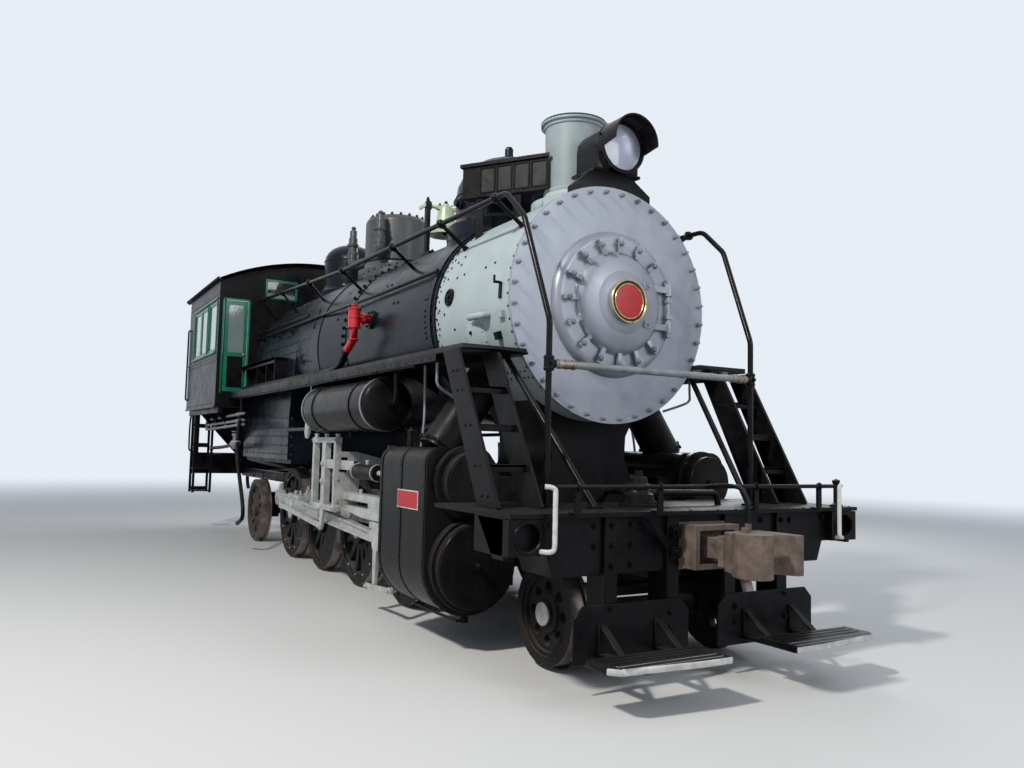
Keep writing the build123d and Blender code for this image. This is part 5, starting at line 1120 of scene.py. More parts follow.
bell = {"x": -3.42, "pivot": 4.05}
centre = at(bell["x"], 0, bell["pivot"])
bm = bmesh.new()
addTurned(bm, [(-0.292, 0.168), (-0.292, 0.188), (-0.284, 0.189), (-0.262, 0.171), (-0.262, 0.155),
               (-0.292, 0.168)], centre, sides=56)
for below, radius, thick in ((0.205, 0.123, 0.005), (0.215, 0.129, 0.004)):
    addHoop(bm, centre - Vector((0, 0, below)), up, radius, thick, 48)
finishPiece(bm, "bell_bands", "bell", "bell_green")
bm = bmesh.new()
for spot in (-0.075, 0.075):
    addBolt(bm, centre + Vector((0, spot, 0.034)), up, 0.016, 0.022)
addBolt(bm, centre + Vector((0, 0, 0.058)), up, 0.022, 0.030)
addRod(bm, centre - Vector((0, 0, 0.03)), centre - Vector((0, 0, 0.26)), 0.009, 10)
addTurned(bm, [(-0.040, 0), (-0.030, 0.024), (-0.008, 0.036), (0.014, 0.028), (0.030, 0.010), (0.032, 0)],
          centre - Vector((0, 0, 0.25)), sides=20)
for side in (-0.245, 0.225):
    addRod(bm, centre + Vector((0, side - 0.008, 0.012)), centre + Vector((0, side + 0.008, 0.012)), 0.028, 6)
finishPiece(bm, "bell_fittings", "bell", "lamp_black")
bm = bmesh.new()
for side in (-1, 1):
    for height in (3.60, 3.78, 3.95):
        addRivet(bm, at(bell["x"], side * 0.240, height), (0, side, 0), 0.011)
    for x in (-0.09, 0.09):
        addBolt(bm, at(bell["x"] + x, side * 0.19, 3.545), up, 0.014, 0.016)
    addTurned(bm, [(0, 0.020), (0.03, 0.020), (0.034, 0.013), (0.05, 0.013), (0.05, 0)],
              at(bell["x"], side * 0.220, 4.108), sides=14)
finishPiece(bm, "bell_stand_bolts", "root", "engine_black")

# Handrails: round knobs on their stanchions, feet and clamps

rail = {
    "y": 0.955, "front": (-0.390, 3.300), "turn": (-4.010, 3.350), "rear": (-7.784, 3.541),
    "posts": (-0.56, -1.50, -2.57, -4.01, -5.25, -6.50, -7.50), "foot": (0.56, 3.02),
}
crossBar = {"x": 0.18, "z": 2.009, "postY": 0.926, "couplings": (0.845, 0.790, 0.735)}


def railHeight(x):
    ahead, behind = (rail["front"], rail["turn"]) if x > rail["turn"][0] else (rail["turn"], rail["rear"])
    return ahead[1] + (behind[1] - ahead[1]) * (x - ahead[0]) / (behind[0] - ahead[0])


bm = bmesh.new()
for x in rail["posts"]:
    knob, end = at(x, rail["y"], railHeight(x)), at(x, *rail["foot"])
    stem = (end - knob).normalized()
    addTurned(bm,
              [(-0.040, 0), (-0.034, 0.022), (-0.015, 0.037), (0.010, 0.038), (0.032, 0.026), (0.046, 0.017),
                   (0.075, 0.017)], knob, stem, 18)
    foot = knob.lerp(end, 0.62)
    addTurned(bm, [(-0.03, 0.017), (-0.012, 0.026), (0.010, 0.030), (0.03, 0.030)], foot, stem, 16)
x, y, z = crossBar["x"], crossBar["postY"], crossBar["z"]
addBoltCircle(bm, at(x, y, 1.080), "z", 0.034, 4, up, 0.008, 0.010, first=45)
for height in (1.975, 2.045):
    addHoop(bm, at(x, y, height), up, 0.033, 0.006, 20)
addBolt(bm, at(x + 0.032, y, z), forward, 0.013, 0.016)
bothSides(bm)
finishPiece(bm, "handrail_knobs", "root", "lamp_black")
bm = bmesh.new()
for y in crossBar["couplings"]:
    addRod(bm, at(x, y - 0.012, z), at(x, y + 0.012, z), 0.033, 24)
addRod(bm, at(x, min(crossBar["couplings"]), z), at(x, max(crossBar["couplings"]), z), 0.029, 24)
bothSides(bm)
finishPiece(bm, "cross_bar_couplings", "root", "rail_grey", paints["tread_steel"])

# Barrel and firebox: rivet rows, plugs, straps, staybolts and pipes

barrel = {
    "bandRows": ((-1.800, 0.9275, 64, 0.0115), (-1.690, 0.9255, 64, 0.0115), (-3.865, 0.934, 72, 0.012)),
    "nutRow": (-3.945, 0.936, 66),
    "pairs": ((-3.049, 59.5), (-2.926, 60.0), (-2.626, 75.7), (-2.525, 76.0), (-2.885, 42.2), (-2.717, 43.7),
              (-4.30, 52.0), (-4.22, 74.0)),
    "step": -4.1,  # the pairs behind this sit on a wider course
    "column": (-1.84, 86.9, 102.0),
    "strap": ((-5.0, 61.6), (-4.95, 76.0)),
}
bm = bmesh.new()
for x, radius, count, size in barrel["bandRows"]:
    for step in range(count):
        addRivet(bm, *onShell(x, step * 360 / count, radius), size)
x, radius, count = barrel["nutRow"]
for step in range(count):
    addBolt(bm, *onShell(x, step * 360 / count, radius), 0.021, 0.026, washer=False)
for side in (-1, 1):
    for x, degrees in barrel["pairs"]:
        radius = 0.931 if x > barrel["step"] else 0.958
        addRivet(bm, *onShell(x, degrees, radius, side), 0.015)
    x, high, low = barrel["column"]
    for step in range(6):
        addRivet(bm, *onShell(x, high + (low - high) * step / 5, 0.927, side), 0.013)
    spot, out = onShell(x, high - 7, 0.930, side)
    addBeam(bm, spot - Vector((0.05, 0, 0)), spot + Vector((0.05, 0, 0)), 0.024, 0.010, out)
    (firstX, firstTurn), (lastX, lastTurn) = barrel["strap"]
    start, _ = onShell(firstX, firstTurn, 0.996, side)
    end, out = onShell(lastX, lastTurn, 0.996, side)
    addBeam(bm, start, end, 0.030, 0.016, out)
finishPiece(bm, "barrel_rivets", "root", "boiler_paint")

# The firebox's front seam, height and x, going up
seam = ((1.50, -5.20), (2.42, -5.20), (2.88, -5.74), (3.20, -6.10), (3.60, -6.50))


def seamX(height):
    for (low, front), (high, back) in zip(seam, seam[1:]):
        if height <= high:
            return front + (back - front) * (height - low) / (high - low)
    return seam[-1][1]


stays = {
    "rows": (26, 33, 40, 47, 54, 61, 68, 75, 82, 89), "pitch": 0.105, "end": -7.72,
    "radius": 0.985, "head": 0.016,
    "domeAway": 0.24,  # square of the distance that the caps keep from the rear dome
    "wallY": 1.05, "wallRows": 5, "wallHead": 0.014,
}
bm = bmesh.new()
for side in (-1, 1):
    for index, degrees in enumerate(stays["rows"]):
        spot, _ = onShell(0, degrees, stays["radius"], side)
        x = seamX(spot.z - flangeDepth) - 0.10 - (index % 2) * stays["pitch"] / 2
        while x > stays["end"]:
            if (x - domes["rear_dome"][0]) ** 2 + spot.y ** 2 > stays["domeAway"]:
                addRivet(bm, *onShell(x, degrees, stays["radius"], side), stays["head"], 0.8)
            x -= stays["pitch"]
spots = [(x, 1.30 + row * 0.11) for x in (-5.40, -5.60, -5.80) for row in range(stays["wallRows"])]
spots += [(-5.66 - step * 0.125, 1.30 + row * 0.115)
          for row in range(stays["wallRows"]) for step in range(18)]
for x, height in spots:
    for side in (-1, 1):
        addRivet(bm, at(x, side * stays["wallY"], height), (0, side, 0), stays["wallHead"])
finishPiece(bm, "staybolt_caps", "root", "boiler_paint")

checkValve = {"x": -3.13, "y": 1.11, "rims": ((2.602, 0.070), (2.788, 0.070), (2.700, 0.066), (2.482, 0.048))}
bm = bmesh.new()
for side in (-1, 1):
    for x in (-5.95, -6.55, -7.15, -7.6):
        spot, out = onShell(x, 71.5, 0.982, side)
        addTurned(bm, [(0, 0), (0, 0.048), (0.016, 0.044), (0.018, 0.026), (0.045, 0.024),
                       (0.045, 0)], spot, out, 20)
    for step in range(22):
        height = 2.05 + step / 21 * 1.42
        away = (1.001 ** 2 - (height - boilerHeight) ** 2) ** 0.5
        addRivet(bm, at(seamX(height) + 0.035, side * away, height),
                 (0, side * away, height - boilerHeight), 0.010)
    spot, out = onShell(checkValve["x"], 82.2, 0.925, side)
    addTurned(bm, [(0, 0), (0, 0.095), (0.030, 0.095), (0.034, 0.080), (0.034, 0)], spot, out, 28)
    for step in range(6):
        place, _ = around(Vector((0, 0, 0.032)), 0.080, step * 60, "z")
        addBolt(bm, spot + facing(out) @ place, out, 0.012, 0.014, washer=False)
finishPiece(bm, "washout_plugs", "root", "boiler_paint")

bm = bmesh.new()
for side in (-1, 1):
    x, y = checkValve["x"], side * checkValve["y"]
    for height, radius in checkValve["rims"]:
        addHoop(bm, at(x, y, height), up, radius - 0.004, 0.008, 28)
    addRod(bm, at(x, y, 2.82), at(x, y, 2.846), 0.036, 6)
    addRod(bm, at(x, side * 1.01, 2.70), at(x, side * 1.035, 2.70), 0.066, 6)
    addBoltCircle(bm, at(x, y, 2.790), "z", 0.052, 6, up, 0.010, 0.013)
finishPiece(bm, "check_valve_nuts", "root", "valve_red")
addPipes("feed_pipes", bothRoutes(
    ((-3.28, 1.11, 2.41), (-3.36, 1.11, 2.37), (-3.50, 1.11, 2.24), (-3.80, 1.12, 2.21), (-5.0, 1.13, 2.21),
     (-7.0, 1.13, 2.21), (-7.80, 1.13, 2.21)),
), 0.034, "root", "engine_black")
conduits = {
    "onShell": ((-1.70, 66, 0.960), (-3.2, 67, 0.966), (-4.4, 68, 1.000),
                (-5.2, 68, 1.022), (-7.78, 68, 1.022)),
    "upper": ((-5.30, 3.02), (-6.2, 3.03), (-7.78, 3.04)), "upperY": 0.93,
}
routes = []
for side in (-1, 1):
    routes.append([onShell(*place, side)[0] for place in conduits["onShell"]])
    routes.append([at(x, side * conduits["upperY"], z) for x, z in conduits["upper"]])
addPipes("boiler_conduits", routes, 0.017, "root", "lamp_black")
print("boiler fittings made")

# Wheels, rods and valve gear

casing = {
    "y": 1.056, "z": 0.597, "radius": 0.3655, "corner": 0.120, "top": 1.4365, "inner": 0.99,
    "chestY": 1.120, "chestZ": 1.190,
    "bands": (-0.655, -1.075, -1.465), "width": 0.036, "thick": 0.004, "rivet": 0.008,
    "drain": (-1.44, -0.68), "steamPipe": ((-1.06, 1.130, 1.405), (-1.06, 0.585, 2.18)),
}
gear = {
    "drivers": (-2.380, -3.615, -4.850, -6.085), "driverRadius": 0.559, "crank": 0.305,
    "crankTurn": {1: 235.6, -1: 145.6}, "mainDriver": 2, "rodFace": 0.945, "mainRod": 2.8, "cylinderZ": 0.597,
    "leadRadius": 0.340, "trailX": -8.060, "trailRadius": 0.445,
    "joints": ((1, 0.175), (2, -0.190)),  # between the side rods: by which pin, and how far from it
    "rodMiddle": 1.056, "webFace": 1.1405, "webReach": 0.235, "webTurn": 187 - 145.6,
}
sideNames = {1: "left", -1: "right"}


def swung(x, z, radius, degrees):
    return x + radius * cos(radians(degrees)), z + radius * sin(radians(degrees))


def crankPin(index, side):
    return swung(gear["drivers"][index], gear["driverRadius"], gear["crank"], gear["crankTurn"][side])


def wristX(side):
    x, z = crankPin(gear["mainDriver"], side)
    return x + (gear["mainRod"] ** 2 - (z - gear["cylinderZ"]) ** 2) ** 0.5


def addCup(bm, place, way=up, size=0.020):
    addTurned(bm, [(-0.006, 0), (-0.006, size * 0.6), (0.004, size), (0.028, size),
                   (0.031, size * 1.18), (0.038, size * 1.18),
                   (0.043, size * 0.5), (0.044, 0)], place, way, 14)


wheelSets = [("driving_axle_%d" % (index + 1), x, gear["driverRadius"])
             for index, x in enumerate(gear["drivers"])]
wheelSets += [("leading_wheels", 0.0, gear["leadRadius"]),
              ("trailing_wheels", gear["trailX"], gear["trailRadius"])]
for name, x, radius in wheelSets:
    hub = at(x, 0, radius)
    paintFaces(shells[name], "tread_steel", lambda centre, normal: abs(normal.y) < 0.3
               and ((centre - hub) * Vector((1, 0, 1))).length > radius - 0.008)

for index, x in enumerate(gear["drivers"]):
    bm = bmesh.new()
    for side in (-1, 1):
        hub = at(x, side * 0.834, gear["driverRadius"])
        addTurned(bm, [(0, 0), (0, 0.092), (0.004, 0.092), (0.006, 0.086), (0.004, 0.030), (0.001, 0.026),
                       (0.001, 0)], hub, (0, side, 0), 28)
        for step in range(13):
            place, _ = around(at(x, side * 0.806, gear["driverRadius"]), 0.474, step * 360 / 13 + 14, "y")
            addRivet(bm, place, (0, side, 0), 0.011)
        if index != gear["mainDriver"]:
            (px, pz), face = crankPin(index, side), gear["rodFace"]
            addTurned(bm, [(-0.004, 0), (-0.004, 0.070), (0.006, 0.070), (0.009, 0.062), (0.009, 0)],
                      at(px, side * face, pz), (0, side, 0), 24)
            addRod(bm, at(px, side * (face + 0.008), pz), at(px, side * (face + 0.020), pz), 0.030, 6)
    slot = "wheel_black" if index == gear["mainDriver"] else "rod_grey"
    finishPiece(bm, "driver_caps_%d" % (index + 1), "driving_axle_%d" % (index + 1), slot)

bm = bmesh.new()
for side in (-1, 1):
    radius, out = gear["leadRadius"], (0, side, 0)
    addTurned(bm, [(0, 0.06), (0, 0.134), (0.020, 0.130), (0.026, 0.118), (0.030, 0.094), (0.030, 0.06),
                   (0, 0.06)], at(0, side * 0.772, radius), out, 40)
    for step in range(8):
        place, _ = around(at(0, side * 0.775, radius), 0.178, step * 45, "y")
        addHoop(bm, place, out, 0.041, 0.005, 18)
    for step in range(24):
        place, _ = around(at(0, side * 0.800, radius), 0.262, step * 15, "y")
        addRivet(bm, place, out, 0.007)
finishPiece(bm, "leading_wheel_hubs", "leading_wheels", "wheel_black")
bm = bmesh.new()
for side in (-1, 1):
    addTurned(bm,
              [(-0.004, 0), (-0.004, 0.078), (0.008, 0.078), (0.012, 0.070), (0.012, 0.018), (0.016, 0.014),
                   (0.016, 0)], at(0, side * 0.820, gear["leadRadius"]), (0, side, 0), 36)
finishPiece(bm, "leading_wheel_caps", "leading_wheels", "rod_grey")
bm = bmesh.new()
for side in (-1, 1):
    hub = at(gear["trailX"], side * 0.822, gear["trailRadius"])
    addTurned(bm, [(-0.002, 0), (-0.002, 0.080), (0.010, 0.078), (0.014, 0.06), (0.010, 0.02), (0.010, 0)],
              hub, (0, side, 0), 32)
    addBoltCircle(bm, hub, "y", 0.092, 6, (0, side, 0), 0.009, 0.010)
finishPiece(bm, "trailing_wheel_caps", "trailing_wheels", "trailing_wheel")

for side, name in sideNames.items():
    bm = bmesh.new()
    for index in range(4):
        px, pz = crankPin(index, side)
        pin = 0.078 if index == gear["mainDriver"] else 0.058
        addCup(bm, at(px, side * 0.900, pz + pin + 0.080))
        addHoop(bm, at(px, side * gear["rodFace"], pz), (0, side, 0), pin + 0.022, 0.0035, 32)
        for spot in (-0.024, 0.024):
            z = pz - pin - 0.030
            addRod(bm, at(px + spot, side * 0.944, z), at(px + spot, side * 0.949, z), 0.007, 6)
    for index, shift in gear["joints"]:
        px, pz = crankPin(index, side)
        addRod(bm, at(px + shift, side * 0.940, pz), at(px + shift, side * 0.946, pz), 0.046, 24)
        addRod(bm, at(px + shift, side * 0.940, pz), at(px + shift, side * 0.950, pz), 0.028, 6)
    finishPiece(bm, "side_rod_cups_" + name, "side_rods_" + name, "rod_grey")

    bm = bmesh.new()
    px, pz = crankPin(gear["mainDriver"], side)
    eyeX, eyeZ = wristX(side), gear["cylinderZ"]
    run = Vector((px - eyeX, 0, pz - eyeZ)).normalized()
    rise = Vector((-run.z, 0, run.x))
    if rise.z < 0:
        rise = -rise
    eye = at(eyeX, side * 1.101, eyeZ)
    for along in (gear["mainRod"] - 0.262, gear["mainRod"] - 0.150):
        for high in (-0.083, 0.083):
            addBolt(bm, eye + run * along + rise * high, (0, side, 0), 0.017, 0.013)
    middle = at(eyeX, side * gear["rodMiddle"], eyeZ)
    for high in (-0.150, 0.150):
        addBolt(bm, middle + run * (gear["mainRod"] - 0.194) + rise * high, rise * high, 0.016, 0.018)
    addCup(bm, middle + run * (gear["mainRod"] - 0.02) + rise * 0.112, rise, 0.022)
    addHoop(bm, eye, (0, side, 0), 0.066, 0.003, 32)
    for along in (0.16, 1.2, 2.2):
        for face in (-1, 1):
            addRivet(bm, eye + run * along + rise * face * 0.037, (0, side, 0), 0.005)
    webX, webZ = swung(px, pz, gear["webReach"], gear["webTurn"] + gear["crankTurn"][side])
    addRod(bm, at(webX, side * 1.138, webZ), at(webX, side * 1.1425, webZ), 0.036, 20)
    face = at(px, side * gear["webFace"], pz)
    addBeam(bm, face - rise * 0.05, face + rise * 0.05, 0.016, 0.004, leftward)
    finishPiece(bm, "main_rod_fittings_" + name, "main_rod_" + name, "rod_grey")

    bm = bmesh.new()
    wx, wz = wristX(side), gear["cylinderZ"]
    for along in (-0.19, -0.06, 0.07):
        addBolt(bm, at(wx + along, side * 1.122, 0.877), (0, side, 0), 0.011, 0.007, washer=False)
    addTurned(bm, [(0, 0.043), (0, 0.062), (0.018, 0.060), (0.024, 0.050), (0.024, 0.043), (0, 0.043)],
              at(wx + 0.130, side * gear["rodMiddle"], wz), forward, 28)
    addHoop(bm, at(wx, side * 1.1335, wz), (0, side, 0), 0.040, 0.0025, 28)
    addBeam(bm, at(wx + 0.112, side * 0.985, 0.60), at(wx + 0.112, side * 1.127, 0.60), 0.008, 0.020, up)
    finishPiece(bm, "crosshead_bolts_" + name, "crosshead_" + name, "rod_grey")

# Valve gear: its pins, the link's bracket, oil cups and the guides' bolts

wx = wristX(-1)
link = {"x": -3.720, "face": 1.178, "bracket": (-4.069, -3.371), "bracketZ": (0.797, 1.483)}
pins = (
    # x, z, outer face, pin radius
    (wx + 0.520, 0.235, 1.196, 0.024), (wx, 0.200, 1.196, 0.022), (wx + 0.300, 1.225, 1.166, 0.030),
    (-3.760, 0.590, 1.177, 0.030), (link["x"], 1.060, link["face"], 0.036),
    (link["x"], 1.240, link["face"], 0.030),
)
bm = bmesh.new()
for x, z, face, radius in pins:
    addRod(bm, at(x, face - 0.004, z), at(x, face + 0.006, z), radius * 1.25, 20)
    addRod(bm, at(x, face + 0.005, z), at(x, face + 0.022, z), radius * 0.8, 6)
    addRod(bm, at(x, face + 0.022, z), at(x, face + 0.028, z), radius * 0.42, 8)
rear, front = link["bracket"]
for x in (rear, link["x"], front):
    for z in link["bracketZ"]:
        for spot in (-0.018, 0.018):
            addBolt(bm, at(x + spot, 1.184, z), leftward, 0.009, 0.010, washer=False)
    addCup(bm, at(x, 1.148, 1.510), size=0.022)
for x in (rear, front):
    for step in range(5):
        addRivet(bm, at(x, link["face"], 0.88 + step * 0.13), leftward, 0.009)
y, z = casing["chestY"], casing["chestZ"]
addCup(bm, at(-2.58, y, 1.258))
for x in (-2.83, -2.33):
    addHoop(bm, at(x, y, z), forward, 0.072, 0.007, 28)
addHoop(bm, at(-1.623, y, z), forward, 0.050, 0.010, 24)
bothSides(bm)
finishPiece(bm, "valve_gear_pins", "root", "rod_grey")

bm = bmesh.new()
for x in (-1.75, -2.30, -2.90):
    addCup(bm, at(x, gear["rodMiddle"], 0.974), size=0.018)
for x in (-1.58, -3.215):
    for y in (1.018, 1.094):
        addBolt(bm, at(x, y, 0.975), up, 0.013, 0.014)
for y, z in ((0.53, 1.17), (0.74, 1.24), (0.98, 1.33), (1.20, 1.33), (1.20, 0.88),
             (1.20, 1.10), (1.00, 0.88)):
    for x, way in ((-3.200, 1), (-3.240, -1)):
        addBolt(bm, at(x, y, z), (way, 0, 0), 0.015, 0.014)
bothSides(bm)
finishPiece(bm, "guide_bolts", "root", nodeSlots["guides"])
print("running gear made")

# Cylinders and steam chests

bm = bmesh.new()
outer, corner, lift = casing["y"] + casing["radius"], casing["corner"], casing["thick"] * 0.8
shape = [swung(casing["y"], casing["z"], casing["radius"], degrees) for degrees in range(-165, 1, 11)]
shape += [swung(outer - corner, casing["top"] - corner, corner, degrees) for degrees in range(0, 91, 15)]
shape.append((casing["inner"], casing["top"]))
for x in casing["bands"]:
    part = bmesh.new()
    verts = [part.verts.new(at(x - casing["width"] / 2, y, z)) for y, z in shape]
    edges = [part.edges.new(ends) for ends in zip(verts, verts[1:])]
    grown = bmesh.ops.extrude_edge_only(part, edges=edges)["geom"]
    moved = [item for item in grown if isinstance(item, bmesh.types.BMVert)]
    bmesh.ops.translate(part, verts=moved, vec=(casing["width"], 0, 0))
    bmesh.ops.recalc_face_normals(part, faces=part.faces)
    bmesh.ops.solidify(part, geom=part.faces[:], thickness=-casing["thick"])
    addPart(bm, part)
    for z in (0.62, 0.80, 0.98, 1.16, 1.30):
        addRivet(bm, at(x, outer + lift, z), leftward, casing["rivet"])
    for degrees in (-20, -45, -70, -95, -120):
        spot, out = around(at(x, casing["y"], casing["z"]), casing["radius"] + lift, degrees)
        addRivet(bm, spot, out, casing["rivet"])
bothSides(bm)
finishPiece(bm, "casing_bands", "root", "engine_black")

bm = bmesh.new()
y, z = casing["y"], casing["z"]
addHoop(bm, at(-0.505, y, z), forward, 0.303, 0.006, 64)
addBolt(bm, at(-0.496, y, z), forward, 0.024, 0.040)
addHoop(bm, at(-0.562, y, z), forward, 0.327, 0.006, 64)
addBoltCircle(bm, at(-1.535, y, z), "x", 0.268, 12, rearward, 0.016, 0.020, first=15, washer=True)
for x in casing["drain"]:
    addRod(bm, at(x, y, 0.175), at(x, y, 0.215), 0.030, 6)
    addRod(bm, at(x, y, 0.19), at(x, 1.12, 0.19), 0.010, 10)
rear, front = casing["drain"]
addBeam(bm, at(rear, 1.118, 0.19), at(front, 1.118, 0.19), 0.012, 0.020)
y, z = casing["chestY"], casing["chestZ"]
addHoop(bm, at(-0.462, y, z), forward, 0.209, 0.006, 56)
addHoop(bm, at(-0.552, y, z), forward, 0.255, 0.006, 56)
addBolt(bm, at(-0.455, y, z), forward, 0.022, 0.034)
addBoltCircle(bm, at(-1.530, y, z), "x", 0.200, 10, rearward, 0.014, 0.018, washer=True)
bothSides(bm)
finishPiece(bm, "cylinder_fittings", "root", "engine_black")

relief = {"place": (-1.44, 1.190), "coils": 6, "coilZ": 1.462, "pitch": 0.015}
bm = bmesh.new()
for step in range(relief["coils"]):
    addHoop(bm, at(*relief["place"], relief["coilZ"] + step * relief["pitch"]), up, 0.0265, 0.005, 16)
addRod(bm, at(*relief["place"], 1.43), at(*relief["place"], relief["coilZ"]), 0.036, 6)
addTurned(bm, [(1.545, 0), (1.545, 0.032), (1.560, 0.034), (1.572, 0.022), (1.590, 0.012), (1.592, 0)],
          at(*relief["place"], 0), sides=18)
foot, head = (at(*place) for place in casing["steamPipe"])
way = (head - foot).normalized()
for share, radius in ((0.035, 0.176), (0.90, 0.174)):
    spot = foot.lerp(head, share)
    addHoop(bm, spot, way, 0.156, 0.016, 48)
    for step in range(10):
        place = spot + facing(way) @ around(Vector((0, 0, 0)), radius, step * 36, "z")[0]
        addBolt(bm, place - way * 0.012, way, 0.010, 0.022, washer=False)
bothSides(bm)
finishPiece(bm, "relief_springs", "root", "engine_black")

plate = {
    "x": (-1.115, -0.755), "z": (0.990, 1.110), "y": 1.4215,
    "layers": (("casing_plate_rim", 0.008, 0.004, "white_edge"), ("casing_plate", 0.0, 0.006, "plate_red")),
}
(rear, front), (low, high) = plate["x"], plate["z"]
for name, grow, thick, paint in plate["layers"]:
    bm = bmesh.new()
    for side in (-1, 1):
        near, far = sorted((side * (plate["y"] - 0.002), side * (plate["y"] + thick)))
        addBox(bm, at(rear - grow, near, low - grow), at(front + grow, far, high + grow))
    softenEdges(bm, 0.001)
    finishPiece(bm, name, "root", "silver_paint", paints[paint])
print("cylinders made")

# Running boards, air tanks, pump and pipes

board = {
    "edgeY": 1.340, "edgeZ": 2.088, "edgeStart": -0.80, "edgeRivets": 47, "pitch": 0.15, "top": 2.155,
    "brackets": (-0.80, -2.00, -3.05, -4.10, -5.20, -6.60), "bracketY": (1.00, 1.12, 1.24),
    "stepStart": -6.02, "stepRivets": 12,
}
bm = bmesh.new()
for step in range(board["edgeRivets"]):
    x = board["edgeStart"] - step * board["pitch"]
    addRivet(bm, at(x, board["edgeY"], board["edgeZ"]), leftward, 0.010)
for x in board["brackets"]:
    for y in board["bracketY"]:
        addBolt(bm, at(x + 0.016, y, 2.085), forward, 0.012, 0.012)
        addRivet(bm, at(x + 0.008, y, board["top"]), up, 0.012, 0.4)
for step in range(board["stepRivets"]):
    addRivet(bm, at(board["stepStart"] - step * board["pitch"], 1.152, 2.540), up, 0.010, 0.5)
addBox(bm, at(-7.76, 1.150, 2.470), at(-5.955, 1.160, 2.541))
addBox(bm, at(-5.965, 0.95, board["top"]), at(-5.950, 1.156, 2.541))
for x in (-6.9, -6.4):
    addBox(bm, at(x, 1.02, board["top"]), at(x + 0.014, 1.152, 2.505))
bothSides(bm)
finishPiece(bm, "board_rivets", "root", nodeSlots["running_boards"])

tank = {
    "y": 1.185, "z": 1.800, "radius": 0.233, "front": -1.996, "rear": -3.784, "crown": 0.075,
    "hangers": (-2.35, -3.43), "drain": -2.9, "bands": (-2.035, -3.745),
}
y, z = tank["y"], tank["z"]
turns = [radians(degrees) for degrees in range(0, 91, 10)]
profile = [(tank["crown"] * sin(turn), tank["radius"] * cos(turn)) for turn in turns]
bm = bmesh.new()
for x, way in ((tank["front"], 1), (tank["rear"], -1)):
    addTurned(bm, profile + [(0, 0)], at(x, y, z), (way, 0, 0), 48)
    addRod(bm, at(x + way * 0.070, y, z), at(x + way * 0.100, y, z), 0.032, 6)
for x in tank["hangers"]:
    addRod(bm, at(x, y - 0.03, 2.05), at(x, y + 0.03, 2.05), 0.016, 6)
    for shift in (-0.030, 0.030):
        addBolt(bm, at(x, y + shift, 2.108), down, 0.013, 0.014)
addRod(bm, at(tank["drain"], y, z - 0.232), at(tank["drain"], y, z - 0.30), 0.014, 10)
addBeam(bm, at(tank["drain"], y - 0.04, 1.515), at(tank["drain"], y + 0.04, 1.515), 0.012, 0.008)
bothSides(bm)
finishPiece(bm, "tank_ends", "root", "engine_black")
bm = bmesh.new()
for x in tank["bands"]:
    addRing(bm, at(x, y, z), forward, 0.2325, 0.2385, -0.014, 0.014, 56)
bothSides(bm)
finishPiece(bm, "tank_bands", "root", "rail_grey")
addPipes("board_pipes", bothRoutes(
    ((-1.90, y, 1.80), (-1.83, y, 1.80), (-1.80, y, 1.86), (-1.80, y, 1.98), (-1.80, y, 2.12)),
    ((-3.88, y, 1.80), (-3.96, y, 1.80), (-3.98, y, 1.72), (-4.00, y, 1.62),
     (-4.20, y, 1.60), (-5.2, 1.16, 1.60)),
    ((-1.20, 1.27, 2.075), (-3.0, 1.27, 2.075), (-5.0, 1.27, 2.072), (-7.70, 1.27, 2.07)),
), 0.022, "root", "lamp_black")
addPipes("thin_pipes", bothRoutes(
    ((-0.86, 1.25, 2.115), (-0.86, 1.25, 1.96), (-0.85, 1.25, 1.90),
     (-0.87, 1.18, 1.86), (-0.95, 1.02, 1.80)),
    ((-1.44, 1.10, 1.44), (-1.44, 1.08, 1.60), (-1.50, 1.05, 1.80), (-1.52, 1.05, 2.11)),
    ((-2.10, 1.225, 2.095), (-4.0, 1.225, 2.095), (-7.70, 1.225, 2.09)),
), 0.011, "root", "rail_grey")

pump = {
    "x": -2.5, "y": 1.215, "ribs": (2.350, 2.375, 2.400, 2.425, 2.450, 2.475, 2.500), "rims": (2.560, 2.765),
    "flanges": ((2.830, 1), (2.330, 1), (2.770, -1), (2.290, -1)),
}
x, y = pump["x"], pump["y"]
bm = bmesh.new()
for height in pump["ribs"]:
    addRing(bm, at(x, y, height), up, 0.163, 0.180, -0.006, 0.006, 40)
for height in pump["rims"]:
    addHoop(bm, at(x, y, height), up, 0.166, 0.008, 40)
for height, way in pump["flanges"]:
    addBoltCircle(bm, at(x, y, height), "z", 0.172, 12, (0, 0, way), 0.010, 0.012)
addTurned(bm, [(2.828, 0), (2.828, 0.075), (2.870, 0.070), (2.885, 0.045), (2.930, 0.040), (2.935, 0)],
          at(x, y, 0), sides=28)
addRod(bm, at(x, y + 0.15, 2.66), at(x, y + 0.20, 2.66), 0.035, 16)
finishPiece(bm, "pump_ribs", "root", nodeSlots["air_pump"])
addPipes("pump_pipes", [
    [at(-2.5, 1.02, 2.86), at(-2.5, 0.95, 2.90), at(-2.5, 0.86, 2.98),
     at(-2.9, 0.84, 3.04), at(-4.6, 0.86, 3.06)],
    [at(-2.5, 1.215, 2.93), at(-2.5, 1.215, 2.99), at(-2.5, 1.12, 3.00),
     at(-2.5, 1.0, 2.99), at(-2.5, 0.80, 2.98)],
    [at(-2.5, 1.40, 2.66), at(-2.5, 1.45, 2.66), at(-2.5, 1.46, 2.60), at(-2.52, 1.42, 2.30),
     at(-2.60, 1.30, 2.20), at(-2.62, 1.28, 2.14)],
    [at(-2.38, 1.215, 2.31), at(-2.20, 1.215, 2.31), at(-2.15, 1.215, 2.28), at(-2.15, 1.215, 2.14)],
], 0.024, "root", "engine_black")
print("boards, tanks and pump made")

# The valve stems' guides are black on the grey valve gear

stemGuide = {"x": (-2.875, -2.285), "reach": 0.075}


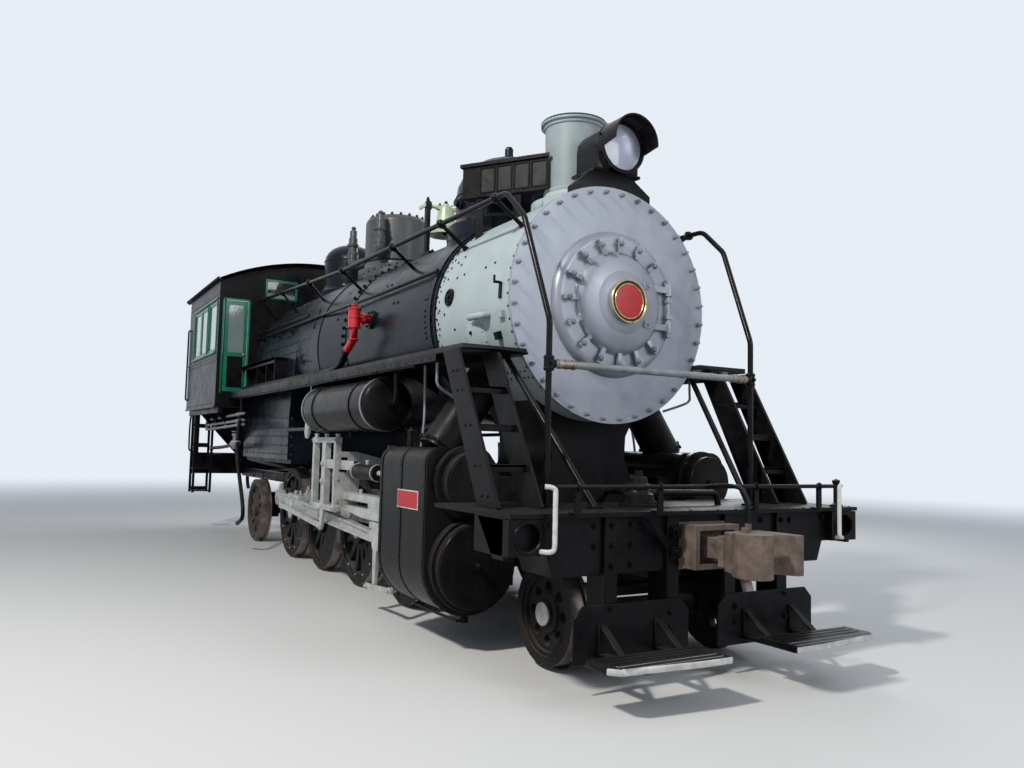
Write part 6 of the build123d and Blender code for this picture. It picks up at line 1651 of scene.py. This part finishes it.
def onStemGuide(centre, normal):
    rear, front = stemGuide["x"]
    away = Vector((abs(centre.y) - casing["chestY"], centre.z - flangeDepth - casing["chestZ"]))
    return rear < centre.x - leadX < front and away.length < stemGuide["reach"]


paintFaces(shells["valve_gear"], "engine_black", onStemGuide)

# Cab: panes, beads, gutters, rivets, hatch, rails and steps

cab = {
    "front": -7.784, "rear": -10.194, "half": 1.520, "floor": 1.948, "rivet": 0.009,
    "windows": ((-8.520, -7.930, 1), (-9.720, -8.640, 2)), "windowZ": (2.760, 3.510), "frame": 0.035,
    "doorIn": 1.100, "doorOut": 1.448, "doorZ": (2.165, 3.520), "frontPane": (0.420, 0.840, 3.620, 3.860),
    "paneBack": -0.018, "paneFace": -0.014, "doorPane": (1.146, 1.388, 2.745, 3.458),
    "lowerPanel": (1.150, 1.384, 2.236, 2.688),
}
roof = {
    "crown": 4.190, "half": 1.565, "rise": 0.390, "ends": (-10.412, -7.708), "edge": 1.545, "edgeSteps": 24,
    "rivetRows": (-8.30, -8.95, -9.60), "rivetHalf": 1.47, "rowRivets": 27, "rivet": 0.010,
    "runners": (-9.40, -8.40, 0.42), "hatch": (-9.30, -8.50, 0.38),
}
roofRadius = (roof["half"] ** 2 + roof["rise"] ** 2) / (2 * roof["rise"])
roofCentre = roof["crown"] - roofRadius


def roofSpot(x, y, lift=0.0):
    away = (roofRadius ** 2 - y * y) ** 0.5
    return at(x, y, roofCentre + away + lift), Vector((0, y, away)).normalized()


bm = bmesh.new()
(low, high), frameWide = cab["windowZ"], cab["frame"]
for x0, x1, count in cab["windows"]:
    wide = (x1 - x0) / count
    for step in range(count):
        start, end = x0 + step * wide + frameWide, x0 + (step + 1) * wide - frameWide
        addBox(bm, at(start, 1.502, low + frameWide), at(end, 1.506, high - frameWide))
bothSides(bm)
finishPiece(bm, "cab_panes", "root", nodeSlots["window_frames"], paneGlass)
bm = bmesh.new()
wallX, paneBack, paneFace = cab["front"], cab["front"] + cab["paneBack"], cab["front"] + cab["paneFace"]
y0, y1, z0, z1 = cab["frontPane"]
addBox(bm, at(paneBack, y0 + 0.005, z0 + 0.005), at(paneFace, y1 - 0.005, z1 - 0.005))
bothSides(bm)
# the front panes get the glass with the painted shade of the cab's inside
finishPiece(bm, "cab_front_panes", "root", nodeSlots["window_frames"], paintedShadeGlass)
for side, name in sideNames.items():
    door = "cab_door_" + name
    bm = bmesh.new()
    y0, y1, z0, z1 = cab["doorPane"]
    near, far = sorted((side * y0, side * y1))
    addBox(bm, at(paneBack, near, z0), at(paneFace, far, z1))
    # the door panes get the glass with the painted shade of the cab's inside
    finishPiece(bm, "cab_door_pane_" + name, door, nodeSlots[door], paintedShadeGlass)
    bm = bmesh.new()
    addTurned(bm, [(0, 0.018), (0.012, 0.018), (0.012, 0.008), (0.030, 0.008), (0.034, 0.020), (0.050, 0.022),
                   (0.056, 0.012), (0.057, 0)], at(wallX - 0.002, side * 1.150, 2.72), forward, 18)
    for height in (2.20, 2.72, 3.48):
        for y in (1.135, 1.405):
            addRivet(bm, at(wallX - 0.002, side * y, height), forward, 0.007)
    finishPiece(bm, "cab_door_knob_" + name, door, "fitting_brass")
    y0, y1, z0, z1 = cab["lowerPanel"]
    near, far = sorted((side * y0, side * y1))
    paintFaces(shells[door], "engine_black", lambda centre, normal: abs(normal.x) > 0.7
               and near < centre.y < far and z0 < centre.z + flangeDepth < z1)

bm = bmesh.new()
for x0, x1, count in cab["windows"]:
    for height, deep in ((low - 0.030, 0.030), (high + 0.020, 0.018)):
        addBox(bm, at(x0 - 0.03, 1.515, height), at(x1 + 0.03, 1.520 + deep, height + 0.028))
    for x in (x0 - 0.022, x1):
        addBox(bm, at(x, 1.515, low), at(x + 0.022, 1.530, high))
y0, y1, z0, z1 = cab["frontPane"]
bead, back, face = 0.028, wallX - 0.004, wallX + 0.012
for height in (z0 - bead, z1):
    addBox(bm, at(back, y0 - bead, height), at(face, y1 + bead, height + bead))
for y in (y0 - bead, y1):
    addBox(bm, at(back, y, z0), at(face, y + bead, z1))
near, far, (foot, head) = cab["doorIn"], cab["doorOut"], cab["doorZ"]
bead, face = 0.022, wallX + 0.010
for y in (near - bead, far):
    addBox(bm, at(back, y, foot - 0.02), at(face, y + bead, head + bead))
addBox(bm, at(back, near - bead, head), at(face, far + bead, head + bead))
softenEdges(bm, 0.003)
bothSides(bm)
finishPiece(bm, "window_beads", "root", "trim_green")

bm = bmesh.new()
y, rivet, first, last = cab["half"], cab["rivet"], cab["front"] - 0.03, cab["rear"] + 0.03
for height in (2.00, 2.62, 3.60):
    addRow(bm, at(first, y, height), at(last, y, height), 25, leftward, rivet)
for x in (first, -8.58, last):
    addRow(bm, at(x, y, 2.05), at(x, y, 3.72), 18, leftward, rivet)
addRow(bm, at(wallX, 1.49, 2.02), at(wallX, 1.49, 3.76), 18, forward, rivet)
for height in (2.10, 3.57):
    addRow(bm, at(wallX, 1.07, height), at(wallX, 1.46, height), 5, forward, rivet)
for reach, foot, head in ((1.532, 1.935, 1.975), (1.5265, 2.675, 2.700)):
    addBox(bm, at(cab["rear"] + 0.002, y - 0.0005, foot), at(wallX, reach, head))
bothSides(bm)
finishPiece(bm, "cab_rivets", "root", "cab_paint")
paintFaces(shells["cab_walls"], "engine_black",
           lambda centre, normal: abs(normal.x) > 0.7 or abs(centre.y) < 1.50)

bm = bmesh.new()
edge, steps, half = roof["edge"], roof["edgeSteps"], roof["rivetHalf"]
for x in roof["ends"]:
    for step in range(steps):
        first, out = roofSpot(x, -edge + step * 2 * edge / steps)
        second, _ = roofSpot(x, -edge + (step + 1) * 2 * edge / steps)
        addBeam(bm, first - out * 0.014, second - out * 0.014, 0.016, 0.044, out)
for x in roof["rivetRows"]:
    for step in range(roof["rowRivets"]):
        spot, out = roofSpot(x, -half + step * 2 * half / (roof["rowRivets"] - 1))
        addRivet(bm, spot, out, roof["rivet"])
rear, front, reach = roof["runners"]
for y in (-reach, reach):
    start, out = roofSpot(rear, y, 0.010)
    end, _ = roofSpot(front, y, 0.010)
    addBeam(bm, start, end, 0.035, 0.030, out)
rear, front, half = roof["hatch"]
spot, _ = roofSpot(0, half)
addBox(bm, at(rear, -half, spot.z - flangeDepth - 0.02), at(front, half, 4.210))
softenEdges(bm, 0.004, 60)
addBolt(bm, at(-8.55, 0.0, 4.206), up, 0.014, 0.016)
for side in (-1, 1):
    addBeam(bm, at(-10.40, side * 1.560, 3.822), at(-7.72, side * 1.560, 3.822), 0.016, 0.026)
finishPiece(bm, "roof_trim", "root", "roof_black")

grabX = cab["rear"] + 0.05
addPipes("cab_grab_rails", bothRoutes(
    ((grabX, 1.515, 3.30), (grabX, 1.548, 3.30), (grabX, 1.548, 3.26),
     (grabX, 1.548, 2.20), (grabX, 1.548, 2.12),
     (grabX, 1.515, 2.12)),
    ((-10.05, 1.33, 1.26), (-10.05, 1.46, 1.26), (-10.05, 1.47, 1.36),
     (-10.05, 1.47, 1.86), (-10.05, 1.44, 1.95)),
), 0.014, "root", "lamp_black")
steps = {
    "rear": -9.98, "front": -9.70, "y": (1.16, 1.44), "heights": (0.62, 0.98, 1.34, 1.66),
    "tread": 0.018, "riser": 0.07,
    "stringers": (-9.985, -9.700), "stringerY": ((1.15, 1.19), (1.415, 1.455)), "stringerZ": (0.60, 1.95),
    "brackets": (-9.2, -8.6, -8.0),
    "bracket": ((0.62, 1.10), (0.62, 1.95), (1.47, 1.95), (1.47, 1.88), (0.75, 1.10)),
}
rear, (near, far), tread = steps["rear"], steps["y"], steps["tread"]
bm = bmesh.new()
for height in steps["heights"]:
    addBox(bm, at(rear, near, height), at(steps["front"], far, height + tread))
    addBox(bm, at(rear, near, height + tread), at(rear + 0.01, far, height + steps["riser"]))
low, high = steps["stringerZ"]
for x in steps["stringers"]:
    for near, far in steps["stringerY"]:
        addBox(bm, at(x, near, low), at(x + 0.012, far, high))
addBox(bm, at(-9.99, 1.0, 1.20), at(-9.69, 1.19, 1.235))
for x in steps["brackets"]:
    addPlate(bm, [at(x, y, z) for y, z in steps["bracket"]], forward, 0.014)
addBox(bm, at(cab["rear"] + 0.01, 1.40, 1.86), at(wallX - 0.01, 1.47, cab["floor"]))
softenEdges(bm, 0.002)
bothSides(bm)
finishPiece(bm, "cab_steps", "root", "engine_black")

# Pipes and gear below the cab and firebox

underCab = {
    "y": 1.30, "start": -6.90, "end": -9.43, "heights": ((1.833, 1.783), (1.742, 1.700), (1.684, 1.630)),
    "unions": (-7.25, -8.05, -8.85), "injector": (-7.62, 1.24), "overflow": (-6.96, 1.35),
}
y, first, last = underCab["y"], underCab["start"], underCab["end"]
addPipes("under_cab_pipes", bothRoutes(*[
    ((first, y, front), (-8.1, y, (front + back) / 2), (last, y, back), (-9.55, y, back),
     (-9.60, 1.26, back + 0.18))
    for front, back in underCab["heights"]
]), 0.019, "root", "rail_grey")
addPipes("overflow_pipes", bothRoutes(
    ((-6.96, 1.33, 1.75), (-6.96, 1.35, 1.60), (-6.96, 1.35, 1.249),
     (-6.72, 1.35, 0.93), (-6.47, 1.35, 0.608),
     (-6.45, 1.35, 0.46), (-6.60, 1.35, 0.40), (-6.74, 1.35, 0.364)),
    ((-7.30, 1.24, 2.10), (-7.30, 1.24, 1.95), (-7.32, 1.24, 1.55), (-7.60, 1.24, 1.42), (-8.3, 1.24, 1.36),
     (-9.6, 1.22, 1.33), (-10.05, 1.1, 1.30)),
), 0.026, "root", "engine_black")
bm = bmesh.new()
for front, back in underCab["heights"]:
    for x in underCab["unions"]:
        height = front + (back - front) * (x - first) / (last - first)
        addRod(bm, at(x - 0.03, y, height), at(x + 0.03, y, height), 0.030, 6)
injector = underCab["injector"]
addTurned(bm, [(-0.13, 0.024), (-0.12, 0.044), (-0.06, 0.050), (-0.05, 0.066), (0.05, 0.066), (0.06, 0.050),
               (0.12, 0.044), (0.13, 0.024)], at(*injector, 1.415), (1, 0, 0.1), 24)
addTurned(bm, [(-0.08, 0), (-0.08, 0.035), (0.10, 0.035), (0.11, 0.05), (0.14, 0.05), (0.14, 0)],
          at(*injector, 1.42), up, 20)
addHoop(bm, at(*injector, 1.59), up, 0.050, 0.007, 24)
addHoop(bm, at(*underCab["overflow"], 1.45), up, 0.028, 0.010, 18)
addHoop(bm, at(-6.74, 1.35, 0.366), (1, 0, 0.3), 0.026, 0.007, 18)
bothSides(bm)
finishPiece(bm, "injectors", "root", "rail_grey")

leverFoot, leverTop = at(-4.09, -1.25, 1.50), at(-4.008, -1.25, 1.907)
bm = bmesh.new()
addTurned(bm, [(0, 0), (0, 0.020), (0.06, 0.034), (0.22, 0.034), (0.28, 0.016), (0.40, 0.013), (0.41, 0.022),
               (0.44, 0.022), (0.44, 0)], leverFoot, (leverTop - leverFoot).normalized(), 20)
addRod(bm, at(-4.008, -1.25, 1.905), at(-4.0, -1.25, 2.11), 0.010, 10)
finishPiece(bm, "hanging_lever", "root", "rod_grey")

# Frame: pedestal bolts, spring bands, brake cylinders and what hangs below

bars = {
    "face": 0.570, "middle": 0.52, "legs": 0.175, "legBolts": (0.36, 0.46, 0.60, 0.74, 0.86),
    "railBolts": (-1.0, -1.3, -6.9, -7.4, -8.6, -9.2),
    "railRows": ((0.90, 0.016, 0.014), (0.97, 0.012, 0.012)),
}
face, middle = bars["face"], bars["middle"]
bm = bmesh.new()
for x in gear["drivers"]:
    for shift in (-bars["legs"], bars["legs"]):
        for height in bars["legBolts"]:
            addBolt(bm, at(x + shift, face, height), leftward, 0.015, 0.012)
        addBolt(bm, at(x + shift, middle, 0.330), down, 0.020, 0.022)
    addBeam(bm, at(x, 0.574, 0.41), at(x, 0.574, 0.80), 0.20, 0.010, leftward)
    addHoop(bm, at(x, 0.573, gear["driverRadius"]), leftward, 0.105, 0.010, 28)
    for shift in (-0.03, 0.03):
        addBolt(bm, at(x + shift, middle, 1.122), up, 0.010, 0.012, washer=False)
for x in bars["railBolts"]:
    for height, radius, reach in bars["railRows"]:
        addBolt(bm, at(x, face, height), leftward, radius, reach)
bothSides(bm)
finishPiece(bm, "frame_bolts", "root", nodeSlots["frame"])

brake = {
    "x": -7.25, "y": 0.26, "z": 0.80, "radius": 0.15, "lip": 0.012,
    "rods": ((-6.89, -5.62), (-5.55, -4.38), (-4.30, -3.15)), "rodY": 0.30, "rodZ": 0.44,
}
x, y, z, radius, lip = brake["x"], brake["y"], brake["z"], brake["radius"], brake["radius"] + brake["lip"]
bm = bmesh.new()
addTurned(bm,
          [(-0.20, 0), (-0.20, radius - 0.02), (-0.18, lip), (-0.16, lip), (-0.155, radius), (0.155, radius),
               (0.16, lip), (0.18, lip), (0.20, radius - 0.02), (0.20, 0)], at(x, y, z), forward, 36)
addRod(bm, at(x + 0.19, y, z), at(x + 0.38, y, z), 0.024, 16)
addBeam(bm, at(x + 0.36, y, 0.83), at(x + 0.36, y, 0.45), 0.05, 0.020, forward)
addBox(bm, at(x - 0.12, 0.12, 0.93), at(x + 0.12, 0.40, 1.04))
y, z = brake["rodY"], brake["rodZ"]
for rear, front in brake["rods"]:
    addBeam(bm, at(rear, y, z), at(front, y, z), 0.022, 0.055)
    for x in (rear, front):
        addRod(bm, at(x, y - 0.03, z), at(x, y + 0.03, z), 0.030, 16)
softenEdges(bm, 0.002, 60)
bothSides(bm)
finishPiece(bm, "brake_cylinders", "root", nodeSlots["brake_rigging"])

beam = {
    "x": cab["rear"], "boltY": (0.30, 0.60, 0.90, 1.25), "boltZ": (0.97, 1.18),
    "plate": ((0.09, 0.92), (0.30, 0.92), (0.30, 1.23), (0.09, 1.23)),
    "plateX": cab["rear"] - 0.016, "pinX": -10.34,
}
bm = bmesh.new()
for side in (-1, 1):
    for y in beam["boltY"]:
        for height in beam["boltZ"]:
            addBolt(bm, at(beam["x"], side * y, height), rearward, 0.018, 0.018)
    addPlate(bm, [at(beam["plateX"], side * y, z) for y, z in beam["plate"]], forward, 0.016)
    addBolt(bm, at(beam["plateX"], side * 0.25, 1.05), rearward, 0.020, 0.02)
for low, high, radius in ((0.94, 1.00, 0.040), (0.82, 0.86, 0.046)):
    addRod(bm, at(beam["pinX"], 0, low), at(beam["pinX"], 0, high), radius, 16)
addBox(bm, at(-10.24, -0.10, 0.955), at(-10.19, 0.10, 1.10))
finishPiece(bm, "rear_beam_bolts", "root", nodeSlots["rear_beam"])
addPipes("rear_hoses", bothRoutes(
    ((-10.19, 0.42, 1.02), (-10.26, 0.42, 1.02), (-10.32, 0.42, 0.98),
     (-10.34, 0.42, 0.84), (-10.34, 0.41, 0.70),
     (-10.30, 0.40, 0.64)),
), 0.030, "root", "lamp_black")

# Inside the cab: gauges, levers, pipes, cushions

gauge = {"x": -8.490, "z": 3.330, "y": (-0.17, 0.17), "marks": 9, "firstMark": -45, "lastMark": 225}
bm = bmesh.new()
for y in gauge["y"]:
    addHoop(bm, at(gauge["x"], y, gauge["z"]), rearward, 0.080, 0.007, 36)
addHoop(bm, at(-8.484, 0, 2.420), rearward, 0.222, 0.010, 44)
for height in (2.93, 3.19):
    addRod(bm, at(-8.48, -0.30, height), at(-8.48, -0.30, height + 0.03), 0.030, 6)
for y in (-0.35, -0.15, 0.15, 0.35):
    addTurned(bm, [(0, 0.016), (0.04, 0.016), (0.045, 0.045), (0.055, 0.050), (0.060, 0.045), (0.060, 0)],
              at(-8.505, y, 2.760), rearward, 20)
addTurned(bm, [(-0.025, 0), (-0.02, 0.022), (0.0, 0.028), (0.02, 0.022), (0.025, 0)],
          at(-8.580, -0.565, 3.079), (0, -1, -0.18), 18)
finishPiece(bm, "gauge_rims", "root", "fitting_brass")
bm = bmesh.new()
for y in gauge["y"]:
    addTurned(bm, [(0, 0), (0, 0.078), (0.002, 0.078), (0.002, 0)],
              at(gauge["x"], y, gauge["z"]), rearward, 36)
finishPiece(bm, "gauge_faces", "root", "silver_paint", paints["white_edge"])
bm = bmesh.new()
markTurn = (gauge["lastMark"] - gauge["firstMark"]) / (gauge["marks"] - 1)
for y in gauge["y"]:
    for step in range(gauge["marks"]):
        spot, out = around(at(-8.4925, y, gauge["z"]), 0.064, gauge["firstMark"] + step * markTurn)
        addBeam(bm, spot - out * 0.006, spot + out * 0.006, 0.003, 0.001, forward)
    addBeam(bm, at(-8.4935, y - 0.012, 3.322), at(-8.4935, y + 0.036, 3.362), 0.004, 0.001, forward)
addRod(bm, at(-8.445, -0.16, 2.42), at(-8.52, -0.16, 2.42), 0.014, 12)
addBeam(bm, at(-8.49, -0.18, 2.30), at(-8.49, 0.20, 2.54), 0.030, 0.014, forward)
addBeam(bm, at(-8.75, -0.72, 1.998), at(-8.95, -0.72, 2.95), 0.045, 0.018, leftward)
addTurned(bm, [(-0.05, 0), (-0.05, 0.016), (0.09, 0.020), (0.10, 0.012), (0.10, 0)],
          at(-8.96, -0.72, 3.0), (-0.2, 0, 1), 14)
addBox(bm, at(-9.05, -0.735, 1.990), at(-8.55, -0.705, 2.10))
finishPiece(bm, "cab_levers", "root", "engine_black")
addPipes("backhead_pipes", [
    [at(-8.46, 0.42, 2.76), at(-8.46, 0.62, 2.76), at(-8.46, 0.72, 2.74),
     at(-8.46, 0.74, 2.40), at(-8.46, 0.78, 2.02)],
    [at(-8.46, -0.42, 2.76), at(-8.46, -0.62, 2.76), at(-8.46, -0.70, 2.74), at(-8.46, -0.72, 2.40),
     at(-8.46, -0.76, 2.02)],
    [at(-8.44, 0.17, 3.24), at(-8.46, 0.17, 3.16), at(-8.46, 0.10, 3.0), at(-8.46, 0.12, 2.80)],
    [at(-8.44, -0.17, 3.24), at(-8.46, -0.17, 3.16), at(-8.46, -0.12, 3.0), at(-8.46, -0.12, 2.80)],
], 0.016, "root", "fitting_brass")

cushion = {"low": (0.893, 2.470), "high": (1.447, 2.572), "x": (-9.706, -9.143),
           "crown": 0.026, "edge": 0.018}
for side, name in sideNames.items():
    bm = bmesh.new()
    (near, low), (far, high), (rear, front) = cushion["low"], cushion["high"], cushion["x"]
    first, last = sorted((side * near, side * far))
    addBox(bm, at(rear, first, low), at(front, last, high))
    bmesh.ops.subdivide_edges(bm, edges=bm.edges[:], cuts=7, use_grid_fill=True)
    centre = at((rear + front) / 2, side * (near + far) / 2, (low + high) / 2)
    for vert in bm.verts:
        away = vert.co - centre
        swell = [cos(min(abs(reach) / half, 1) * pi / 2)
                 for reach, half in ((away.x, (front - rear) / 2), (away.y, (far - near) / 2))]
        if away.z > 0:
            vert.co.z += cushion["crown"] * (swell[0] * swell[1]) ** 0.6
    softenEdges(bm, cushion["edge"], 60)
    finishPiece(bm, "seat_cushion_" + name, "root", "seat_leather", sharp=60)
print("cab made")

size = {"cad": [list(corner) for corner in cadBox], "visual": [list(corner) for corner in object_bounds()]}
